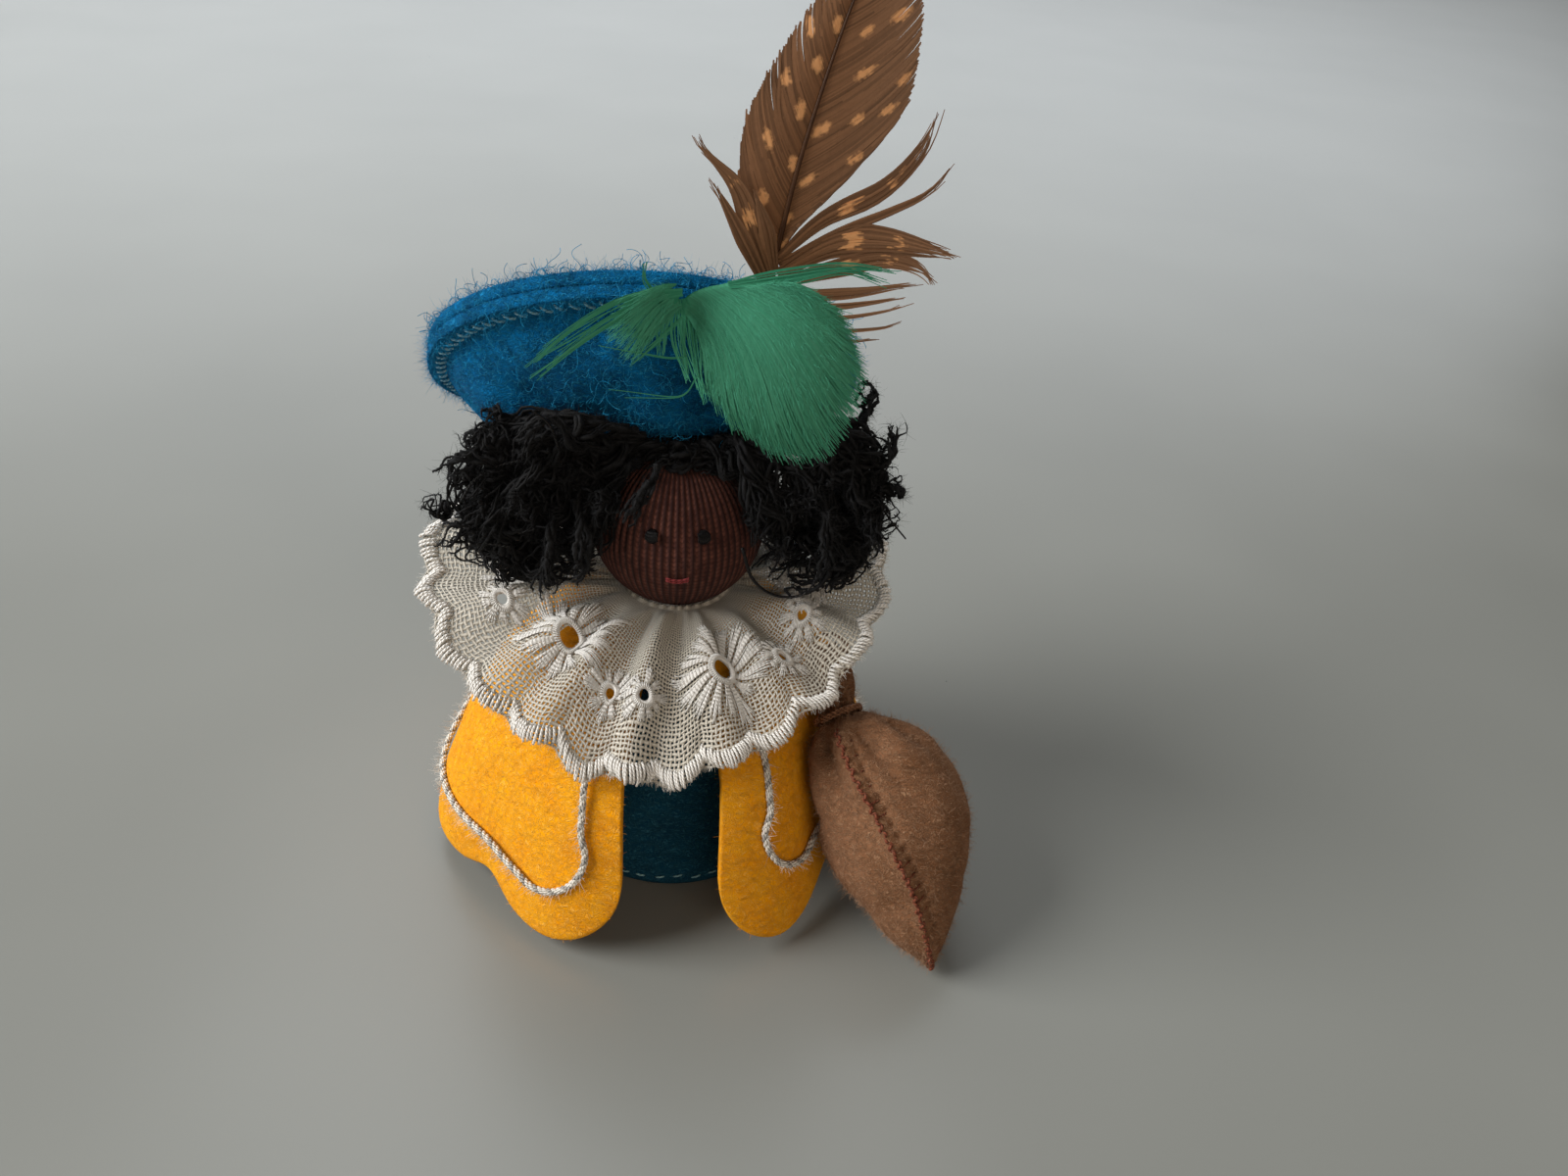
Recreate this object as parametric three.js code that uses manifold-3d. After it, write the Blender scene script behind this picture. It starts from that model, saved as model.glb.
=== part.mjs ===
// A small felt figurine that stands on a table: a stuffed felt cone for the body, a ball head covered in
// knitted tube, yarn hair, a felt beret with two feathers, a gathered lace collar, a felt cape trimmed with
// braid, and a stuffed felt sack that hangs by a thread at its side.
//
// Millimetres, +Z up. The origin is the centre of the flat underside, the face looks along -Y, and +X is on
// the viewer's right. Azimuths are turned from the front (-Y) towards +X.

import * as THREE from 'three';
import { mergeVertices } from 'three/addons/utils/BufferGeometryUtils.js';
import Module from 'manifold-3d';

const wasm = await Module();
wasm.setup();

// Driving dimensions

const CLEARANCE = 0.3; // air between pieces that touch on the real object

const body = {
  baseRadius: 16, // radius of the stuffed cone at the table
  height: 33, // height of the cone's open top, where the neck goes in
  bulge: 1.8, // how far the stuffed side stands out from a straight cone
  felt: 1.2, // thickness of the blue felt
  card: 1.0, // thickness of the card that keeps the base flat
};

const head = {
  radius: 10, // outside of the knitted cover
  knit: 0.6, // thickness of the knitted cover
  neckRadius: 3.6, // outside of the knitted neck
  neckLength: 2.7, // from the cone's top to the underside of the ball
  neckInset: 3.5, // how far the neck goes down into the cone
};

const face = {
  tilt: 12, // the face looks up by this many degrees
  eyeSpread: 2.9, // half the distance between the eyes
  eyeHeight: 1.2, // eyes above the middle of the face
  eyeRadius: 0.55, // radius of an eye, worked as a few dark stitches
  mouthDrop: 4.0, // mouth below the middle of the face
  mouthWidth: 2.6, // length of the mouth's stitch
  thread: 0.3, // radius of the embroidery thread
};

const cape = {
  felt: 1.3, // thickness of the yellow felt
  hemDepth: 27.5, // half size of the hem from front to back
  hemLeft: 30.2, // reach of the hem to the left
  hemRight: 27.5, // and to the right, where the sack leans
  hemHeight: 1.2, // lowest point of the lobes above the table
  shoulderRadius: 24, // the profile's control point, which sets the bell shape
  shoulderHeight: 26,
  opening: 10.4, // width of the gap down the front
  cornerRadius: 11, // rounding of the two front corners
  cornerLobe: 41, // azimuth that a front lobe takes up
  lobes: 5, // lobes between the two front lobes
  notch: 2.6, // rise of the hem between two lobes
  sideLift: 2.4, // rise of the hem at the sides
  flute: 0.7, // how far the cloth waves in and out at the hem
  sackDent: 2.2, // how far the leaning sack presses the cape in
};

const braid = {
  radius: 0.7, // half the thickness of the twisted cord
  leftInset: 4.4, // from the cape's left front edge to the cord
  rightInset: 6.6, // and from its right one
  leftHemInset: 7.4, // from the hem to the cord, at the left corner and round to the right side
  rightHemInset: 9.6, // and at the right corner
  turnRadius: 7, // of the bend between the two
};

const collar = {
  lace: 0.6, // thickness of the lace with its embroidery
  sideRadius: 27.5, // reach of the lace at the sides
  frontRadius: 21.5, // reach at the front
  backRadius: 24.5, // reach at the back
  sideDrop: 1.0, // rim below the gathers at the sides
  frontDrop: 12.6, // rim below the gathers at the front
  backLift: 4.6, // extra height where the lace stands up behind the shoulders
  puff: 1.2, // how high the gathers stand before the lace falls
  offset: 2.3, // the rim sits this much towards the left of the neck
  folds: 13, // folds that run out from the neck
  foldDepth: 1.1, // half the depth of a fold at the rim
  scallops: 24, // scallops of the worked edge
  scallopDepth: 1.1, // how far each scallop stands out
};

const hair = {
  depth: 2.0, // thickness of the yarn where the beret sits on it
  reach: 15.5, // from the head's middle to the middle of a side bunch
  lock: 8.6, // half height of a bunch
  leftWidth: 9.0, // half width of the bunch on the left
  rightWidth: 7.6, // and on the right
  sideDepth: 8.3, // half depth of both, from front to back
  backWidth: 10.5, // half width of the bunch at the back
  backDepth: 5.5, // and its half depth
  rise: 0.9, // middle of the side bunches above the middle of the head
  droop: 1.5, // middle of the back one below it
  forward: 1.0, // side bunches in front of the middle of the head
  tuft: 0.12, // how much the tufts swell, as a share of the bunch
  fringe: 1.9, // radius of the roll of yarn over the forehead
  fringeTurn: 62, // how far the fringe goes round to each side, in degrees
};

const hat = {
  felt: 1.2, // thickness of the blue felt
  tilt: 45, // the beret leans back by this many degrees
  seat: 7.6, // from the middle of the head to the opening
  rise: 9.4, // from the opening to the rim, along the lean
  sideRadius: 24.5, // half width of the rim
  frontRadius: 24.5, // rim's reach up over the face
  backRadius: 17, // rim's reach down behind the head
  shift: 4, // the rim sits this much towards the left of the head
  raise: 1.5, // and this much up over the face
  crown: 5.5, // height of the crown above the rim
  dimple: 1.1, // depth of the hollow where the crown has sunk in
  seamAllowance: 2.4, // flat edge outside the seam
  gathers: 11, // soft waves round the opening
  gatherDepth: 0.55,
};

const brown = {
  length: 35.5, // spotted feather, from the beret's rim to the tip
  bareQuill: 7, // quill above the rim before the vane closes up
  quillRadius: 0.55,
  leftWidth: 5.5, // widest part of the vane, left of the shaft
  rightWidth: 8.0, // and right of it
  thickness: 0.35,
  lean: 5, // turned towards the right, in degrees
  bend: 5.6, // how far the tip bends to the right
  backward: 3, // and to the back
  barbReach: 17, // the longest loose barbs at the foot
  barbWidth: 1.5, // half width of the widest bunch of them
  forward: 0.6, // how far they stand in front of the shaft
  rimAngle: 60, // where it crosses the rim, turned from the right side up to the front
};

const green = {
  reach: 12.5, // from the root across to the drooping tip
  drop: 14.5, // and down to it
  forward: 6.5, // and forward
  width: 7.0, // half the widest part
  wispReach: 20, // the longest wisp, to the right
  wispWidth: 1.2, // half width of the widest wisp
  thickness: 0.35,
  quillRadius: 0.45,
  rimAngle: 79,
};

const sack = {
  felt: 1.1, // thickness of the tan felt
  neckAzimuth: 61.5, // where the tied neck lies, round the cape
  neckHeight: 21.2,
  tipAzimuth: 46.5, // where the corner stands on the table
  tipReach: 17.2, // from the cape's hem to that corner
  tipHeight: 1.1,
  backShift: 9, // the hidden bottom corner lies this much further back
  backLift: 3.2, // and this much higher
  girth: 8.8, // half thickness of the stuffed belly
  bulge: 1.3, // how far the belly stands out to the right of a straight bag
  depth: 9.6, // half width of the belly, seam to fold
  neckRadius: 2.1,
  pleats: 7, // pleats that the tie draws in
  pleatDepth: 0.4,
  hangAzimuth: 79, // where its thread is sewn to the cape
  hangHeight: 26.4,
  frillRadius: 2.5, // half width of the mouth above the tie
  frillThickness: 1.5, // half thickness of the mouth
};

const thread = {
  tie: 0.35, // radius of the tying threads
  loop: 0.35, // radius of the thread that the sack hangs by
  loopRing: 2.3, // radius of the ring that this thread makes
};

// Sizes that follow from the driving dimensions

const degrees = THREE.MathUtils.degToRad;
const ballDrop = Math.sqrt(head.radius ** 2 - head.neckRadius ** 2);
const headCentre = new THREE.Vector3(0, 0, body.height + head.neckLength + ballDrop);
const bodyTopRadius = head.neckRadius + CLEARANCE + body.felt;
const capeTop = {
  radius: bodyTopRadius + 0.9 * cape.felt,
  height: body.height + CLEARANCE + 1.2 * cape.felt,
};
const gather = {
  radius: capeTop.radius + 0.2,
  height: capeTop.height + 0.5 * cape.felt + CLEARANCE + collar.lace,
};

// Helpers for closed solids

function polar(azimuth, radius, z) {
  return new THREE.Vector3(radius * Math.sin(azimuth), -radius * Math.cos(azimuth), z);
}

function smooth(x) {
  const t = THREE.MathUtils.clamp(x, 0, 1);
  return t * t * (3 - 2 * t);
}

function signedVolume(vertices, triangles) {
  let volume = 0;
  for (const [a, b, c] of triangles) {
    volume += vertices[a].dot(vertices[b].clone().cross(vertices[c])) / 6;
  }
  return volume;
}

// One closed geometry with its faces pointing out, without triangles that have no area.
function closedGeometry(vertices, triangles) {
  const flip = signedVolume(vertices, triangles) < 0;
  const index = [];
  for (const [a, b, c] of triangles) {
    index.push(a, flip ? c : b, flip ? b : c);
  }
  const geometry = new THREE.BufferGeometry();
  const positions = vertices.flatMap((vertex) => vertex.toArray());
  geometry.setAttribute('position', new THREE.Float32BufferAttribute(positions, 3));
  geometry.setIndex(index);
  const merged = mergeVertices(geometry, 1e-4);
  const kept = [];
  const old = merged.getIndex().array;
  for (let i = 0; i < old.length; i += 3) {
    if (old[i] !== old[i + 1] && old[i + 1] !== old[i + 2] && old[i] !== old[i + 2]) {
      kept.push(old[i], old[i + 1], old[i + 2]);
    }
  }
  merged.setIndex(kept);
  return merged;
}

// A sheet of cloth: a grid of middle points given half its thickness to both sides. With wrap the last
// column joins the first, and with pole the first row is one point.
function sheet({ columns, rows, wrap = false, pole = false, thickness, point }) {
  const step = 1e-3;
  const vertices = [];
  const lastColumn = wrap ? columns - 1 : columns;
  for (const side of [0.5, -0.5]) {
    for (let i = 0; i <= lastColumn; i += 1) {
      for (let j = 0; j <= rows; j += 1) {
        const u = i / columns;
        const v = j / rows;
        const vSafe = pole ? Math.max(v, step) : v;
        const uStep = u + step > 1 ? -step : step;
        const vStep = vSafe + step > 1 ? -step : step;
        const here = point(u, vSafe);
        const alongU = point(u + uStep, vSafe).sub(here).multiplyScalar(Math.sign(uStep));
        const alongV = point(u, vSafe + vStep).sub(here).multiplyScalar(Math.sign(vStep));
        const normal = alongU.cross(alongV).normalize();
        vertices.push(point(pole && j === 0 ? 0 : u, v).addScaledVector(normal, side * thickness));
      }
    }
  }
  if (pole) {
    const axis = new THREE.Vector3();
    for (let i = 0; i <= lastColumn; i += 1) {
      axis.add(vertices[i * (rows + 1)]).sub(vertices[(lastColumn + 1 + i) * (rows + 1)]);
    }
    axis.normalize();
    for (let i = 0; i <= lastColumn; i += 1) {
      vertices[i * (rows + 1)] = point(0, 0).addScaledVector(axis, thickness / 2);
      vertices[(lastColumn + 1 + i) * (rows + 1)] = point(0, 0).addScaledVector(axis, -thickness / 2);
    }
  }
  const front = (i, j) => (i % (lastColumn + 1)) * (rows + 1) + j;
  const back = (i, j) => front(i, j) + (lastColumn + 1) * (rows + 1);
  const triangles = [];
  const quad = (a, b, c, d) => triangles.push([a, b, c], [a, c, d]);
  for (let i = 0; i < columns; i += 1) {
    for (let j = 0; j < rows; j += 1) {
      quad(front(i, j), front(i + 1, j), front(i + 1, j + 1), front(i, j + 1));
      quad(back(i, j), back(i, j + 1), back(i + 1, j + 1), back(i + 1, j));
    }
    quad(front(i, rows), front(i + 1, rows), back(i + 1, rows), back(i, rows));
    if (!pole) quad(front(i, 0), back(i, 0), back(i + 1, 0), front(i + 1, 0));
  }
  if (!wrap) {
    for (let j = 0; j < rows; j += 1) {
      quad(front(0, j), front(0, j + 1), back(0, j + 1), back(0, j));
      quad(front(columns, j), back(columns, j), back(columns, j + 1), front(columns, j + 1));
    }
  }
  return closedGeometry(vertices, triangles);
}

// A solid lofted through rings of points, closed with a point at each end.
function loft(rings, start, end) {
  const sides = rings[0].length;
  const vertices = [...rings.flat(), start, end];
  const startIndex = vertices.length - 2;
  const endIndex = vertices.length - 1;
  const triangles = [];
  for (let k = 0; k < sides; k += 1) {
    const next = (k + 1) % sides;
    triangles.push([startIndex, next, k]);
    triangles.push([endIndex, (rings.length - 1) * sides + k, (rings.length - 1) * sides + next]);
    for (let r = 0; r < rings.length - 1; r += 1) {
      const a = r * sides + k;
      const b = r * sides + next;
      triangles.push([a, b, b + sides], [a, b + sides, a + sides]);
    }
  }
  return closedGeometry(vertices, triangles);
}

// A round cord or quill along a curve; radiusAt takes 0 to 1 along it.
function roundTube(curve, steps, sides, radiusAt) {
  const frames = curve.computeFrenetFrames(steps, false);
  const rings = [];
  for (let i = 0; i <= steps; i += 1) {
    const centre = curve.getPointAt(i / steps);
    const ring = [];
    for (let k = 0; k < sides; k += 1) {
      const angle = (2 * Math.PI * k) / sides;
      const radius = radiusAt(i / steps);
      const point = centre.clone();
      point.addScaledVector(frames.normals[i], radius * Math.cos(angle));
      point.addScaledVector(frames.binormals[i], radius * Math.sin(angle));
      ring.push(point);
    }
    rings.push(ring);
  }
  return loft(rings, curve.getPointAt(0), curve.getPointAt(1));
}

function ringCord(radius, thickness, height, sides = 6, segments = 20) {
  const geometry = new THREE.TorusGeometry(radius, thickness, sides, segments);
  geometry.translate(0, 0, height);
  return geometry;
}

// A turned solid from a profile of [radius, height] pairs that starts and ends on the axis or closes on
// itself.
function turned(profile, segments) {
  const points = profile.map(([radius, height]) => new THREE.Vector2(radius, height));
  const lathe = new THREE.LatheGeometry(points, segments).rotateX(Math.PI / 2);
  const position = lathe.getAttribute('position');
  const index = lathe.getIndex().array;
  const vertices = [];
  for (let i = 0; i < position.count; i += 1) {
    vertices.push(new THREE.Vector3().fromBufferAttribute(position, i));
  }
  const triangles = [];
  for (let i = 0; i < index.length; i += 3) {
    triangles.push([index[i], index[i + 1], index[i + 2]]);
  }
  return closedGeometry(vertices, triangles);
}

function toSolid(geometry) {
  const bare = geometry.clone();
  bare.deleteAttribute('normal');
  bare.deleteAttribute('uv');
  const merged = mergeVertices(bare, 1e-4);
  return new wasm.Manifold(
    new wasm.Mesh({
      numProp: 3,
      vertProperties: new Float32Array(merged.getAttribute('position').array),
      triVerts: new Uint32Array(merged.getIndex().array),
    }),
  );
}

function fromSolid(solid) {
  const mesh = solid.getMesh();
  const geometry = new THREE.BufferGeometry();
  const positions = [];
  for (let i = 0; i < mesh.vertProperties.length; i += mesh.numProp) {
    positions.push(mesh.vertProperties[i], mesh.vertProperties[i + 1], mesh.vertProperties[i + 2]);
  }
  geometry.setAttribute('position', new THREE.Float32BufferAttribute(positions, 3));
  geometry.setIndex([...mesh.triVerts]);
  return geometry;
}

// The largest connected piece of a solid that a cut may have left in several.
function largestPiece(solid) {
  const pieces = solid.decompose();
  return pieces.reduce((best, piece) => (piece.volume() > best.volume() ? piece : best));
}

const model = new THREE.Group();

function add(name, geometry, color, roughness) {
  const material = new THREE.MeshStandardMaterial({ color, roughness, metalness: 0 });
  const mesh = new THREE.Mesh(geometry, material);
  mesh.name = name;
  model.add(mesh);
  return mesh;
}

const COLOURS = {
  bodyBlue: 0x0d4a63,
  hatBlue: 0x0b78b8,
  card: 0xb08d62,
  wadding: 0xe8e2d4,
  wood: 0xd9b98a,
  knit: 0x3f2320,
  yarn: 0x15151a,
  lace: 0xf1ede4,
  capeYellow: 0xf5a50c,
  cord: 0xdcd9cf,
  tan: 0xa5806a,
  rust: 0x7c3b2a,
  brownFeather: 0x6b4026,
  greenFeather: 0x2fa378,
  eye: 0x0e0b0b,
  mouth: 0x8c3a3f,
};

// Body: a stuffed cone of blue felt on a card-stiffened felt disc

const bodySide = new THREE.QuadraticBezierCurve(
  new THREE.Vector2(body.baseRadius, 0),
  new THREE.Vector2((body.baseRadius + bodyTopRadius) / 2 + 2 * body.bulge, body.height / 2),
  new THREE.Vector2(bodyTopRadius, body.height),
);

function bodyRadiusAt(height) {
  let low = 0;
  let high = 1;
  for (let i = 0; i < 24; i += 1) {
    const middle = (low + high) / 2;
    if (bodySide.getPoint(middle).y < height) low = middle;
    else high = middle;
  }
  return bodySide.getPoint(low).x;
}

const BODY_ROWS = 6;
const BODY_SEGMENTS = 36;

function bodySideProfile(inset, from, to) {
  const profile = [];
  for (let i = 0; i <= BODY_ROWS; i += 1) {
    const height = THREE.MathUtils.lerp(from, to, i / BODY_ROWS);
    profile.push([bodyRadiusAt(height) - inset, height]);
  }
  return profile;
}

function makeBody() {
  const outside = bodySideProfile(0, 0, body.height);
  const inside = bodySideProfile(body.felt, 0, body.height).reverse();
  add('body_felt', turned([...outside, ...inside, outside[0]], BODY_SEGMENTS), COLOURS.bodyBlue, 0.95);

  const wallAt = (height) => bodyRadiusAt(height) - body.felt - CLEARANCE;
  const disc = [[0, 0], [wallAt(body.felt), 0], [wallAt(body.felt), body.felt], [0, body.felt]];
  add('base_felt', turned(disc, BODY_SEGMENTS), COLOURS.bodyBlue, 0.95);

  const cardBottom = body.felt + CLEARANCE;
  const cardTop = cardBottom + body.card;
  const cardRadius = wallAt(cardTop);
  const card = [[0, cardBottom], [cardRadius, cardBottom], [cardRadius, cardTop], [0, cardTop]];
  add('base_card', turned(card, BODY_SEGMENTS), COLOURS.card, 0.85);

  const stuffingBottom = cardTop + CLEARANCE;
  const stuffingTop = body.height - head.neckInset - CLEARANCE;
  const side = bodySideProfile(body.felt + CLEARANCE, stuffingBottom, stuffingTop);
  const stuffing = [[0, stuffingBottom], ...side, [0, stuffingTop]];
  add('body_stuffing', turned(stuffing, BODY_SEGMENTS), COLOURS.wadding, 1);
}

// Head: a ball in a knitted tube that is closed at the crown and tied at the neck

const HEAD_ROWS = 11;

function headArc(radius, neckRadius, rows) {
  const end = Math.PI - Math.asin(neckRadius / radius);
  const arc = [];
  for (let i = 0; i <= rows; i += 1) {
    const angle = (end * i) / rows;
    arc.push([radius * Math.sin(angle), headCentre.z + radius * Math.cos(angle)]);
  }
  return arc;
}

function makeHead() {
  const inner = head.radius - head.knit;
  const innerNeck = head.neckRadius - head.knit;
  const neckEnd = body.height - head.neckInset;
  const cover = [
    ...headArc(head.radius, head.neckRadius, HEAD_ROWS),
    [head.neckRadius, neckEnd],
    [innerNeck, neckEnd],
    ...headArc(inner, innerNeck, HEAD_ROWS - 3).reverse(),
  ];
  add('head_knit', turned(cover, 28), COLOURS.knit, 0.95);

  const core = new THREE.SphereGeometry(inner - CLEARANCE, 24, 14);
  core.rotateX(Math.PI / 2);
  core.translate(headCentre.x, headCentre.y, headCentre.z);
  add('head_core', core, COLOURS.wood, 0.8);

  const tieRadius = head.neckRadius + CLEARANCE + thread.tie;
  add('neck_tie', ringCord(tieRadius, thread.tie, body.height + CLEARANCE + thread.tie), COLOURS.knit, 0.9);
}

// A point on a ball round the head's middle, seen from the front: across and up in degrees of turn.
function onFace(across, up, radius) {
  const look = new THREE.Vector3(0, -Math.cos(up), Math.sin(up));
  look.applyAxisAngle(new THREE.Vector3(0, 0, 1), across);
  return look.multiplyScalar(radius).add(headCentre);
}

function makeFace() {
  const middle = degrees(face.tilt);
  const perMillimetre = 1 / head.radius;
  const surface = head.radius + CLEARANCE;
  for (const [name, side] of [['eye_left', -1], ['eye_right', 1]]) {
    const eye = new THREE.SphereGeometry(face.eyeRadius, 10, 6);
    eye.scale(1, 1, 1.25);
    const place = onFace(
      side * face.eyeSpread * perMillimetre,
      middle + face.eyeHeight * perMillimetre,
      surface + face.eyeRadius,
    );
    eye.translate(place.x, place.y, place.z);
    add(name, eye, COLOURS.eye, 0.7);
  }
  const points = [];
  for (const part of [-1, -0.5, 0, 0.5, 1]) {
    const across = 0.5 * face.mouthWidth * part * perMillimetre;
    const up = middle - (face.mouthDrop - 0.35 * part * part) * perMillimetre;
    points.push(onFace(across, up, surface + face.thread));
  }
  const curve = new THREE.CatmullRomCurve3(points);
  add('mouth_stitch', roundTube(curve, 6, 6, () => face.thread), COLOURS.mouth, 0.8);
}

// Cape: one piece of thick felt cut in lobes, sewn round the neck and open down the front

const capeSide = new THREE.QuadraticBezierCurve(
  new THREE.Vector2(capeTop.radius, capeTop.height),
  new THREE.Vector2(cape.shoulderRadius, cape.shoulderHeight),
  new THREE.Vector2(cape.hemDepth, cape.hemHeight),
);
const hemSlope = 2 * Math.hypot(cape.hemDepth - cape.shoulderRadius, cape.shoulderHeight - cape.hemHeight);
const hemGirth = Math.PI * (cape.hemDepth + (cape.hemLeft + cape.hemRight) / 2);

// The bell is wider to the left than to the right.
function capeSpread(t, azimuth) {
  const reach = Math.sin(azimuth) < 0 ? cape.hemLeft : cape.hemRight;
  return 1 + (reach / cape.hemDepth - 1) * Math.min(1, 2 * t);
}

// Half of the front gap as an azimuth; the edges hang straight down, so the gap keeps its width.
function capeEdgeAzimuth(t) {
  const half = (cape.opening / 2) * (0.45 + 0.55 * Math.min(1, 2 * t));
  return Math.asin(Math.min(0.8, half / capeSide.getPoint(t).x));
}

// How far the hem rises, round the cape: at the rounded corners, between lobes and towards the sides.
function cornerRise(s) {
  const arc = hemGirth * Math.min(s, 1 - s);
  const inside = Math.max(0, cape.cornerRadius - arc);
  return cape.cornerRadius - Math.sqrt(cape.cornerRadius ** 2 - inside ** 2);
}

function notchRise(s) {
  const azimuth = s * 360;
  const period = (360 - 2 * cape.cornerLobe) / cape.lobes;
  const phase = (azimuth - cape.cornerLobe) / period;
  const near = Math.abs(phase - Math.round(phase)) * period;
  const onCorner = Math.min(azimuth, 360 - azimuth) < cape.cornerLobe / 2;
  return onCorner ? 0 : cape.notch * Math.exp(-((near / 9) ** 2));
}

function sideRise(s) {
  return cape.sideLift * Math.sin(2 * Math.PI * s) ** 2;
}

// A point on the middle of the felt: s goes round from the right front edge to the left one, t goes from
// the neck to the hem line, and out moves it out of the cloth.
function capePoint(s, t, out = 0) {
  const edge = capeEdgeAzimuth(t);
  const azimuth = edge + s * (2 * Math.PI - 2 * edge);
  const at = capeSide.getPoint(t);
  const tangent = capeSide.getTangent(t);
  const lobeTurns = ((s * 360 - cape.cornerLobe) / (360 - 2 * cape.cornerLobe)) * cape.lobes;
  const flute = -cape.flute * t * t * Math.cos(2 * Math.PI * lobeTurns);
  const sackAzimuth = degrees((sack.neckAzimuth + sack.tipAzimuth) / 2 + 6);
  const dent = cape.sackDent * smooth(2 * t) * Math.exp(-(((azimuth - sackAzimuth) / 0.42) ** 2));
  const radius = at.x + flute - dent - out * tangent.y;
  const height = at.y + out * tangent.x;
  const spread = capeSpread(t, azimuth);
  return new THREE.Vector3(radius * spread * Math.sin(azimuth), -radius * Math.cos(azimuth), height);
}

function hemEnd(s) {
  return 1 - (cornerRise(s) + notchRise(s) + sideRise(s)) / hemSlope;
}

function makeCape() {
  const geometry = sheet({
    columns: 48,
    rows: 8,
    thickness: cape.felt,
    point: (u, v) => {
      const s = u - (0.55 / (2 * Math.PI)) * Math.sin(2 * Math.PI * u);
      return capePoint(s, v * hemEnd(s));
    },
  });
  add('cape_felt', geometry, COLOURS.capeYellow, 0.95);
}

// Braid: a twisted cord sewn on the cape, along both front edges and the whole hem

function makeBraid() {
  const out = cape.felt / 2 + CLEARANCE + braid.radius;
  const turn = { s: braid.turnRadius / hemGirth, t: braid.turnRadius / hemSlope };
  const start = 0.42; // the ends are hidden under the collar

  // Down one front edge and round its corner; s is counted from that edge.
  const down = (edgeInset, hemInset) => {
    const inset = edgeInset / hemGirth;
    const bottom = 1 - hemInset / hemSlope;
    const way = [];
    for (let i = 0; i < 5; i += 1) {
      const t = THREE.MathUtils.lerp(start, bottom - turn.t, i / 5);
      way.push([inset * (1 + 0.5 * (1 - t)), t]);
    }
    for (let i = 0; i <= 4; i += 1) {
      const angle = (Math.PI / 2) * (i / 4);
      way.push([inset + turn.s * (1 - Math.cos(angle)), bottom - turn.t * (1 - Math.sin(angle))]);
    }
    return way;
  };
  const right = down(braid.rightInset, braid.rightHemInset);
  const left = down(braid.leftInset, braid.leftHemInset).map(([s, t]) => [1 - s, t]).reverse();

  const [from] = right[right.length - 1];
  const [to] = left[0];
  const hemSteps = 26;
  const route = [...right];
  for (let i = 1; i < hemSteps; i += 1) {
    const s = THREE.MathUtils.lerp(from, to, i / hemSteps);
    const inset = THREE.MathUtils.lerp(braid.rightHemInset, braid.leftHemInset, smooth(6 * (s - from)));
    route.push([s, 1 - (inset + 0.25 * notchRise(s) + sideRise(s)) / hemSlope]);
  }
  route.push(...left);
  const curve = new THREE.CatmullRomCurve3(route.map(([s, t]) => capePoint(s, t, out)), false, 'centripetal');
  add('cape_braid', roundTube(curve, 72, 6, () => braid.radius), COLOURS.cord, 0.8);
}

// Collar: a strip of eyelet lace gathered round the neck

function collarRim(azimuth) {
  const front = Math.max(0, Math.cos(azimuth));
  const back = Math.max(0, -Math.cos(azimuth));
  const radius =
    collar.sideRadius
    - (collar.sideRadius - collar.frontRadius) * front ** 1.3
    - (collar.sideRadius - collar.backRadius) * back ** 2;
  const behind = (Math.abs(azimuth) - degrees(115)) / degrees(32);
  const height =
    gather.height - collar.sideDrop
    - (collar.frontDrop - collar.sideDrop) * front ** 1.6
    + collar.backLift * Math.exp(-(behind ** 2));
  return polar(azimuth, radius, height).add(new THREE.Vector3(-collar.offset, 0, 0));
}

function collarPoint(u, v, out = 0) {
  const azimuth = (u - 0.5) * 2 * Math.PI;
  const inner = polar(azimuth, gather.radius, gather.height);
  const rim = collarRim(azimuth);
  const arch = new THREE.Vector3().lerpVectors(inner, rim, 0.42);
  arch.z = gather.height + collar.puff + 0.35 * Math.max(0, rim.z - gather.height);
  const point = new THREE.QuadraticBezierCurve3(inner, arch, rim).getPoint(v);
  const fold = collar.foldDepth * smooth(1.3 * v) * Math.cos(collar.folds * azimuth + 0.6);
  const scallop = Math.abs(Math.sin((collar.scallops / 2) * azimuth)) - 0.5;
  const outward = polar(azimuth, 1, 0);
  point.addScaledVector(outward, collar.scallopDepth * scallop * smooth(3 * v - 2));
  point.z += fold + out;
  return point;
}

function collarSheet(thickness) {
  return sheet({ columns: 72, rows: 5, wrap: true, thickness, point: collarPoint });
}

function makeCollar() {
  add('collar_lace', collarSheet(collar.lace), COLOURS.lace, 0.9);
  const threadRadius = gather.radius - CLEARANCE - thread.tie - collar.lace / 2;
  const height = capeTop.height + 0.5 * cape.felt + CLEARANCE + thread.tie;
  add('collar_thread', ringCord(threadRadius, thread.tie, height), COLOURS.lace, 0.8);
}

// Beret: a funnel of felt round the head and a crown, sewn together with their edges left standing

const hatBack = new THREE.Vector3(0, Math.sin(degrees(hat.tilt)), Math.cos(degrees(hat.tilt)));
const hatFront = new THREE.Vector3(0, -Math.cos(degrees(hat.tilt)), Math.sin(degrees(hat.tilt)));
const hatOpening = headCentre.clone().addScaledVector(hatBack, hat.seat);
const hatOpeningRadius = Math.sqrt((head.radius + hair.depth) ** 2 - hat.seat ** 2);
const hatRimCentre = hatOpening.clone()
  .addScaledVector(hatBack, hat.rise)
  .addScaledVector(hatFront, hat.raise)
  .add(new THREE.Vector3(-hat.shift, 0, 0));

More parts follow.
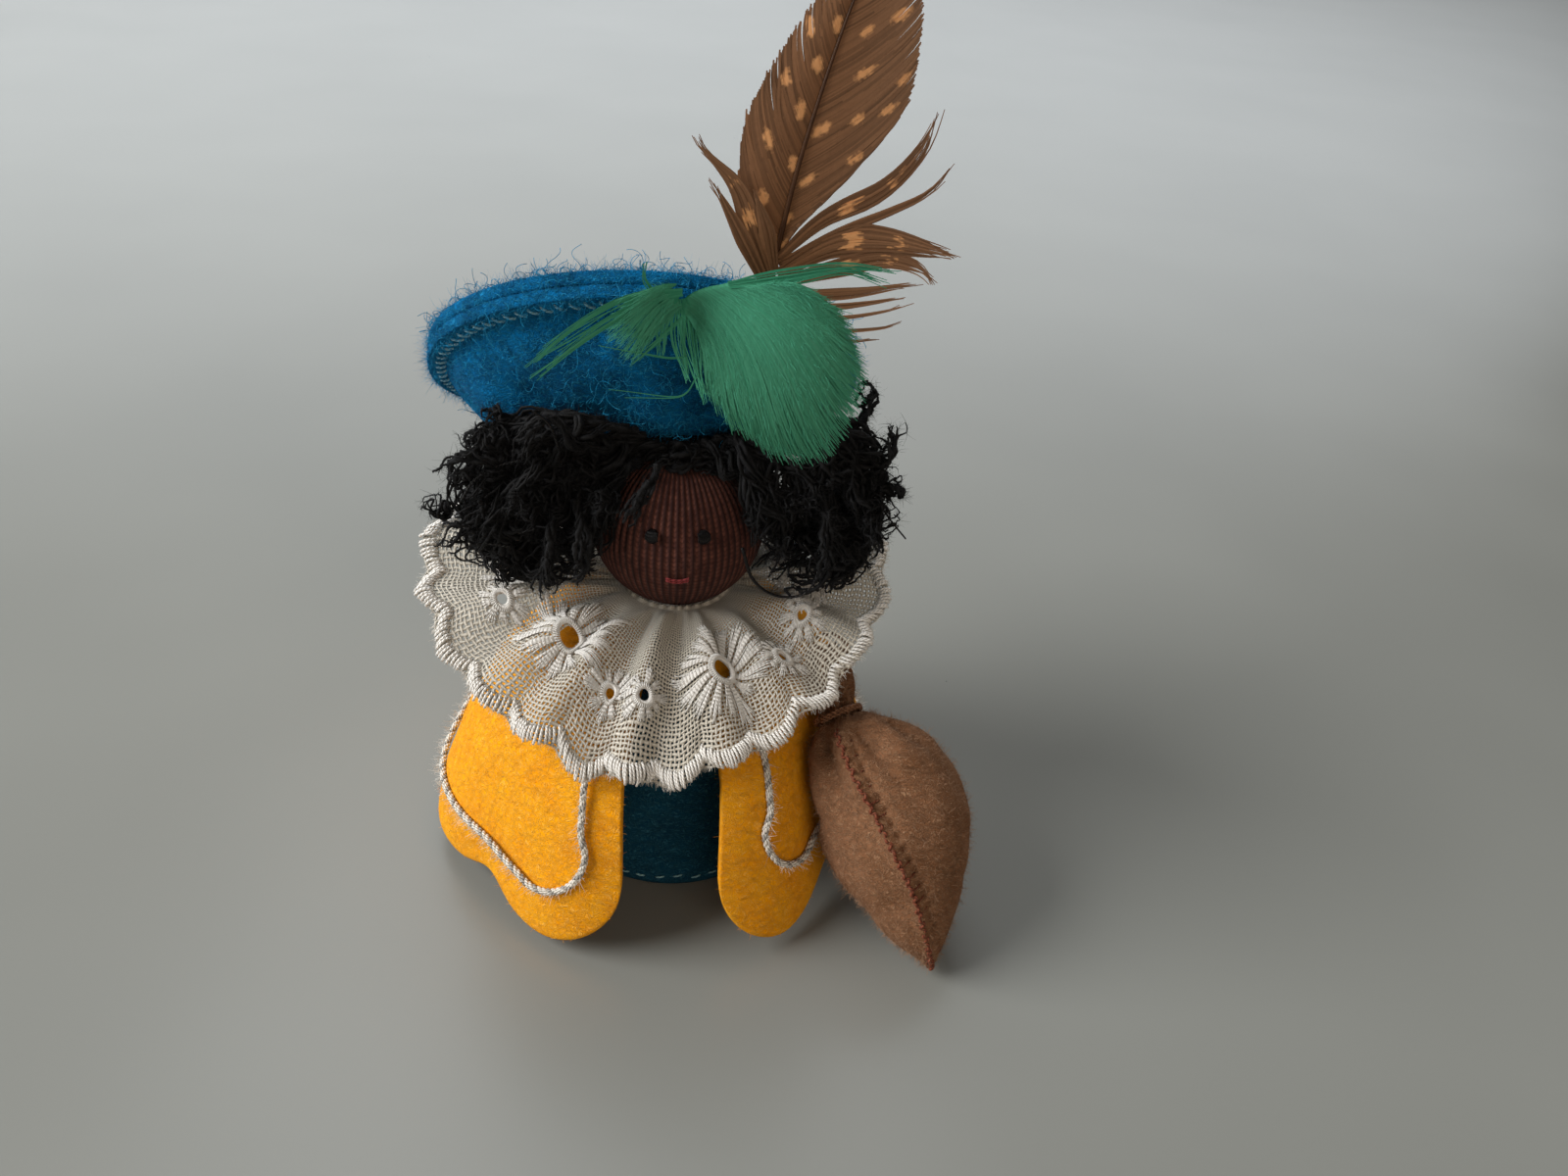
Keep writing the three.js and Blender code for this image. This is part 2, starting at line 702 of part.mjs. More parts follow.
// A point in the beret's own leaning frame: across, up over the face, and out of the crown.
function hatPlace(centre, across, up, out) {
  return centre.clone()
    .add(new THREE.Vector3(across, 0, 0))
    .addScaledVector(hatFront, up)
    .addScaledVector(hatBack, out);
}

function hatRim(angle, scale, out) {
  const reach = Math.sin(angle) > 0 ? hat.frontRadius : hat.backRadius;
  const across = hat.sideRadius * scale * Math.cos(angle);
  return hatPlace(hatRimCentre, across, reach * scale * Math.sin(angle), out);
}

const seamScale = 1 - hat.seamAllowance / hat.sideRadius;

// The funnel runs from the opening (v = 0) to the seam and on as a flat edge (v = 1).
function hatUnderPoint(u, v) {
  const angle = 2 * Math.PI * u;
  const flat = 0.84;
  const below = -(hat.felt + CLEARANCE) / 2;
  const opening = hatPlace(
    hatOpening,
    hatOpeningRadius * Math.cos(angle),
    hatOpeningRadius * Math.sin(angle),
    0,
  );
  if (v > flat) {
    const scale = THREE.MathUtils.lerp(seamScale, 1, (v - flat) / (1 - flat));
    return hatRim(angle, scale, below);
  }
  const seam = hatRim(angle, seamScale, below);
  const belly = hatRim(angle, 0.8 * seamScale, -0.72 * hat.rise);
  const point = new THREE.QuadraticBezierCurve3(opening, belly, seam).getPoint(v / flat);
  const wave = hat.gatherDepth * Math.sin(hat.gathers * angle) * Math.sin(Math.PI * (v / flat));
  return point.addScaledVector(hatBack, wave);
}

function hatCrownPoint(u, v) {
  const angle = 2 * Math.PI * u;
  const above = (hat.felt + CLEARANCE) / 2;
  const flat = 0.84;
  if (v > flat) {
    const scale = THREE.MathUtils.lerp(seamScale, 1, (v - flat) / (1 - flat));
    return hatRim(angle, scale, above);
  }
  const reach = v / flat;
  const dome = hat.crown * (1 - reach ** 2) ** 0.8;
  const dimple = hat.dimple * Math.exp(-((reach / 0.35) ** 2));
  const soft = hat.gatherDepth * Math.sin(5 * angle) * reach ** 2 * (1 - reach ** 2);
  return hatRim(angle, seamScale * reach, above + dome - dimple + soft);
}

function hatUnderSheet(thickness) {
  return sheet({ columns: 48, rows: 6, wrap: true, thickness, point: hatUnderPoint });
}

function makeHat() {
  add('hat_under', hatUnderSheet(hat.felt), COLOURS.hatBlue, 0.95);
  const crown = sheet({
    columns: 48, rows: 5, wrap: true, pole: true, thickness: hat.felt, point: hatCrownPoint,
  });
  add('hat_crown', crown, COLOURS.hatBlue, 0.95);
}

// Hair: locks of black yarn round the head, held by the beret and lying on the collar

function ball(radius, columns, rows) {
  const geometry = new THREE.SphereGeometry(radius, columns, rows);
  geometry.rotateX(Math.PI / 2);
  return geometry;
}

// Everything that the yarn has to go round, with air left between; each bunch joins it when it is made.
const headRoom = ball(head.radius + 2 * CLEARANCE, 24, 14).translate(...headCentre.toArray());
let hairRoom = toSolid(headRoom)
  .add(toSolid(hatUnderSheet(hat.felt + 2 * CLEARANCE)))
  .add(toSolid(hatUnderSheet(hat.felt)))
  .add(toSolid(collarSheet(collar.lace + 2 * CLEARANCE)))
  .add(toSolid(collarSheet(collar.lace)));

// A bunch of loose locks: an uneven ball whose surface swells where the tufts are.
function lockBunch({ centre, radii, tufts, phase }, extra = 0) {
  const geometry = ball(1, 16, 10);
  const position = geometry.getAttribute('position');
  const point = new THREE.Vector3();
  for (let i = 0; i < position.count; i += 1) {
    point.fromBufferAttribute(position, i);
    const turn = Math.atan2(point.y, point.x);
    const level = Math.sin(1.5 * Math.PI * (point.z + 1));
    const swell = 1 + hair.tuft * Math.cos(tufts * turn + phase) * level;
    point.multiply(radii.clone().addScalar(extra)).multiplyScalar(swell).add(centre);
    position.setXYZ(i, point.x, point.y, point.z);
  }
  return geometry;
}

function addHair(name, geometry, room) {
  const bunch = largestPiece(toSolid(geometry).subtract(hairRoom));
  add(name, fromSolid(bunch), COLOURS.yarn, 1);
  hairRoom = hairRoom.add(toSolid(room));
}

function makeHair() {
  const points = [];
  for (let i = 0; i <= 8; i += 1) {
    const angle = degrees(90 + hair.fringeTurn * (1 - i / 4));
    const across = hatOpeningRadius * Math.cos(angle);
    const up = hatOpeningRadius * Math.sin(angle);
    points.push(hatPlace(hatOpening, across, up, -hat.felt - 0.7 * hair.fringe));
  }
  const curve = new THREE.CatmullRomCurve3(points);
  const lumps = (t) => hair.fringe * (0.75 + 0.2 * Math.sin(9 * Math.PI * t) + 0.25 * Math.sin(Math.PI * t));
  const fringe = (extra) => roundTube(curve, 18, 8, (t) => lumps(t) + extra);
  addHair('hair_fringe', fringe(0), fringe(CLEARANCE));

  const sideHeight = headCentre.z + hair.rise;
  const bunches = {
    hair_left: {
      centre: new THREE.Vector3(-hair.reach, -hair.forward, sideHeight),
      radii: new THREE.Vector3(hair.leftWidth, hair.sideDepth, hair.lock),
      tufts: 5,
      phase: 0.4,
    },
    hair_right: {
      centre: new THREE.Vector3(hair.reach, -hair.forward, sideHeight),
      radii: new THREE.Vector3(hair.rightWidth, hair.sideDepth, hair.lock),
      tufts: 5,
      phase: 2.1,
    },
    hair_back: {
      centre: new THREE.Vector3(0, head.radius + hair.backDepth / 2, headCentre.z - hair.droop),
      radii: new THREE.Vector3(hair.backWidth, hair.backDepth, hair.lock),
      tufts: 6,
      phase: 1.2,
    },
  };
  for (const [name, bunch] of Object.entries(bunches)) {
    addHair(name, lockBunch(bunch), lockBunch(bunch, CLEARANCE));
  }
}

// Feathers: their quills are sewn to the front of the beret and rise over its rim

// A place in front of the beret's felt: angle turns from the right side up to the front, v as in the funnel.
function inFrontOfHat(angle, v, out) {
  const u = angle / 360;
  const here = hatUnderPoint(u, v);
  const alongU = hatUnderPoint(u + 0.002, v).sub(here);
  const alongV = hatUnderPoint(u, v - 0.01).sub(here);
  const normal = alongU.cross(alongV).normalize();
  if (normal.y > 0) normal.negate();
  return here.addScaledVector(normal, hat.felt / 2 + CLEARANCE + out);
}

// A flat bunch of barbs that grows out of a curve on both sides; left and right give its width at 0 to 1.
function blade(curve, steps, thickness, face, left, right) {
  return sheet({
    columns: steps,
    rows: 2,
    thickness,
    point: (u, v) => {
      const at = curve.getPointAt(u);
      const across = curve.getTangentAt(u).cross(face).normalize();
      const width = v < 0.5 ? -left(u) * (1 - 2 * v) : right(u) * (2 * v - 1);
      return at.addScaledVector(across, width);
    },
  });
}

function featherCurve(points) {
  return new THREE.CatmullRomCurve3(points, false, 'centripetal');
}

const TOWARDS_VIEWER = new THREE.Vector3(0, -1, 0);

// The spotted feather's shaft bends over the rim and stands up; barbs come apart on both sides of its foot.
function makeBrownFeather() {
  const rim = inFrontOfHat(brown.rimAngle, 1, brown.quillRadius);
  const sewn = [0.62, 0.8, 0.93].map((v) => inFrontOfHat(brown.rimAngle, v, brown.quillRadius + 0.5));
  const at = (up, across = 0, forward = 0) => {
    const tipward = Math.max(0, up) / brown.length;
    return rim.clone().add(new THREE.Vector3(
      up * Math.tan(degrees(brown.lean)) + brown.bend * tipward ** 2 + across,
      brown.backward * tipward ** 2 - forward,
      up,
    ));
  };
  const stations = [0.05, 0.2, 0.45, 0.75, 0.97].map((part) => at(part * brown.length));
  const shaft = featherCurve([...sewn, ...stations]);
  const quill = roundTube(shaft, 16, 5, (t) => brown.quillRadius * (1 - 0.75 * t));

  const vaneCurve = featherCurve([
    at(brown.bareQuill), at(0.45 * brown.length), at(0.72 * brown.length), at(brown.length),
  ]);
  const left = (t) => brown.leftWidth * Math.sin(Math.PI * (0.03 + 0.965 * t) ** 0.75) ** 0.9;
  const right = (t) => brown.rightWidth * Math.sin(Math.PI * (0.03 + 0.965 * t)) ** 1.1;
  const vane = blade(vaneCurve, 12, brown.thickness, TOWARDS_VIEWER, left, right);

  // Loose bunches, in shares of the longest: where each leaves the shaft, how far it reaches across (less
  // than nothing is left), how it rises and arches, and its width as a share of the widest.
  const loose = [
    { root: 0.18, reach: -0.45, rise: 0.6, arch: -0.07, width: 1 },
    { root: 0.23, reach: -0.36, rise: 0.36, arch: -0.03, width: 0.8 },
    { root: 0.35, reach: 0.83, rise: 0.55, arch: -0.03, width: 0.85 },
    { root: 0.26, reach: 0.92, rise: 0.38, arch: 0, width: 0.8 },
    { root: 0.15, reach: 1, rise: 0.03, arch: 0.06, width: 1 },
    { root: 0.1, reach: 0.85, rise: -0.06, arch: 0.05, width: 0.65 },
    { root: 0.06, reach: 0.7, rise: -0.2, arch: 0.02, width: 0.5 },
  ];
  let solid = toSolid(quill).add(toSolid(vane));
  for (const bunch of loose) {
    const points = [0, 0.3, 0.6, 0.85, 1].map((f) => at(
      brown.barbReach * (bunch.root + bunch.rise * f ** 2 + bunch.arch * Math.sin(Math.PI * f)),
      brown.barbReach * bunch.reach * f,
      brown.forward * (Math.sin(Math.PI * Math.min(0.5, f)) + f),
    ));
    const width = (t) => brown.barbWidth * bunch.width * (0.3 + 0.7 * Math.sin(Math.PI * t ** 0.8));
    const flat = blade(featherCurve(points), 6, brown.thickness, TOWARDS_VIEWER, width, width);
    solid = solid.add(toSolid(flat));
  }
  add('brown_feather', fromSolid(largestPiece(solid)), COLOURS.brownFeather, 0.85);
}

// The green feather lies over the spotted one's foot and droops in front of the beret.
function makeGreenFeather() {
  const root = inFrontOfHat(green.rimAngle, 0.97, green.quillRadius + 0.45);
  const at = (across, down, forward) => root.clone().add(new THREE.Vector3(across, -forward, -down));
  const face = new THREE.Vector3(0.15, -1, 0.35).normalize();
  const { reach, drop, forward } = green;
  const main = featherCurve([
    at(0, 0, 0),
    at(0.35 * reach, 0.02 * drop, 0.4 * forward),
    at(0.75 * reach, 0.3 * drop, 0.8 * forward),
    at(0.98 * reach, 0.66 * drop, 0.97 * forward),
    at(reach, drop, forward),
  ]);
  const leaf = (t) => green.width * Math.sin(Math.PI * (0.06 + 0.93 * t) ** 0.85) ** 0.7;
  const fan = blade(main, 10, green.thickness, face, leaf, leaf);
  const quill = roundTube(main, 8, 4, (t) => green.quillRadius * (1 - 0.7 * t));
  let solid = toSolid(fan).add(toSolid(quill));

  // Wisps, in shares of the longest: how far each reaches across, down and forward, and its width as a share
  // of the widest.
  const wisps = [
    { across: -0.77, down: 0.45, forward: 0.04, width: 0.75 },
    { across: -0.57, down: 0.27, forward: 0.04, width: 0.8 },
    { across: -0.27, down: 0.3, forward: 0.06, width: 0.65 },
    { across: -0.2, down: -0.06, forward: 0.02, width: 0.65 },
    { across: 1, down: -0.12, forward: 0.06, width: 1 },
    { across: 0.75, down: -0.05, forward: 0.15, width: 1 },
  ];
  for (const wisp of wisps) {
    const points = [0, 0.35, 0.7, 1].map((f) => at(
      green.wispReach * wisp.across * f,
      green.wispReach * (wisp.down * f ** 1.8 - 0.04 * Math.sin(Math.PI * f)),
      green.wispReach * (wisp.forward * f + 0.03 * Math.sin(Math.PI * f)),
    ));
    const width = (t) => green.wispWidth * wisp.width * (1 - 0.85 * t);
    const flat = blade(featherCurve(points), 5, green.thickness, TOWARDS_VIEWER, width, width);
    solid = solid.add(toSolid(flat));
  }
  add('green_feather', fromSolid(largestPiece(solid)), COLOURS.greenFeather, 0.85);
}

// Sack: a flat felt bag, stuffed, tied at the neck and leaning on the cape with one corner on the table. A
// ring of thread sewn to the cape goes through its mouth, and the sack swings outwards about that ring.

// The place on the cape's outside at an azimuth and a height, and the way out of the felt there.
function onCape(azimuthDegrees, height, out) {
  let low = 0;
  let high = 1;
  for (let i = 0; i < 24; i += 1) {
    const middle = (low + high) / 2;
    if (capeSide.getPoint(middle).y > height) low = middle;
    else high = middle;
  }
  const edge = capeEdgeAzimuth(low);
  const s = (degrees(azimuthDegrees) - edge) / (2 * Math.PI - 2 * edge);
  return capePoint(s, low, out);
}

const overCape = cape.felt / 2 + CLEARANCE;
const neckOut = overCape + sack.neckRadius + sack.pleatDepth + 2 * thread.tie + CLEARANCE;
const sackNeck = onCape(sack.neckAzimuth, sack.neckHeight, neckOut);
const tipOut = polar(degrees(sack.tipAzimuth), 1, 0);
const sackTip = onCape(sack.tipAzimuth, cape.hemHeight + 0.1, 0)
  .addScaledVector(tipOut, sack.tipReach)
  .setZ(sack.tipHeight);
const sackBack = sackTip.clone().add(new THREE.Vector3(sack.backShift / 6, sack.backShift, sack.backLift));
const ringCentre = onCape(sack.hangAzimuth, sack.hangHeight, overCape + thread.loop + thread.loopRing);
const hingeAxis = polar(degrees(sack.hangAzimuth) - Math.PI / 2, 1, 0);
const frillEnd = ringCentre.clone().add(new THREE.Vector3(0, 0, -thread.loopRing));

// Half sizes of the bag along its length, from the neck (0) to the bottom edge (1).
function sackGirth(t) {
  const ends = THREE.MathUtils.lerp(sack.neckRadius, 0.75 * sack.felt, t);
  return ends + (sack.girth - sack.neckRadius / 2) * Math.sin(Math.PI * t ** 0.8) ** 0.75;
}

function sackDepth(t) {
  const bottom = sackTip.distanceTo(sackBack) / 2;
  const ends = THREE.MathUtils.lerp(sack.neckRadius, bottom, t);
  return ends + (sack.depth - (sack.neckRadius + bottom) / 2) * Math.sin(Math.PI * t ** 0.8) ** 0.75;
}

function sackMiddle(t) {
  const bottom = sackTip.clone().lerp(sackBack, 0.5);
  const belly = new THREE.Vector3(sack.bulge, -sack.bulge / 2, 0).multiplyScalar(Math.sin(Math.PI * t));
  return sackNeck.clone().lerp(bottom, t).add(belly);
}

const braidTop = cape.hemHeight + cape.sideLift + braid.rightHemInset + braid.radius;

// Moves a point out of the cape's bell and off the braid on it, so that the bag lies flat where it leans.
function clearOfCape(point, extra) {
  if (point.z > capeTop.height) return point;
  const onBraid = 1 - smooth((point.z - braidTop) / (3 * braid.radius + 2 * CLEARANCE));
  const room = cape.felt / 2 + 1.5 * CLEARANCE + extra + onBraid * (2 * braid.radius + CLEARANCE);
  const azimuth = THREE.MathUtils.radToDeg(Math.atan2(point.x, -point.y));
  const height = Math.max(point.z, cape.hemHeight);
  const wall = onCape(THREE.MathUtils.clamp(azimuth, 20, 150), height, room);
  const wallRadius = Math.hypot(wall.x, wall.y);
  const radius = Math.hypot(point.x, point.y);
  if (radius >= wallRadius) return point;
  const scale = wallRadius / radius;
  return new THREE.Vector3(point.x * scale, point.y * scale, point.z);
}

// Across the bag's width, from its back to its front corner, and through its thickness. Rings near the
// neck stand square to the bag; the last one lies along the bottom edge.
function sackAxes(along, t) {
  const edge = sackTip.clone().sub(sackBack).normalize();
  const square = edge.clone().addScaledVector(along, -edge.dot(along)).normalize();
  const widthWay = square.lerp(edge, t * t).normalize();
  return [widthWay, along.clone().cross(widthWay).normalize()];
}

function pleatedRing({ middle, along, t, width, thickness, pleat, inset, sides }) {
  const [widthWay, thickWay] = sackAxes(along, t);
  const ring = [];
  for (let k = 0; k < sides; k += 1) {
    const angle = (2 * Math.PI * k) / sides;
    const wave = pleat * Math.cos(sack.pleats * angle);
    const point = middle.clone()
      .addScaledVector(widthWay, (width + wave) * Math.cos(angle))
      .addScaledVector(thickWay, (thickness + wave) * Math.sin(angle));
    ring.push(clearOfCape(point, inset));
  }
  return ring;
}

const upFrill = frillEnd.clone().sub(sackNeck).normalize();
const neckAxis = sackNeck.clone().sub(sackMiddle(0.06)).normalize().add(upFrill).normalize();
const neckLength = 2 * thread.tie + 2 * CLEARANCE;

function sackRing(t, inset, sides) {
  const tangent = sackMiddle(Math.min(1, t + 0.02)).sub(sackMiddle(Math.max(0, t - 0.02))).normalize();
  return pleatedRing({
    middle: sackMiddle(t),
    along: neckAxis.clone().negate().lerp(tangent, smooth(3 * t)).normalize(),
    t,
    width: Math.max(0.3, sackDepth(t) - inset),
    thickness: Math.max(0.3, sackGirth(t) - inset),
    pleat: sack.pleatDepth * Math.max(0, 1 - 3 * t),
    inset,
    sides,
  });
}

// The mouth: t runs from the upper end of the tied neck (0) to where the thread goes through (1) and past it.
function frillRing(t, inset, sides) {
  const start = sackNeck.clone().addScaledVector(neckAxis, neckLength);
  const open = smooth(2 * t);
  return pleatedRing({
    middle: start.clone().lerp(frillEnd, t),
    along: neckAxis.clone().lerp(upFrill, open).normalize().negate(),
    t: 0,
    width: THREE.MathUtils.lerp(sack.neckRadius, sack.frillRadius, open) - inset,
    thickness: THREE.MathUtils.lerp(sack.neckRadius, sack.frillThickness, open) - inset,
    pleat: sack.pleatDepth,
    inset,
    sides,
  });
}

function sackSolid({ inset, sides, mouth, bag }) {
  const rings = [];
  for (const t of mouth) rings.push(frillRing(t, inset, sides));
  for (const t of bag) rings.push(sackRing(t, inset, sides));
  const middleOf = (ring) => ring.reduce((sum, point) => sum.add(point), new THREE.Vector3())
    .divideScalar(ring.length);
  return toSolid(loft(rings, middleOf(rings[0]), middleOf(rings[rings.length - 1])));
}

// The ring of thread, standing square to the way the sack swings.
function threadRing(thickness, sides, segments) {
  const geometry = new THREE.TorusGeometry(thread.loopRing, thickness, sides, segments);
  const turn = new THREE.Quaternion().setFromUnitVectors(new THREE.Vector3(0, 0, 1), hingeAxis);
  geometry.applyQuaternion(turn);
  geometry.translate(...ringCentre.toArray());
  return geometry;
}

function makeSack() {
  const past = 1 + 1.1 / sackNeck.distanceTo(frillEnd);
  const bag = [0, 0.06, 0.13, 0.21, 0.3, 0.4, 0.5, 0.6, 0.7, 0.8, 0.89, 0.96, 1];
  const outside = sackSolid({ inset: 0, sides: 28, mouth: [past, 0.7, 0.35, 0], bag });
  const inner = [0.07, 0.17, 0.29, 0.42, 0.56, 0.7, 0.82, 0.91];
  const cavity = sackSolid({ inset: sack.felt, sides: 20, mouth: [past + 0.2, 0.6, 0], bag: [0, ...inner] });
  const cloth = outside.subtract(cavity).subtract(toSolid(threadRing(thread.loop + CLEARANCE, 6, 24)));
  add('sack_felt', fromSolid(largestPiece(cloth)), COLOURS.tan, 0.95);

  const wadding = sackSolid({ inset: sack.felt + CLEARANCE, sides: 20, mouth: [], bag: inner.slice(1) });
  add('sack_stuffing', fromSolid(wadding), COLOURS.wadding, 1);

  const tieRadius = sack.neckRadius + sack.pleatDepth + CLEARANCE + thread.tie;
  const tie = new THREE.TorusGeometry(tieRadius, thread.tie, 6, 20);
  tie.applyQuaternion(new THREE.Quaternion().setFromUnitVectors(new THREE.Vector3(0, 0, 1), neckAxis));
  const tiePlace = sackNeck.clone().addScaledVector(neckAxis, neckLength / 2);
  tie.translate(...tiePlace.toArray());
  add('sack_tie', tie, COLOURS.rust, 0.85);

  add('sack_loop', threadRing(thread.loop, 6, 24), COLOURS.tan, 0.85);
}

makeBody();
makeHead();
makeFace();
makeCape();
makeBraid();
makeCollar();
makeHat();
makeHair();
makeBrownFeather();
makeGreenFeather();
makeSack();

// Where the sack turns: positive angles swing it outwards.
model.userData.hinge = { pos: ringCentre.toArray(), axis: hingeAxis.toArray() };

export default model;
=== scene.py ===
# %% [markdown]
# # A felt figurine, dressed
# The frame holds the plain solids of a small felt doll: a stuffed cone, a ball head, a beret with two
# feathers, a lace collar, a cape and a sack. This lesson gives each of them its real cloth, yarn and thread.
# Shapes are worked out in millimetres and turned into metres when a mesh is made.

# %% The frame's solids, and the millimetre
import math

import bpy
import numpy as np
from mathutils import Matrix, Vector
from mathutils.bvhtree import BVHTree


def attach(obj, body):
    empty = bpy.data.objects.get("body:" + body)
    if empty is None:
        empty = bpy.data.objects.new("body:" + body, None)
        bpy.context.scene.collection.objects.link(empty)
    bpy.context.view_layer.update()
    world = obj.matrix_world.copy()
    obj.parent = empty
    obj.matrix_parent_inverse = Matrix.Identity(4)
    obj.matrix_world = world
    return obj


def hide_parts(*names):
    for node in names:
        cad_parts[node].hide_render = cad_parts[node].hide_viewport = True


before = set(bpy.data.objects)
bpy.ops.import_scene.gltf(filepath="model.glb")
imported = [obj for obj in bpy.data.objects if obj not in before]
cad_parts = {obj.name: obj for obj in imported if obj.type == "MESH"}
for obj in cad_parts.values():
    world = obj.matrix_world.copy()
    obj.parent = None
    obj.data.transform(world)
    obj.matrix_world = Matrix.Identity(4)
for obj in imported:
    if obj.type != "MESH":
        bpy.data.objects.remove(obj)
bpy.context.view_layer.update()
MM = 0.001
print("solids in the frame:", len(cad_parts))

# %% [markdown]
# ## Camera
# The photograph was taken with a phone's wide lens, close by, looking down at the doll. Such a view makes the
# hat look large and the base small, so the camera stands at the same place instead of far away with a long
# lens. Its axes are written into its matrix, because the picture is also turned a little.

# %% Camera at the photograph's place
FOCAL_PIXELS = 1202.0
PHOTO_WIDTH = 1600
CAMERA_PLACE = np.array([0.0, -116.7, 117.5])
LOOKING_DOWN, TURNED_RIGHT, ROLLED = (math.radians(v) for v in (35.0, 6.33, 4.5))


def camera_axes():
    """The camera's right, up and back directions."""
    level = np.array([math.sin(TURNED_RIGHT), math.cos(TURNED_RIGHT), 0.0])
    forward = level * math.cos(LOOKING_DOWN) - np.array([0, 0, math.sin(LOOKING_DOWN)])
    right = np.array([math.cos(TURNED_RIGHT), -math.sin(TURNED_RIGHT), 0.0])
    down = np.cross(forward, right)
    rolled_right = right * math.cos(ROLLED) - down * math.sin(ROLLED)
    rolled_down = right * math.sin(ROLLED) + down * math.cos(ROLLED)
    return rolled_right, -rolled_down, -forward


def add_camera():
    data = bpy.data.cameras.new("camera")
    data.sensor_width = 36.0
    data.lens = FOCAL_PIXELS / PHOTO_WIDTH * data.sensor_width
    data.clip_start = 0.005
    camera = bpy.data.objects.new("camera", data)
    bpy.context.scene.collection.objects.link(camera)
    pose = np.eye(4)
    pose[:3] = np.column_stack([*camera_axes(), CAMERA_PLACE * MM])
    camera.matrix_world = Matrix(pose)
    bpy.context.scene.camera = camera
    return camera


camera = add_camera()
bpy.context.scene.view_settings.view_transform = "Standard"
print("lens in mm:", round(camera.data.lens, 2))

# %% [markdown]
# ## Making meshes from numbers
# Most pieces here are either cloth, which is a grid of points, or thread, which is a tube along a path. Each
# has a helper, and both work on whole arrays, because hundreds of threads have to be made.

# %% Helpers: smooth steps, directions and new pieces
rng = np.random.default_rng(7)


def smooth(x):
    """Eases from 0 at x = 0 to 1 at x = 1, and stays level outside."""
    t = np.clip(x, 0.0, 1.0)
    return t * t * (3 - 2 * t)


def same_shape(*values):
    """Numbers and arrays as arrays of floats that all have one shape."""
    return np.broadcast_arrays(*(np.asarray(value, float) for value in values))


def around(count):
    """Angles that share out a full turn."""
    return np.linspace(0, 2 * np.pi, count, endpoint=False)


def polar(azimuth, radius, z):
    """Points round the doll's axis; azimuth 0 is the front and grows towards the right."""
    azimuth, radius, z = same_shape(azimuth, radius, z)
    return np.stack([radius * np.sin(azimuth), -radius * np.cos(azimuth), z], -1)


def unit(vectors):
    length = np.linalg.norm(vectors, axis=-1, keepdims=True)
    return vectors / np.maximum(length, 1e-9)


def new_piece(name, points, faces, material, body="figure", instead_of=(), uv=None):
    """A mesh from points in mm, put on a body of the frame, with its finish and what it stands for.

    faces is one array, or a list of arrays, each with faces of one size."""
    mesh = bpy.data.meshes.new(name)
    groups = [np.asarray(group, np.int32) for group in (faces if isinstance(faces, list) else [faces])]
    sizes = np.concatenate([np.full(len(group), group.shape[1]) for group in groups])
    corners = np.concatenate([group.ravel() for group in groups])
    points = np.array(points, np.float32)
    points[:, 2] = np.maximum(points[:, 2], 0.0)
    mesh.vertices.add(len(points))
    mesh.vertices.foreach_set("co", (points * MM).ravel())
    mesh.loops.add(len(corners))
    mesh.loops.foreach_set("vertex_index", corners)
    mesh.polygons.add(len(sizes))
    mesh.polygons.foreach_set("loop_start", np.concatenate([[0], np.cumsum(sizes)[:-1]]))
    mesh.polygons.foreach_set("use_smooth", np.ones(len(sizes), bool))
    if uv is not None:
        layer = mesh.uv_layers.new(name="UVMap")
        layer.data.foreach_set("uv", np.asarray(uv, np.float32).ravel())
    mesh.materials.append(material)
    mesh.update(calc_edges=True)
    mesh.validate()
    piece = bpy.data.objects.new(name, mesh)
    bpy.context.scene.collection.objects.link(piece)
    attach(piece, body)
    if instead_of:
        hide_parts(*instead_of)
    print(f"{name}: {len(mesh.vertices)} points, {len(mesh.polygons)} faces")
    return piece


def grid_faces(columns, rows, wrap=False):
    """The squares of a grid of points that is written column by column."""
    count = columns if wrap else columns - 1
    i, j = np.meshgrid(np.arange(count), np.arange(rows - 1), indexing="ij")
    a = i * rows + j
    b = ((i + 1) % columns) * rows + j
    return np.stack([a, b, b + 1, a + 1], -1).reshape(-1, 4)


def thicken(piece, thickness, soft=1):
    """Felt and lace get their thickness from a modifier, and soft rounded edges from subdivision."""
    solid = piece.modifiers.new("thickness", "SOLIDIFY")
    solid.thickness = thickness * MM
    solid.offset = 0.0
    if soft:
        edges = piece.modifiers.new("soft edges", "SUBSURF")
        edges.levels = edges.render_levels = soft
    return piece


# %% [markdown]
# A thread is a tube. For a tube, two directions have to stay square to its path all the way without twisting,
# or the ring of points would turn and pinch. They are carried from step to step, for all threads at once. A
# barb or a fibre is so thin that a flat strip does.

# %% Helpers: tubes and strips along many paths
def tube_frames(paths):
    """Two directions square to each path, carried along it without twisting. paths is (count, steps, 3)."""
    tangent = unit(np.gradient(paths, axis=1))
    sides = [unit(np.cross(tangent[:, 0], np.array([0.31, 0.47, 0.83])))]
    for k in range(1, paths.shape[1]):
        ahead, side = tangent[:, k], sides[-1]
        sides.append(unit(side - ahead * np.sum(side * ahead, -1, keepdims=True)))
    side = np.stack(sides, 1)
    return side, np.cross(tangent, side)


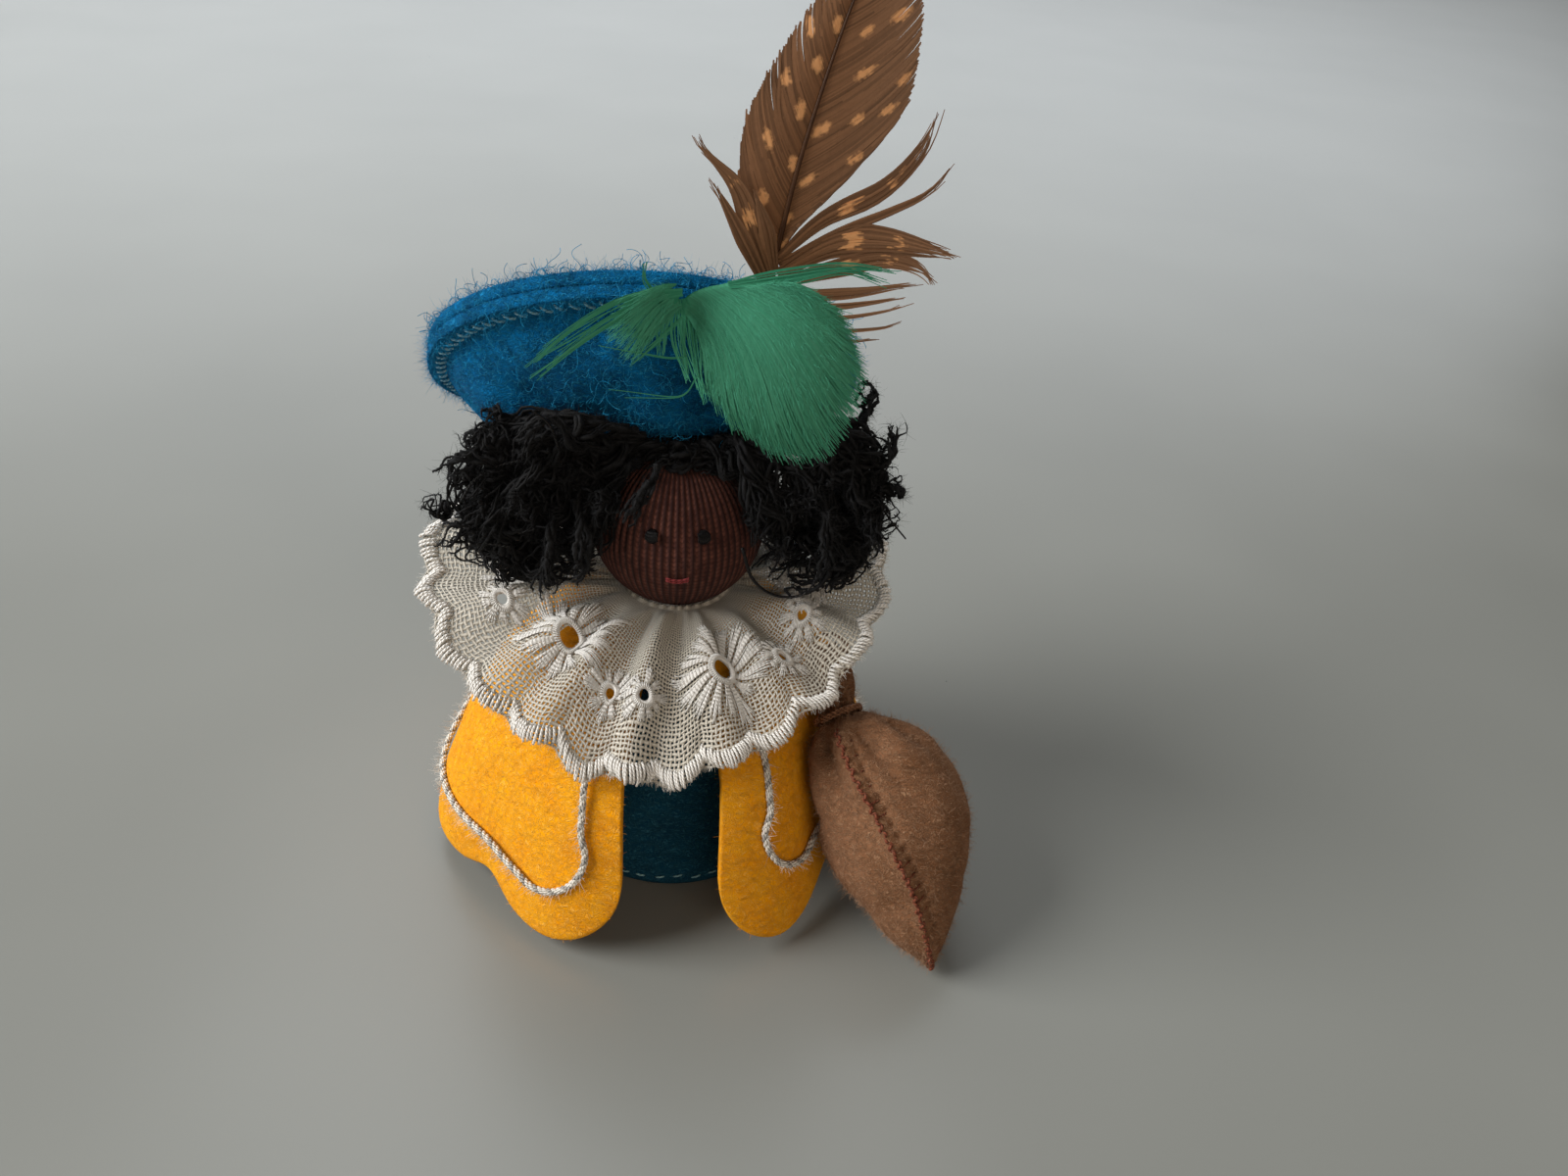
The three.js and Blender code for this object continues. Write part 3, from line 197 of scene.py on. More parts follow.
def tubes(paths, radius, sides=5):
    """Points, faces and UVs (mm along, turns around) of closed round tubes along the paths."""
    paths = np.asarray(paths, float)
    count, steps = paths.shape[:2]
    radius = np.broadcast_to(radius, (count, steps)).copy()
    side, other = tube_frames(paths)
    angle = around(sides)
    ring = side[:, :, None] * np.cos(angle)[:, None] + other[:, :, None] * np.sin(angle)[:, None]
    points = (paths[:, :, None] + ring * radius[:, :, None, None]).reshape(-1, 3)
    step = np.linalg.norm(np.diff(paths, axis=1), axis=-1)
    along = np.concatenate([np.zeros((count, 1)), np.cumsum(step, 1)], 1)

    t, k, a = np.meshgrid(np.arange(count), np.arange(steps - 1), np.arange(sides), indexing="ij")
    base = (t * steps + k) * sides
    nxt = (a + 1) % sides
    walls = np.stack([base + a, base + nxt, base + sides + nxt, base + sides + a], -1).reshape(-1, 4)
    low, high = along[t, k], along[t, k + 1]
    u = np.stack([low, low, high, high], -1).reshape(-1, 4)
    v = np.stack([a, a + 1, a + 1, a], -1).reshape(-1, 4) / sides
    first = (np.arange(count) * steps * sides)[:, None] + np.arange(sides)[::-1]
    last = first[:, ::-1] + (steps - 1) * sides
    uv = np.concatenate([np.stack([u, v], -1).reshape(-1, 2), np.zeros((2 * count * sides, 2))])
    return points, [walls, np.concatenate([first, last])], uv


def ribbons(paths, width, face):
    """Flat strips along the paths: a barb or a loose fibre. face is the direction that a strip looks in."""
    paths = np.asarray(paths, float)
    count, steps = paths.shape[:2]
    width = np.broadcast_to(width, (count, steps))[..., None]
    across = unit(np.cross(np.gradient(paths, axis=1), np.broadcast_to(face, paths.shape))) * width / 2
    points = np.stack([paths - across, paths + across], 2).reshape(-1, 3)
    t, k = np.meshgrid(np.arange(count), np.arange(steps - 1), indexing="ij")
    a = ((t * steps + k) * 2).reshape(-1)
    return points, [np.stack([a, a + 1, a + 3, a + 2], -1)]


# %% [markdown]
# Paths come from a few points each. A Catmull-Rom curve goes through all of its points, so points measured on
# the doll can be used as they are.

# %% Helpers: smooth paths, and one piece from several parts
def curve_through(points, steps):
    """A smooth path through a few points (Catmull-Rom), with even steps along it."""
    points = np.asarray(points, float)
    padded = np.vstack([2 * points[0] - points[1], points, 2 * points[-1] - points[-2]])
    fine = []
    for a, b, c, d in zip(padded[:-3], padded[1:-2], padded[2:-1], padded[3:]):
        t = np.linspace(0, 1, 24, endpoint=False)[:, None]
        fine.append(0.5 * (2 * b + (c - a) * t + (2 * a - 5 * b + 4 * c - d) * t**2
                           + (3 * b - a - 3 * c + d) * t**3))
    fine = np.vstack([*fine, points[-1:]])
    length = np.concatenate([[0], np.cumsum(np.linalg.norm(np.diff(fine, axis=0), axis=1))])
    even = np.linspace(0, length[-1], steps)
    return np.stack([np.interp(even, length, fine[:, axis]) for axis in range(3)], -1)


def flat_curve(pairs, steps):
    """A smooth path through a few pairs of numbers, lying in a plane."""
    return curve_through([(*pair, 0) for pair in pairs], steps)


def path_at(path, shares):
    """The points of a path at some shares of its way, from 0 at its start to 1 at its end."""
    steps = np.linspace(0, 1, len(path))
    return np.stack([np.interp(shares, steps, path[:, axis]) for axis in range(path.shape[1])], -1)


def join_parts(parts):
    """Several (points, faces, uv) parts as one."""
    points, faces, uvs, start = [], [], [], 0
    for part in parts:
        points.append(part[0])
        faces += [start + group for group in part[1]]
        uvs.append(part[2])
        start += len(part[0])
    return np.vstack(points), faces, np.vstack(uvs)


def thread_piece(name, parts, material, body="figure", instead_of=()):
    """One piece from several tubes, each given as its points, faces and UVs."""
    points, faces, uv = join_parts(parts)
    return new_piece(name, points, faces, material, body, instead_of, uv)


# %% [markdown]
# ## Shared looks
# Several finishes show the same effect: fibres matted into felt, plies twisted into thread. Each of these is
# a node group with named sockets, made once. A material places it, gives it its own colours and sizes, and
# keeps the shader itself.

# %% Helpers for node trees
def paint(code):
    """A colour written as it looks on screen, as Blender's linear numbers."""
    parts = [int(code[i:i + 2], 16) / 255 for i in (0, 2, 4)]
    return [p / 12.92 if p <= 0.04045 else ((p + 0.055) / 1.055) ** 2.4 for p in parts] + [1.0]


def node(tree, kind, inputs=None, **settings):
    made = tree.nodes.new(kind)
    for key, value in settings.items():
        setattr(made, key, value)
    for key, value in (inputs or {}).items():
        socket = made.inputs[key]
        if isinstance(value, bpy.types.NodeSocket):
            tree.links.new(value, socket)
        else:
            socket.default_value = value
    return made


def calc(tree, operation, *values):
    return node(tree, "ShaderNodeMath", dict(enumerate(values)), operation=operation).outputs[0]


def vector_calc(tree, operation, *values):
    return node(tree, "ShaderNodeVectorMath", dict(enumerate(values)), operation=operation).outputs[0]


def split(tree, vector):
    return node(tree, "ShaderNodeSeparateXYZ", {0: vector}).outputs


def fade(tree, value, low, high, to_low=0.0, to_high=1.0):
    return node(tree, "ShaderNodeMapRange", {0: value, 1: low, 2: high, 3: to_low, 4: to_high}).outputs[0]


def blend_colours(tree, share, first, second, kind="MIX"):
    made = node(tree, "ShaderNodeMix", {0: share, 6: first, 7: second}, data_type="RGBA", blend_type=kind)
    return made.outputs[2]


def noise(tree, vector, scale, detail=2.0, output="Fac"):
    inputs = {"Vector": vector, "Scale": scale, "Detail": detail}
    return node(tree, "ShaderNodeTexNoise", inputs).outputs[output]


def wobbled(tree, vector, scale, detail, amount):
    """A place moved a little by smooth noise, so that what is drawn on it isn't quite straight."""
    away = vector_calc(tree, "MULTIPLY", noise(tree, vector, scale, detail, "Color"), (amount,) * 3)
    return vector_calc(tree, "ADD", vector, away)


def new_group(name, inputs, outputs):
    """A node group with named sockets; inputs maps a name to its kind and first value."""
    tree = bpy.data.node_groups.new(name, "ShaderNodeTree")
    kinds = {"colour": "NodeSocketColor", "value": "NodeSocketFloat", "vector": "NodeSocketVector"}
    for label, (kind, value) in inputs.items():
        socket = tree.interface.new_socket(label, in_out="INPUT", socket_type=kinds[kind])
        if value is not None:
            socket.default_value = value
    for label, kind in outputs.items():
        tree.interface.new_socket(label, in_out="OUTPUT", socket_type=kinds[kind])
    return tree, tree.nodes.new("NodeGroupInput").outputs, tree.nodes.new("NodeGroupOutput").inputs


def place_group(tree, group, inputs):
    return node(tree, "ShaderNodeGroup", inputs, node_tree=group).outputs


# %% [markdown]
# Felt is wool that has been matted: short fibres lie in every direction, some lighter than others, and a
# darker, shaded copy of the wool colour is painted in soft random clouds as painted shade. Noise that is
# stretched about twelve times in one direction looks like fibres lying that way. Three such layers, turned
# against each other, give the matted look.

# %% Group: matted felt
def matted_felt_group():
    tree, given, out = new_group("matted felt", {
        "Position": ("vector", None),
        "Wool": ("colour", paint("808080")),
        "Shaded wool": ("colour", paint("404040")),
        "Light fibres": ("colour", paint("c0c0c0")),
        "Fibres per mm": ("value", 1.6),
        "Fibre strength": ("value", 0.5),
    }, {"Colour": "colour", "Height": "value"})
    moved = wobbled(tree, given["Position"], 0.9, 1.0, 1.6)
    layers = []
    for turn in ((0.3, 0.5, 0.2), (1.2, 0.1, 1.1), (0.2, 1.3, 2.2)):
        stretched = {"Vector": moved, "Rotation": turn, "Scale": (0.6, 7.0, 7.0)}
        turned = node(tree, "ShaderNodeMapping", stretched)
        strands = noise(tree, turned.outputs[0], given["Fibres per mm"], 1.0)
        layers.append(fade(tree, strands, 0.54, 0.76))
    fibres = calc(tree, "MAXIMUM", calc(tree, "MAXIMUM", layers[0], layers[1]), layers[2])
    # Painted shade: soft random clouds mix the shaded wool colour into the wool.
    painted_shade_clouds = noise(tree, given["Position"], 0.32, 3.0)
    ground = blend_colours(tree, fade(tree, painted_shade_clouds, 0.3, 0.7), given["Shaded wool"], given["Wool"])
    share = calc(tree, "MULTIPLY", fibres, given["Fibre strength"])
    tree.links.new(blend_colours(tree, share, ground, given["Light fibres"]), out["Colour"])
    fine = noise(tree, given["Position"], 6.0, 2.0)
    tree.links.new(calc(tree, "MULTIPLY_ADD", fine, 0.6, fibres), out["Height"])
    return tree


matted_felt = matted_felt_group()
print("group:", matted_felt.name, [s.name for s in matted_felt.interface.items_tree])

# %% [markdown]
# Thread is two or three plies twisted together. On the tube's own UVs, which count millimetres along and
# turns around, the grooves between the plies are slanting lines: a sine of the turn plus the length. The
# grooves are coloured darker, as painted shade.

# %% Group: twisted plies
def twisted_plies_group():
    tree, given, out = new_group("twisted plies", {
        "Plies": ("value", 2.0),
        "Twist length": ("value", 1.2),
        "Thread": ("colour", paint("808080")),
        "Groove shade": ("colour", paint("404040")),
    }, {"Colour": "colour", "Height": "value"})
    where = split(tree, node(tree, "ShaderNodeUVMap").outputs[0])
    slant = calc(tree, "ADD", calc(tree, "DIVIDE", where[0], given["Twist length"]), where[1])
    phase = calc(tree, "MULTIPLY", calc(tree, "MULTIPLY", slant, given["Plies"]), math.pi)
    ridge = calc(tree, "ABSOLUTE", calc(tree, "SINE", phase))
    # Painted shade: the groove colour is mixed in where the plies dip between each other.
    tree.links.new(blend_colours(tree, fade(tree, ridge, 0.05, 0.6), given["Groove shade"], given["Thread"]),
                   out["Colour"])
    tree.links.new(ridge, out["Height"])
    return tree


twisted_plies = twisted_plies_group()
print("group:", twisted_plies.name)

# %% [markdown]
# The lace is an open plain weave: threads cross over and under, and a hole is left between them. The group
# draws both sets of threads on a flat position in millimetres. A share says how much of the pitch one set
# fills. Cover is 1 on a thread and 0 in a hole, so that a material can use it as alpha and let what lies
# behind show through.

# %% Group: open plain weave
def open_weave_group():
    tree, given, out = new_group("open weave", {
        "Flat position": ("vector", None),
        "Pitch": ("value", 0.5),
        "Share of threads down": ("value", 0.5),
        "Share of threads round": ("value", 0.7),
    }, {"Cover": "value", "Height": "value"})
    where = split(tree, wobbled(tree, given["Flat position"], 0.7, 4.0, 0.7))
    profile, cell = [], []
    for axis, share in enumerate(("Share of threads down", "Share of threads round")):
        count = calc(tree, "DIVIDE", where[axis], given["Pitch"])
        offset = calc(tree, "ABSOLUTE", calc(tree, "SUBTRACT", calc(tree, "FRACT", count), 0.5))
        reach = calc(tree, "DIVIDE", calc(tree, "MULTIPLY", offset, 2.0), given[share])
        profile.append(calc(tree, "SUBTRACT", 1.0, calc(tree, "MULTIPLY", reach, reach)))
        cell.append(calc(tree, "FLOOR", count))
    over = calc(tree, "PINGPONG", calc(tree, "ADD", cell[0], cell[1]), 1.0)
    first = calc(tree, "MULTIPLY", profile[0], fade(tree, over, 0, 1, 0.5, 1.0))
    second = calc(tree, "MULTIPLY", profile[1], fade(tree, over, 0, 1, 1.0, 0.5))
    top = calc(tree, "MAXIMUM", first, second)
    tree.links.new(fade(tree, calc(tree, "MAXIMUM", profile[0], profile[1]), -0.02, 0.06), out["Cover"])
    tree.links.new(calc(tree, "MAXIMUM", top, 0.0), out["Height"])
    return tree


open_weave = open_weave_group()
print("group:", open_weave.name)

# %% [markdown]
# Feather barbs are dyed unevenly: darker near the shaft, lighter where they fray, with a streak here and
# there. The group mixes three colours by the mesh's own numbers, which say how far out a point lies and
# whether it is in a pale spot, and adds streaks that run along the barb.

# %% Group: feather barbs
def barb_colours_group():
    tree, given, out = new_group("barb colours", {
        "Root": ("colour", paint("402010")),
        "Tip": ("colour", paint("805030")),
        "Spot": ("colour", paint("e0a070")),
    }, {"Colour": "colour", "Height": "value"})
    data = node(tree, "ShaderNodeAttribute", attribute_name="barb")
    parts = node(tree, "ShaderNodeSeparateColor", {0: data.outputs["Color"]}).outputs
    body = blend_colours(tree, parts[0], given["Root"], given["Tip"])
    streaks = blend_colours(tree, calc(tree, "MULTIPLY", parts[2], 0.45), body, (0.02, 0.01, 0.005, 1))
    place = node(tree, "ShaderNodeTexCoord").outputs["Object"]
    ragged = noise(tree, place, 1800.0, 2.0)
    spot = fade(tree, calc(tree, "MULTIPLY_ADD", ragged, 0.9, parts[1]), 0.85, 1.2)
    tree.links.new(blend_colours(tree, spot, streaks, given["Spot"]), out["Colour"])
    tree.links.new(ragged, out["Height"])
    return tree


barb_colours = barb_colours_group()
print("group:", barb_colours.name)

# %% [markdown]
# ## Materials
# Each material is a Principled shader fed by one of these groups. Wool and cotton scatter light at their
# surface, which the sheen sockets give. Sheen, being the same all over, is set on the shader itself.

# %% Helper: a material with its shader, and felts, threads and feathers from it
def new_material(name, roughness, sheen=0.0, sheen_tint=None):
    material = bpy.data.materials.new(name)
    material.use_nodes = True
    tree = material.node_tree
    shader = tree.nodes["Principled BSDF"]
    shader.inputs["Roughness"].default_value = roughness
    shader.inputs["Specular IOR Level"].default_value = 0.25
    shader.inputs["Sheen Weight"].default_value = sheen
    shader.inputs["Sheen Roughness"].default_value = 0.5
    if sheen_tint:
        shader.inputs["Sheen Tint"].default_value = sheen_tint
    return material, tree, shader


def colour_and_bump(tree, shader, colour, height, distance):
    """Gives the shader its colour, and a bump of some millimetres from a height."""
    tree.links.new(colour, shader.inputs["Base Color"])
    made = node(tree, "ShaderNodeBump", {"Height": height, "Distance": distance * MM, "Strength": 1.0})
    tree.links.new(made.outputs[0], shader.inputs["Normal"])


def millimetres(tree):
    """The place on the doll in millimetres, which stays with the piece when its body moves."""
    place = node(tree, "ShaderNodeTexCoord").outputs["Object"]
    return vector_calc(tree, "MULTIPLY", place, (1000, 1000, 1000))


def felt_material(name, wool, deep, light, strength, fibres, relief):
    material, tree, shader = new_material(name, 0.95, 0.1, paint(wool))
    shader.inputs["Specular IOR Level"].default_value = 0.1
    felt = place_group(tree, matted_felt, {
        "Position": millimetres(tree), "Wool": paint(wool), "Shaded wool": paint(deep),
        "Light fibres": paint(light), "Fibres per mm": fibres, "Fibre strength": strength,
    })
    colour_and_bump(tree, shader, felt["Colour"], felt["Height"], relief)
    return material


def thread_material(name, thread, groove, plies=2.0, twist=1.0, roughness=0.6, sheen=0.03):
    material, tree, shader = new_material(name, roughness, sheen)
    plied = place_group(tree, twisted_plies, {
        "Plies": plies, "Twist length": twist, "Thread": paint(thread), "Groove shade": paint(groove),
    })
    colour_and_bump(tree, shader, plied["Colour"], plied["Height"], 0.08)
    return material


def feather_material(name, root, tip, spot, roughness=0.5, sheen=0.05):
    material, tree, shader = new_material(name, roughness, sheen)
    barbs = place_group(tree, barb_colours, {"Root": paint(root), "Tip": paint(tip), "Spot": paint(spot)})
    colour_and_bump(tree, shader, barbs["Colour"], barbs["Height"], 0.04)
    return material


# %% [markdown]
# The colours are those of the doll's lit sides and of its hollows. A felt takes three: its wool, a shaded
# copy of it that is painted shade in soft clouds, and the light fibres on top. A thread takes its own colour
# and a darker one for its grooves, which is painted shade.

# %% The felts, threads and feathers
# Each felt's second colour and each thread's second colour are painted shade.
body_felt = felt_material("dark blue felt", "0a4460", "073650", "4a90a8", 0.55, 1.0, 0.14)
hat_felt = felt_material("bright blue felt", "0074b2", "004674", "2f9fce", 0.55, 0.9, 0.24)
hat_wool = felt_material("loose blue wool", "188abb", "0f78a8", "60bcdd", 0.5, 0.9, 0.1)
cape_wool = felt_material("yellow felt", "fbab0c", "f29a06", "ffd070", 0.5, 1.1, 0.08)
sack_wool = felt_material("tan felt", "8f664a", "7b5439", "bf9979", 0.6, 1.0, 0.14)
sack_fluff = felt_material("loose tan wool", "a8866c", "967257", "cfb094", 0.5, 1.0, 0.1)
rust_cotton = thread_material("rust thread", "7c412b", "401d12")
tan_cotton = thread_material("tan thread", "94694c", "553824")
pale_cotton = thread_material("pale blue thread", "a2d2de", "5f9bb0")
black_cotton = thread_material("black thread", "0c0b0d", "020202", roughness=0.35, sheen=0.0)
red_cotton = thread_material("soft red thread", "943a3c", "562022")
brown_cotton = thread_material("brown thread", "46272a", "1e0f0f")
white_silk = thread_material("white embroidery thread", "faf8f4", "d6d2ca", 2.0, 0.9, 0.34, 0.1)
white_cord = thread_material("white cord", "eeebe2", "8b867a", 3.0, 1.1, 0.5)
silver_ply = thread_material("silver ply", "aaa8a3", "2b2927", 2.0, 0.8, 0.35)
brown_barbs = feather_material("brown barbs", "825838", "9b7558", "e8ab74")
green_barbs = feather_material("green barbs", "2f8a69", "55ab8b", "9fdcc0", 0.7)
green_down = feather_material("green down", "4aa385", "7cc4a8", "b0dcca", 0.8)
print("materials so far:", len(bpy.data.materials))

# %% [markdown]
# ## Floor and light
# The table is plain pale grey with a few dark specks. A round soft lamp on the left is the window that gives
# the doll its lit side, and a long low one behind is the window whose light lies on the table. Two weak lamps
# and the world fill the shadows.

# %% Floor, lamps and world
def add_floor():
    half, under = 4200.0 * MM, -0.02 * MM
    points = [(x, y, under) for x, y in ((-half, -half), (half, -half), (half, half), (-half, half))]
    material, tree, shader = new_material("pale table", 0.3)
    shader.inputs["Specular IOR Level"].default_value = 0.5
    place = millimetres(tree)
    cloud = noise(tree, place, 0.012, 2.0)
    colour = blend_colours(tree, fade(tree, cloud, 0.3, 0.7), paint("7f817d"), paint("868884"))
    cells = node(tree, "ShaderNodeTexVoronoi", {"Vector": place, "Scale": 0.045})
    parts = node(tree, "ShaderNodeSeparateColor", {0: cells.outputs["Color"]}).outputs
    speck = calc(tree, "LESS_THAN", cells.outputs["Distance"], fade(tree, parts[0], 0.5, 1.0, 0.0, 0.02))
    spotted = blend_colours(tree, speck, colour, paint("2e3034"))
    tree.links.new(spotted, shader.inputs["Base Color"])
    mesh = bpy.data.meshes.new("table")
    mesh.from_pydata(points, [], [(0, 1, 2, 3)])
    mesh.materials.append(material)
    floor = bpy.data.objects.new("table", mesh)
    bpy.context.scene.collection.objects.link(floor)


def add_lamp(name, place, size, watts, colour="ffffff"):
    data = bpy.data.lights.new(name, "AREA")
    data.shape = "ELLIPSE"
    data.size, data.size_y = size
    data.energy = watts
    data.color = paint(colour)[:3]
    lamp = bpy.data.objects.new(name, data)
    bpy.context.scene.collection.objects.link(lamp)
    lamp.location = place
    doll_middle = Vector((0, 0, 0.035))
    lamp.rotation_euler = (doll_middle - lamp.location).to_track_quat("-Z", "Y").to_euler()


add_floor()
add_lamp("left window", (-1.12, -0.1, 0.8), (0.95, 0.95), 25.0, "fffdfa")
add_lamp("far window", (-0.1, 1.7, 0.5), (3.6, 0.8), 11.5, "f2f9ff")
add_lamp("ceiling", (-0.1, 0.5, 0.9), (0.7, 0.7), 3.0, "f6fbff")
add_lamp("room", (0.35, -0.8, 0.35), (0.7, 0.7), 2.0, "ffe9d2")
world = bpy.data.worlds.new("world")
bpy.context.scene.world = world
world.use_nodes = True
sky = world.node_tree.nodes["Background"]
sky.inputs["Color"].default_value = paint("e6e2da")
sky.inputs["Strength"].default_value = 0.17

# %% [markdown]
# ## Body
# The body is a stuffed felt cone. It is a turned shape: a curve that bulges a little, revolved, with the
# felt's thickness turned back inside it at the hem. Stuffing never fills evenly, so soft noise moves the
# wall in and out by a few tenths of a millimetre.

# %% Sizes of the body and head, as in the solids
GAP = 0.3
BASE_RADIUS, BODY_HEIGHT, BODY_BULGE, BODY_FELT = 16.0, 33.0, 1.8, 1.2
HEAD_RADIUS, NECK_RADIUS, NECK_LENGTH = 10.0, 3.6, 2.7
BODY_TOP = NECK_RADIUS + GAP + BODY_FELT
HEAD_MIDDLE = np.array([0, 0, BODY_HEIGHT + NECK_LENGTH + math.sqrt(HEAD_RADIUS**2 - NECK_RADIUS**2)])


def body_wall(t):
    """Radius and height of the cone's side, from the table (0) to the neck (1)."""
    middle = (BASE_RADIUS + BODY_TOP) / 2 + 2 * BODY_BULGE
    radius = (1 - t) ** 2 * BASE_RADIUS + 2 * t * (1 - t) * middle + t**2 * BODY_TOP
    return radius, t * BODY_HEIGHT


def lumps(points, size, depth, seed=0.0):
    """Soft smooth noise from a few crossing waves, the same on every run."""
    p = np.asarray(points) / size
    total = np.zeros(p.shape[:-1])
    for k, (a, b, c) in enumerate(((1, .7, .3), (-.6, 1, .8), (.4, -.9, 1.1), (1.3, .5, -.7), (.2, 1.4, .9))):
        total += np.sin(p @ np.array([a, b, c]) * (1 + 0.37 * k) + 1.7 * k + seed)
    return depth * total / 2.2


# %% [markdown]
# A turned shape is a grid: one profile, repeated round the axis. The cone's profile goes up its outside and
# down its inside, so its felt has a real thickness at the hem. The base is a thin round cushion.

# %% The felt cone and its round base
def make_body():
    columns = 180
    outer_r, outer_z = body_wall(np.linspace(0, 1, 46))
    outer_r = outer_r - 0.5 * (1 - smooth(outer_z))
    radius = np.concatenate([outer_r, outer_r[::-1] - BODY_FELT])
    height = np.concatenate([outer_z, outer_z[::-1]])
    azimuth = around(columns)[:, None]
    points = polar(azimuth, radius, height)
    stuffing = lumps(points, 4.5, 0.18) * smooth(height / 4)
    points = points + polar(azimuth, 1.0, 0.0) * stuffing[..., None]
    rows = len(radius)
    here = np.arange(columns) * rows
    after = np.roll(here, -1)
    hem_edge = np.stack([after, here, here + rows - 1, after + rows - 1], -1)
    faces = [grid_faces(columns, rows, wrap=True), hem_edge]
    piece = new_piece("stuffed_cone", points.reshape(-1, 3), faces, body_felt,
                      instead_of=["body_felt"])


def make_base():
    columns = 120
    radius = np.array([0.02, 5, 10, 13.4, 14.1, 14.3, 14.1, 13.4, 10, 5, 0.02])
    height = np.array([0.15, 0.15, 0.12, 0.05, 0.25, 0.6, 1.0, 1.15, 1.2, 1.2, 1.2])
    points = polar(around(columns)[:, None], radius, height).reshape(-1, 3)
    rows = len(radius)
    here = np.arange(columns) * rows
    faces = [grid_faces(columns, rows, wrap=True), np.stack([here[::-1], here + rows - 1])]
    new_piece("base_disc", points, faces, body_felt, instead_of=["base_felt"])


make_body()
make_base()

# %% [markdown]
# The doll is sewn by hand, and its stitches can be counted. So each is a thread of its own: a short bent tube
# that dips into the felt at both ends. Painted stitches would stay flat where the light comes from the side.

# %% Helper: stitches as short bent tubes
def stitches(starts, ends, lift, radius, outward, steps=7, sides=6):
    """One short thread from each start to each end, bowed outwards by lift and dipping in at both ends."""
    t = np.linspace(0, 1, steps)
    bow = (np.sin(np.pi * t) ** 0.6)[:, None]
    paths = starts[:, None] * (1 - t)[:, None] + ends[:, None] * t[:, None]
    paths = paths + unit(outward)[:, None] * (lift * bow - 0.6 * radius)
    thin = np.where((t < 0.01) | (t > 0.99), 0.45, 1.0)
    return tubes(paths, radius * thin, sides)


# %% [markdown]
# The round base is sewn into the cone with small pale stitches just above the table, and the cone closes
# with a seam at its back. Small random shifts keep the rows from looking machine-made.

# %% Stitches round the base and up the back seam
def make_body_stitches():
    count, rungs = 44, 22
    azimuth = around(count) + rng.normal(0, 0.012, count)
    height = 1.5 + rng.normal(0, 0.12, count)
    reach = body_wall(height / BODY_HEIGHT)[0] + 0.05
    starts = polar(azimuth, reach, height)
    ends = polar(azimuth + 0.075, reach, height + rng.normal(0.1, 0.15, count))
    hem = stitches(starts, ends, 0.1, 0.11, polar(azimuth, 1.0, 0.0))
    reach, height = body_wall(np.linspace(0.06, 0.9, rungs))
    slant = np.where(np.arange(rungs) % 2, 0.2, -0.2)
    starts = polar(np.pi - 0.5 / reach, reach + 0.15, height)
    ends = polar(np.pi + 0.5 / reach, reach + 0.15, height + slant)
    back = stitches(starts, ends, 0.15, 0.11, polar(np.full(rungs, np.pi), 1.0, 0.0))
    thread_piece("base_stitches", [hem, back], pale_cotton)


make_body_stitches()

# %% [markdown]
# ## Head
# The head is a wooden ball in a tube of fine ribbed knit, drawn together at the crown and tied at the neck.
# So the ribs run from the chin to the crown and come closer at both ends. The ribs are real in the mesh. The
# narrow pale ridge of each rib, and the single stitches that cross it, are drawn by the material, which
# paints shade into the hollows between them.

# %% Material: fine ribbed knit
RIBS = 74


def knit_material():
    material, tree, shader = new_material("brown ribbed knit", 0.9, 0.06, paint("8a6258"))
    where = split(tree, node(tree, "ShaderNodeUVMap").outputs[0])
    count = calc(tree, "MULTIPLY", where[0], float(RIBS))
    across = calc(tree, "ABSOLUTE", calc(tree, "SUBTRACT", calc(tree, "FRACT", count), 0.5))
    slanted = calc(tree, "ADD", calc(tree, "MULTIPLY", where[1], 1.7), calc(tree, "MULTIPLY", across, 1.3))
    leg = calc(tree, "ABSOLUTE", calc(tree, "SINE", calc(tree, "MULTIPLY", slanted, math.pi)))
    rib = calc(tree, "POWER", fade(tree, across, 0.5, 0.08), 1.5)
    height = calc(tree, "MULTIPLY", fade(tree, calc(tree, "POWER", leg, 0.6), 0.0, 1.0, 0.4, 1.0), rib)
    worn = noise(tree, millimetres(tree), 1.1, 2.0)
    yarn = blend_colours(tree, fade(tree, worn, 0.3, 0.75), paint("4d2b25"), paint("7a4c40"))
    # Painted shade: the dark brown 2c1613 fills the hollows between ribs and stitches, where the height is
    # low.
    colour = blend_colours(tree, fade(tree, height, 0.0, 0.9), paint("2c1613"), yarn)
    colour_and_bump(tree, shader, colour, height, 0.18)
    return material


brown_knit = knit_material()

# %% [markdown]
# The knit follows the ball down to the neck and then runs into the cone as a narrow tube. It is a grid with
# six columns to a rib, so that each rib can stand a little out of the mesh.

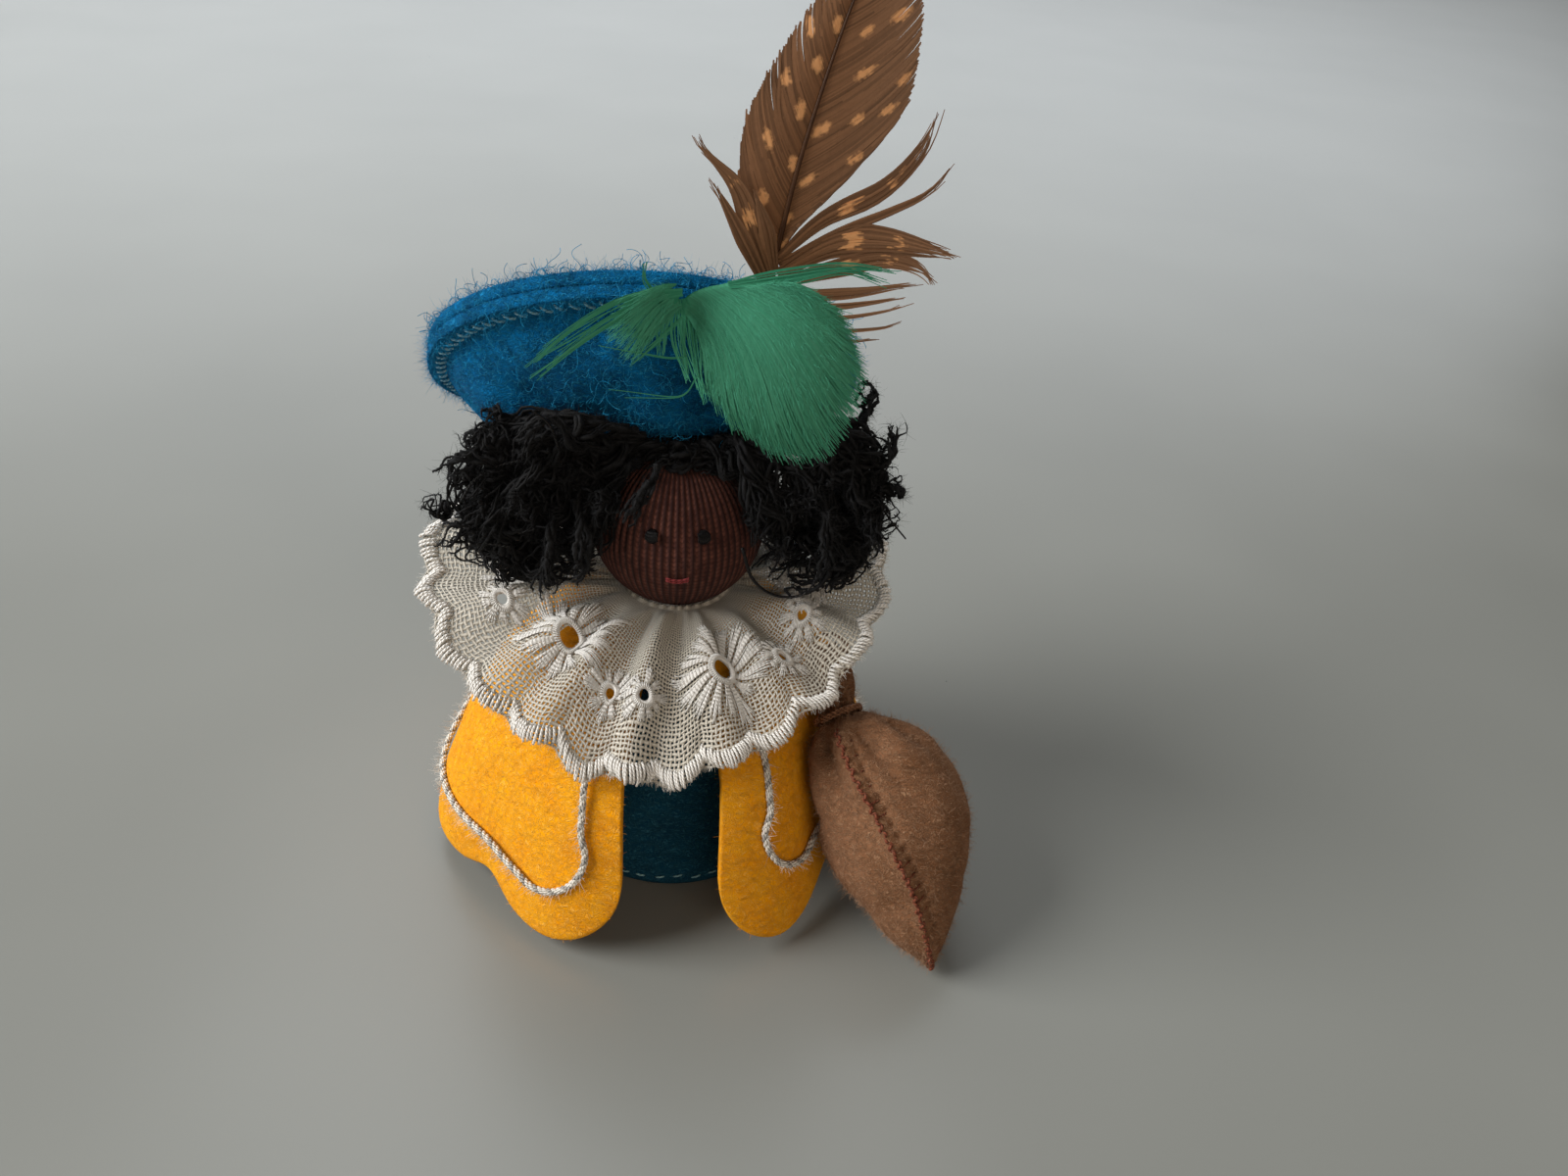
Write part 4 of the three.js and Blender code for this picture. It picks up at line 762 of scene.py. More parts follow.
# %% The knitted ball and the thread round its neck
def make_head():
    columns, rows = RIBS * 6, 150
    end = math.pi - math.asin(NECK_RADIUS / HEAD_RADIUS)
    from_crown = np.linspace(0.015, end, rows)
    azimuth = np.linspace(0, 2 * np.pi, columns + 1)[:, None]
    rib = np.abs(np.cos(azimuth * RIBS / 2)) ** 1.3
    radius = HEAD_RADIUS - 0.1 + 0.17 * smooth(6 * np.sin(from_crown)) * rib
    points = polar(azimuth, radius * np.sin(from_crown), HEAD_MIDDLE[2] + radius * np.cos(from_crown))
    along = np.linspace(0, end * HEAD_RADIUS, rows)
    neck = np.linspace(points[0, -1, 2], BODY_HEIGHT - 2.5, 8)[1:]
    points = np.concatenate([points, polar(azimuth, NECK_RADIUS - 0.1 + 0.12 * rib, neck)], 1)
    along = np.concatenate([along, along[-1] + np.linspace(0.6, 4.5, 7)])
    flat = np.stack(same_shape(azimuth / (2 * np.pi), along), -1).reshape(-1, 2)
    faces = grid_faces(columns + 1, len(along))
    new_piece("knitted_head", points.reshape(-1, 3), faces, brown_knit,
              instead_of=["head_knit"], uv=flat[faces.ravel()])


def ring_path(height, radius):
    """A level ring round the doll's axis."""
    return polar(np.linspace(0, 2 * np.pi, 120), radius, height)


def twist_round(path, reach, pitch, phase, steps_per_turn=14):
    """A strand that winds round a path, as one ply of a cord does."""
    length = np.linalg.norm(np.diff(path, axis=0), axis=1).sum()
    fine = curve_through(path, max(8, int(length / pitch * steps_per_turn)))
    side, other = tube_frames(fine[None])
    angle = np.linspace(0, 2 * np.pi * length / pitch, len(fine)) + phase
    return fine + reach * (side[0] * np.cos(angle)[:, None] + other[0] * np.sin(angle)[:, None])


def two_plies(path, reach, pitch, radius):
    """Two strands wound round each other along a path, as tubes."""
    return [tubes(twist_round(path, reach, pitch, phase)[None], radius, 6) for phase in (0, math.pi)]


make_head()
neck_ring = ring_path(BODY_HEIGHT + GAP + 0.35, NECK_RADIUS + GAP + 0.3)
thread_piece("neck_thread", two_plies(neck_ring, 0.15, 1.3, 0.16), brown_cotton,
             instead_of=["neck_tie"])

# %% [markdown]
# The face is this lesson's own: two small eyes and a short calm mouth. Each is a few satin stitches lying
# side by side on the knit, so their ends sink into the stitches of the ball.

# %% Eyes and mouth
FACE_TILT = math.radians(12)
EYE_ACROSS, EYE_UP, MOUTH_UP, MOUTH_HALF = 2.9, 1.2, -4.0, 1.25


def on_face(across, up, radius):
    """A point over the ball; across and up are millimetres on its front."""
    turn, rise = across / HEAD_RADIUS, FACE_TILT + up / HEAD_RADIUS
    look = np.stack([np.sin(turn) * np.cos(rise), -np.cos(turn) * np.cos(rise), np.sin(rise)], -1)
    return HEAD_MIDDLE + look * radius


def make_face():
    for name, side in (("eye_left", -1), ("eye_right", 1)):
        shift = np.linspace(-0.6, 0.6, 8)
        tall = 0.82 * np.sqrt(1 - (shift / 0.78) ** 2)
        low, high = (on_face(side * EYE_ACROSS + shift, EYE_UP + up, 10.2) for up in (-tall, tall))
        threads = [stitches(low, high, 0.5, 0.13, low - HEAD_MIDDLE, steps=9)]
        thread_piece(f"stitched_{name}", threads, black_cotton, instead_of=[name])
    across = np.linspace(-MOUTH_HALF, MOUTH_HALF, 5)
    drop = MOUTH_UP + 0.3 * (across / MOUTH_HALF) ** 2
    threads = []
    for row in (-0.16, 0.16):
        line = on_face(across, drop + row, 10.35)
        threads.append(stitches(line[:-1], line[1:], 0.14, 0.15, line[:-1] - HEAD_MIDDLE))
    thread_piece("stitched_mouth", threads, red_cotton, instead_of=["mouth_stitch"])


make_face()

# %% [markdown]
# ## Cape
# The cape is one piece of thick felt, cut in lobes, which stands as a bell from the neck to the table and is
# open down the front. The bell is a curve turned round the doll. Its hem is cut higher between the lobes and
# towards the sides, and the cloth bends in where the sack leans on it.

# %% The cape's shape
CAPE_TOP = (6.27, 34.86)
CAPE_SHOULDER, CAPE_HEM = (24.0, 26.0), (27.5, 1.2)
CAPE_LEFT, CAPE_RIGHT = 30.2, 27.5
CAPE_FELT, CORNER_LOBE, LOBES, LOBE_FLUTE = 1.3, 41.0, 5, 0.7
HALF_OPENING, CORNER_RADIUS, SACK_DENT = 5.2, 11, 2.2
NOTCH_HEIGHT, NOTCH_DEGREES, SIDE_RISE = 2.6, 9, 2.4
HEM_SLOPE = 2 * math.hypot(CAPE_HEM[0] - CAPE_SHOULDER[0], CAPE_SHOULDER[1] - CAPE_HEM[1])
HEM_GIRTH = math.pi * (CAPE_HEM[0] + (CAPE_LEFT + CAPE_RIGHT) / 2)
SACK_NECK_AZIMUTH, SACK_TIP_AZIMUTH = math.radians(61.5), math.radians(46.5)


def cape_side(t):
    """Radius and height of the bell's side from the neck (0) to the hem (1), and its slope there."""
    weights = [(1 - t) ** 2, 2 * t * (1 - t), t**2]
    slopes = [-2 * (1 - t), 2 - 4 * t, 2 * t]
    radius, height, along_r, along_z = (
        sum(w * p[axis] for w, p in zip(part, (CAPE_TOP, CAPE_SHOULDER, CAPE_HEM)))
        for part in (weights, slopes) for axis in (0, 1))
    length = np.hypot(along_r, along_z)
    return radius, height, along_r / length, along_z / length


def cape_edge(t):
    """The azimuth of the front edges, from the neck (0) to the hem (1)."""
    half = HALF_OPENING * (0.45 + 0.55 * np.minimum(1, 2 * t))
    return np.arcsin(np.minimum(0.8, half / cape_side(t)[0]))


def cape_point(s, t, out=0.0):
    """The middle of the felt: s runs round from the right front edge, t from the neck to the hem."""
    s, t = same_shape(s, t)
    edge = cape_edge(t)
    azimuth = edge + s * (2 * np.pi - 2 * edge)
    radius, height, along_r, along_z = cape_side(t)
    lobe_turns = (s * 360 - CORNER_LOBE) / (360 - 2 * CORNER_LOBE) * LOBES
    flute = -LOBE_FLUTE * t**2 * np.cos(2 * np.pi * lobe_turns)
    lean = (SACK_NECK_AZIMUTH + SACK_TIP_AZIMUTH) / 2 + math.radians(6)
    dent = SACK_DENT * smooth(2 * t) * np.exp(-(((azimuth - lean) / 0.42) ** 2))
    radius = radius + flute - dent - out * along_z
    height = height + out * along_r
    reach = np.where(np.sin(azimuth) < 0, CAPE_LEFT, CAPE_RIGHT)
    spread = 1 + (reach / CAPE_HEM[0] - 1) * np.minimum(1, 2 * t)
    return np.stack([radius * spread * np.sin(azimuth), -radius * np.cos(azimuth), height], -1)


def notch_rise(s):
    """How much higher the hem is cut between two lobes."""
    azimuth = s * 360
    period = (360 - 2 * CORNER_LOBE) / LOBES
    phase = (azimuth - CORNER_LOBE) / period
    near = np.abs(phase - np.round(phase)) * period
    on_corner = np.minimum(azimuth, 360 - azimuth) < CORNER_LOBE / 2
    return np.where(on_corner, 0, NOTCH_HEIGHT * np.exp(-((near / NOTCH_DEGREES) ** 2)))


def side_rise(s):
    """How much higher the hem is cut towards the sides."""
    return SIDE_RISE * np.sin(2 * np.pi * s) ** 2


def hem_end(s):
    """Where the felt ends, as a share of the way down."""
    inside = np.maximum(0, CORNER_RADIUS - HEM_GIRTH * np.minimum(s, 1 - s))
    corner = CORNER_RADIUS - np.sqrt(CORNER_RADIUS**2 - inside**2)
    return 1 - (corner + notch_rise(s) + side_rise(s)) / HEM_SLOPE


def cloth_area(points):
    """The area of a grid of cloth in square millimetres."""
    a, b = points[1:, 1:] - points[:-1, :-1], points[1:, :-1] - points[:-1, 1:]
    return 0.5 * np.linalg.norm(np.cross(a, b), axis=-1).sum()


# %% [markdown]
# Real felt never hangs as evenly as a formula, so its middle surface is moved by soft noise. The columns of
# the grid stand closer together at the front edges, where the corners are round. The thickness comes last,
# from a modifier.

# %% The cape's felt
def make_cape():
    columns, rows = 230, 56
    u = np.linspace(0, 1, columns)
    s = (u - 0.55 / (2 * np.pi) * np.sin(2 * np.pi * u))[:, None]
    t = np.linspace(0, 1, rows) * hem_end(s)
    soft = lumps(cape_point(s, t), 5.5, 0.16, 2.0) * smooth(3 * t) * (1 - 0.4 * smooth(6 * t - 5))
    points = cape_point(s, t, soft)
    print("cape's cloth in square mm:", round(cloth_area(points)))
    piece = new_piece("cape_cloth", points.reshape(-1, 3), grid_faces(columns, rows), cape_wool,
                      instead_of=["cape_felt"])
    thicken(piece, CAPE_FELT)
    return piece


cape = make_cape()

# %% [markdown]
# The braid is a cord that follows both front edges, rounds the corners and goes all along the hem, sewn flat
# on the felt. It keeps its distance from the edges, so its route is worked out from the cape's own shape.

# %% The braid's route on the cape
RIGHT_INSETS, LEFT_INSETS = (6.6, 9.6), (4.4, 7.4)
BRAID_CORNER = 7


def down_one_edge(edge_inset, hem_inset):
    """The braid's way down a front edge and round the corner, as places (s, t) on the cape."""
    turn_s, turn_t = BRAID_CORNER / HEM_GIRTH, BRAID_CORNER / HEM_SLOPE
    inset, bottom = edge_inset / HEM_GIRTH, 1 - hem_inset / HEM_SLOPE
    way = [(inset * (1 + 0.5 * (1 - t)), t) for t in np.linspace(0.42, bottom - turn_t, 5, endpoint=False)]
    for angle in np.linspace(0, np.pi / 2, 5):
        way.append((inset + turn_s * (1 - math.cos(angle)), bottom - turn_t * (1 - math.sin(angle))))
    return way


def braid_route():
    right = down_one_edge(*RIGHT_INSETS)
    left = [(1 - s, t) for s, t in down_one_edge(*LEFT_INSETS)][::-1]
    start, stop = right[-1][0], left[0][0]
    hem = []
    for s in np.linspace(start, stop, 60)[1:-1]:
        inset = RIGHT_INSETS[1] + (LEFT_INSETS[1] - RIGHT_INSETS[1]) * float(smooth(6 * (s - start)))
        hem.append((s, 1 - (inset + 0.25 * float(notch_rise(s)) + float(side_rise(s))) / HEM_SLOPE))
    route = np.array(right + hem + left)
    return curve_through(cape_point(route[:, 0], route[:, 1], CAPE_FELT / 2 + 0.5), 900)


# %% [markdown]
# Every textile here sheds fibres: the braid, the lace's edge, the yarn, the plume and the felts. One helper
# makes them all. A fibre starts along a direction and bends away to a random side.

# %% Helper: loose fibres as one piece
def fibre_piece(name, starts, ways, lengths, width, bend, material, body="figure"):
    """Fine curling strips; starts and ways are (count, 3), with one length for each fibre."""
    t = np.linspace(0, 1, 5)[:, None]
    curl = unit(rng.normal(size=starts.shape))[:, None] * bend
    paths = starts[:, None] + lengths[:, None, None] * (t * ways[:, None] + t**2 * curl)
    points, faces = ribbons(paths, width * (1 - 0.7 * t[:, 0]), unit(rng.normal(size=starts.shape))[:, None])
    return new_piece(name, points, faces, material, body)


# %% [markdown]
# The cord has three plies, one of them silver, which wind round the route a third of a turn apart. They are
# real tubes, because a cord's outline is bumpy, and a picture of a twist would leave it smooth.

# %% The braid and its loose fibres
def make_braid():
    route = braid_route()
    print("the braid's length in mm:", round(np.linalg.norm(np.diff(route, axis=0), axis=1).sum()))
    third_of_a_turn = 2.094
    plies = [tubes(twist_round(route, 0.2, 2.1, k * third_of_a_turn)[None], 0.235, 7) for k in range(3)]
    cord = thread_piece("braid_cord", plies[:2], white_cord, instead_of=["cape_braid"])
    silver = thread_piece("braid_silver", plies[2:], silver_ply)
    count = 2600
    where = route[rng.integers(0, len(route), count)]
    away = unit(where * [1, 1, 0.2] + rng.normal(0, 14, where.shape))
    fibre_piece("braid_fuzz", where + 0.5 * away, away, rng.uniform(0.3, 1.1, count), 0.05, 0.5,
                white_silk)
    return cord, silver


braid = make_braid()

# %% [markdown]
# ## Collar
# The collar is a strip of cotton eyelet lace. One long edge is drawn up on a thread round the neck, and the
# strip falls in soft gathers over the shoulders. It is low in front and rides up over the cape behind.

# %% The collar's shape
GATHER = (6.47, 36.41)
SCALLOPS = 24
LACE_STRIP = (150.0, 21.0)
LACE_STANDS = 0.06
# Where the soft folds have their ridges, in degrees from the front: wide ones at the chin, even ones behind.
RIDGES = [-180, -152, -128, -100, -76, -53, -33, -8, 19, 43, 66, 96, 124, 150, 180]


def collar_rim(azimuth):
    """Where the lace's outer edge lies round the doll, before it is folded."""
    front, back = np.maximum(0, np.cos(azimuth)), np.maximum(0, -np.cos(azimuth))
    radius = 27.5 - 6.0 * front**1.3 - 3.0 * back**2
    behind = (np.abs(azimuth) - math.radians(115)) / math.radians(32)
    height = GATHER[1] - 1.0 - 11.6 * front**1.6 + 4.6 * np.exp(-(behind**2))
    return polar(azimuth, radius, height) + np.array([-2.3, 0, 0])


def collar_ground_point(u, v):
    """The middle of the lace: u runs round from the back, v from the gathers (0) to the scallops (1).

    A little below 0 the lace stands up against the chin."""
    u, v = same_shape(u, v)
    azimuth = (u - 0.5) * 2 * np.pi
    azimuth = (azimuth + np.pi) % (2 * np.pi) - np.pi
    inner, rim = polar(azimuth, GATHER[0], GATHER[1]), collar_rim(azimuth)
    arch = inner * 0.58 + rim * 0.42
    arch[..., 2] = GATHER[1] + 1.2 + 0.35 * np.maximum(0, rim[..., 2] - GATHER[1])
    w = np.maximum(v, 0)[..., None]
    point = (1 - w) ** 2 * inner + 2 * w * (1 - w) * arch + w**2 * rim
    standing = np.clip(-v / LACE_STANDS, 0, 1)
    ripple = 0.25 * np.sin(34 * azimuth + 2 * np.sin(5 * azimuth))
    point = point + polar(azimuth, -0.3 + ripple, 0.4 + ripple) * standing[..., None]
    turns = np.interp(np.degrees(azimuth), RIDGES, np.arange(len(RIDGES)))
    chin = np.exp(-(((azimuth + 0.14) / 0.24) ** 2))
    deep = smooth(2.0 * v) * (1 - 0.4 * smooth(2.5 * v - 1.5)) + 0.9 * chin * smooth(5 * v) * (1 - 0.7 * v)
    fold = deep * np.cos(2 * np.pi * turns)
    scallop = (np.abs(np.sin(SCALLOPS / 2 * azimuth)) - 0.5) * 1.1 * smooth(3 * v - 2)
    gathers = 0.14 * np.sin(31 * azimuth + 3.5 * np.sin(4 * azimuth))
    gathers = gathers * smooth(8 * v) * (1 - smooth(2.2 * v - 0.2))
    gathers = gathers + lumps(polar(azimuth, 22.0, 6 * v), 3.4, 0.34, 3.0) * smooth(2 * v)
    point = point + polar(azimuth, 1.0, 0.0) * scallop[..., None]
    point[..., 2] += fold + gathers
    return point


def collar_point(u, v, out=0.0):
    """A place on the lace, lifted off it along its own normal."""
    u, v = same_shape(u, v)
    here = collar_ground_point(u, v)
    normal = np.cross(collar_ground_point(u, v + 0.01) - here, collar_ground_point(u + 0.001, v) - here)
    normal = unit(normal) * np.where(normal[..., 2:] < 0, -1.0, 1.0)
    return here + normal * np.asarray(out, float)[..., None]


def lace_length(u):
    """How many millimetres of lace lie between the gathers and the scallops at one place."""
    line = collar_ground_point(u, np.linspace(0, 1, 40))
    return np.linalg.norm(np.diff(line, axis=0), axis=1).sum()


# %% [markdown]
# The embroidered flowers are listed one by one: the ones in front as the lace shows them, the ones behind in
# the same rhythm. A flower is made of many threads, so its points are given in millimetres from its middle.

# %% Places of the flowers on the lace
# Each flower as its azimuth in degrees, how far down the lace it sits, and whether it is a large one.
FLOWERS = [(25, .59, 1), (-47.5, .52, 1), (98, .56, 1), (172, .56, 1), (-118, .56, 1),
           (-21.5, .65, 0), (-7, .69, 0), (49, .68, 0), (65.5, .61, 0), (73.5, .53, 0), (-87.5, .62, 0),
           (-73, .68, 0), (122, .62, 0), (135, .66, 0), (148, .62, 0), (-142, .62, 0), (-155, .66, 0),
           (-165, .6, 0), (-98, .68, 0)]


def lace_offset(flower, right, down, out=0.0):
    """A point of the lace, given in millimetres from a flower's middle."""
    azimuth, v0, _ = flower
    u0 = azimuth / 360 + 0.5
    v = v0 + down / lace_length(u0)
    reach = 6.5 + np.clip(v, 0.05, 1) * 16.5
    return collar_point(u0 + right / (2 * np.pi * reach), v, out)


# %% [markdown]
# The lace's UVs are millimetres on the flat strip. Near the neck the gathers crowd the threads until no hole
# is left, so both shares grow there. Further out the ground is open, and the cape's colour shows through it.
# The threads are painted darker where the weave is low, as painted shade.

# %% Material: the lace's open ground
def lace_material():
    material, tree, shader = new_material("white lace ground", 0.75, 0.05)
    flat = node(tree, "ShaderNodeUVMap").outputs[0]
    down = split(tree, flat)[1]
    weave = place_group(tree, open_weave, {
        "Flat position": vector_calc(tree, "MULTIPLY", flat, (0.68, 1.0, 1.0)), "Pitch": 0.38,
        "Share of threads down": fade(tree, down, 1.0, 7.0, 0.85, 0.54),
        "Share of threads round": fade(tree, down, 1.0, 7.0, 0.95, 0.6),
    })
    # Painted shade: the darker 9c9588 lies where the weave's height is low, at the threads' sides and where
    # they pass under.
    colour = blend_colours(tree, weave["Height"], paint("9c9588"), paint("dcd7cb"))
    tree.links.new(weave["Cover"], shader.inputs["Alpha"])
    colour_and_bump(tree, shader, colour, weave["Height"], 0.12)
    return material


lace_ground = lace_material()

# %% [markdown]
# The folds and scallops are real in the mesh, and so are the eyelets: the faces of the grid that lie inside
# one are left out. The holes between threads are far too many for that, so the material draws them.

# %% The lace ground, with its eyelets cut out
def make_collar():
    columns, rows = 760, 96
    width, height = LACE_STRIP
    u = np.linspace(0, 1, columns, endpoint=False)[:, None]
    points = collar_ground_point(u, np.linspace(-LACE_STANDS, 1, rows))
    faces = grid_faces(columns, rows, wrap=True)
    middles = points.reshape(-1, 3)[faces].mean(1)
    keep = np.ones(len(faces), bool)
    for flower in FLOWERS:
        hole = 1.2 if flower[2] else 0.75
        keep &= np.linalg.norm(middles - lace_offset(flower, 0.0, 0.0), axis=1) > hole
    column, row = np.divmod(np.arange(columns * rows), rows)
    uv = np.stack([column * width / columns, row * height / rows], -1)[faces]
    past_the_join = uv[..., 0] < uv[:, :1, 0] - 10
    uv[..., 0] += width * past_the_join
    print("collar's cloth in square mm:", round(cloth_area(np.concatenate([points, points[:1]]))))
    piece = new_piece("collar_ground", points.reshape(-1, 3), faces[keep], lace_ground,
                      instead_of=["collar_lace"], uv=uv[keep].reshape(-1, 2))
    return thicken(piece, 0.1, soft=0)


collar = make_collar()

# %% [markdown]
# The lace is worked in white silk: a buttonhole ring round each eyelet, petals of satin stitch round that,
# and a scalloped border of close stitches whose outer ends fray a little. Light glints along such silk, so
# all of these are real threads in the mesh. They lie on the lace's upper side.

# %% Flowers and border
def petal_threads(flower):
    large = flower[2]
    petals, count = (15, 15) if large else (10, 9)
    start, reach, half = (1.4, 6.0, 0.135) if large else (0.9, 2.9, 0.2)
    threads = []
    t = np.linspace(0, 1, 8)
    for petal in range(petals):
        centre = 2 * np.pi * (petal + rng.uniform(-0.14, 0.14)) / petals
        longest = reach * rng.uniform(0.72, 1.08)
        for k in np.linspace(-1, 1, count):
            long = longest * (1 - 0.12 * k**2) * rng.uniform(0.84, 1.04)
            turn = centre + half * k * (0.7 + 0.35 * t) + 0.03 * rng.normal() * t
            distance = start + (long - start) * t
            lift = 0.13 + rng.uniform(0, 0.06) + 0.13 * np.sin(np.pi * t) * (1 - 0.6 * k**2)
            threads.append(lace_offset(flower, distance * np.sin(turn), distance * np.cos(turn), lift))
    return np.array(threads)


def eyelet_ring(flower):
    hole, wraps = (1.35, 48) if flower[2] else (0.88, 32)
    t = np.linspace(0, 2 * np.pi, 9)
    distance, lift = hole + 0.3 * np.cos(t), 0.2 + 0.28 * np.sin(t)
    turns = [2 * np.pi * k / wraps for k in range(wraps)]
    return np.array([lace_offset(flower, distance * np.sin(turn), distance * np.cos(turn), lift)
                     for turn in turns])


def border_threads():
    count = 430
    u = (np.arange(count) + rng.uniform(-0.2, 0.2, count)) / count
    t = np.linspace(0, 1, 9)
    azimuth = (u - 0.5) * 2 * np.pi
    bay = np.abs(np.sin(SCALLOPS / 2 * azimuth))
    inner = 0.915 + 0.03 * bay + rng.uniform(-0.006, 0.006, count)
    outer = 0.99 + 0.035 * (bay - 0.5) + rng.uniform(-0.006, 0.012, count)
    v = inner[:, None] + (outer - inner)[:, None] * t
    slant = 0.0026 + rng.normal(0, 0.0004, (count, 1))
    lift = 0.52 * np.sin(np.pi * t) ** 0.6 + rng.uniform(-0.04, 0.05, (count, 1))
    return collar_point(u[:, None] + slant * t, v, lift)


def make_embroidery():
    parts = []
    for flower in FLOWERS:
        parts.append(tubes(petal_threads(flower), 0.075 if flower[2] else 0.065, 5))
        parts.append(tubes(eyelet_ring(flower), 0.09, 5))
    flowers = thread_piece("lace_flowers", parts, white_silk)
    border = thread_piece("lace_border", [tubes(border_threads(), 0.155, 7)], white_silk)
    count = 2600
    u = rng.uniform(0, 1, count)
    ends = collar_point(u, 0.995, 0.1)
    away = unit(ends - collar_point(u, 0.95, 0.1) + rng.normal(0, 0.35, (count, 3)))
    fray = fibre_piece("lace_fray", ends, away, rng.uniform(0.15, 0.75, count), 0.06, 0.3,
                       white_silk)
    return [flowers, border, fray]


embroidery = make_embroidery()
gather_ring = ring_path(CAPE_TOP[1] + 0.65 + GAP + 0.35, GATHER[0] - GAP - 0.65)
thread_piece("gather_thread", [tubes(gather_ring[None], 0.33, 8)], white_silk,
             instead_of=["collar_thread"])

# %% [markdown]
# ## Beret
# The beret is two pieces of bright blue felt: a funnel round the head, pulled in small gathers, and a round
# crown. They are sewn together a little inside their edges, so two rims stand out side by side. It sits far
# back on the head and leans, so from the front the funnel is what shows.

# %% The beret's shape
HAT_FELT, HAT_TILT, HAT_SEAT, HAT_RISE, HAT_FLAT = 1.2, math.radians(45), 7.6, 9.4, 0.84
HAT_RADIUS, HAT_LOW_RADIUS, HAT_FLANGE = 24.5, 17.0, 2.4
HAT_BACK = np.array([0, math.sin(HAT_TILT), math.cos(HAT_TILT)])
HAT_FRONT = np.array([0, -math.cos(HAT_TILT), math.sin(HAT_TILT)])
HAT_OPENING = HEAD_MIDDLE + HAT_BACK * HAT_SEAT
HAT_OPENING_RADIUS = math.sqrt((HEAD_RADIUS + 2) ** 2 - HAT_SEAT**2)
HAT_RIM_MIDDLE = HAT_OPENING + HAT_BACK * HAT_RISE + HAT_FRONT * 1.5 + np.array([-4.0, 0, 0])
SEAM_SCALE = 1 - HAT_FLANGE / HAT_RADIUS


def hat_place(middle, across, up, out):
    """A place in the tilted beret's own directions: to the right, up its front and out of its crown."""
    across, up, out = (values[..., None] for values in same_shape(across, up, out))
    return middle + across * np.array([1.0, 0, 0]) + up * HAT_FRONT + out * HAT_BACK


def hat_rim(angle, scale, out):
    reach = np.where(np.sin(angle) > 0, HAT_RADIUS, HAT_LOW_RADIUS)
    return hat_place(HAT_RIM_MIDDLE, HAT_RADIUS * scale * np.cos(angle), reach * scale * np.sin(angle), out)


def flange_scale(v):
    """The share of the rim's size at v, from the seam out to the cut edge."""
    return SEAM_SCALE + (1 - SEAM_SCALE) * np.maximum(0, v - HAT_FLAT) / (1 - HAT_FLAT)


def hat_under_point(u, v, soft=0.0):
    """The middle of the funnel's felt: from the opening (v = 0) to the seam and the edge (v = 1)."""
    u, v = same_shape(u, v)
    angle = 2 * np.pi * u
    below = -(HAT_FELT + GAP) / 2
    radius = HAT_OPENING_RADIUS
    opening = hat_place(HAT_OPENING, radius * np.cos(angle), radius * np.sin(angle), 0.0)
    seam = hat_rim(angle, SEAM_SCALE, below)
    belly = hat_rim(angle, 0.8 * SEAM_SCALE, -0.72 * HAT_RISE)
    w = np.minimum(v / HAT_FLAT, 1)[..., None]
    point = (1 - w) ** 2 * opening + 2 * w * (1 - w) * belly + w**2 * seam
    wave = (0.45 * np.sin(11 * angle) + 0.6 * np.sin(6 * angle + 1.0)) * np.sin(np.pi * w[..., 0]) + soft
    point = point + wave[..., None] * HAT_BACK
    return np.where((v > HAT_FLAT)[..., None], hat_rim(angle, flange_scale(v), below), point)


def hat_crown_point(u, v, soft=0.0):
    """The middle of the crown's felt: from its centre (v = 0) to the seam and the edge (v = 1)."""
    u, v = same_shape(u, v)
    angle = 2 * np.pi * u
    above = (HAT_FELT + GAP) / 2
    reach = np.minimum(v / HAT_FLAT, 1)
    dome = 5.5 * np.maximum(0, 1 - reach**2) ** 0.8 - 1.1 * np.exp(-((reach / 0.35) ** 2))
    puckers = 0.55 * np.sin(5 * angle) * reach**2 * (1 - reach**2) + soft
    inner = hat_rim(angle, SEAM_SCALE * reach, above + dome + puckers)
    return np.where((v > HAT_FLAT)[..., None], hat_rim(angle, flange_scale(v), above), inner)


# %% [markdown]
# Each piece is a grid round the beret, moved by soft noise that fades out at the seam, so that the two stay
# together there. The funnel bulges on its left, where it hangs over. Thickness and rounded edges come from
# modifiers.

# %% The beret's two pieces of felt
def make_hat():
    columns, rows = 260, 56
    u, v = np.linspace(0, 1, columns, endpoint=False)[:, None], np.linspace(0, 1, rows)
    angle = 2 * np.pi * u
    inside = np.sin(np.pi * np.minimum(v / HAT_FLAT, 1))
    small = 0.12 * np.sin(43 * angle + 3 * np.sin(4 * angle)) * smooth(1 - 2 * v) * inside
    belly = -1.8 * np.exp(-(1 + np.cos(angle)) / 0.45)
    soft = (lumps(hat_under_point(u, v), 3.8, 0.5, 1.0) + small + belly) * inside
    under = hat_under_point(u, v, soft)
    v = np.maximum(v, 0.004)
    fade_out = np.clip(1 - np.linspace(0, 1, rows) / HAT_FLAT, 0, 1) ** 0.5
    crown = hat_crown_point(u, v, lumps(hat_crown_point(u, v), 4.2, 0.22, 4.0) * fade_out)
    walls, middle = grid_faces(columns, rows, wrap=True), np.arange(columns)[None] * rows
    made = []
    for name, points, faces, node_name in (("beret_funnel", under, [walls], "hat_under"),
                                           ("beret_crown", crown, [walls, middle], "hat_crown")):
        print(name, "cloth in square mm:", round(cloth_area(np.concatenate([points, points[:1]]))))
        piece = new_piece(name, points.reshape(-1, 3), faces, hat_felt,
                          instead_of=[node_name])
        made.append(thicken(piece, HAT_FELT + 0.22))
    return made


funnel, crown = make_hat()

# %% [markdown]
# Small pale stitches hold the two rims together. A row of them shows on each side, as a light dashed line
# that follows the rim.

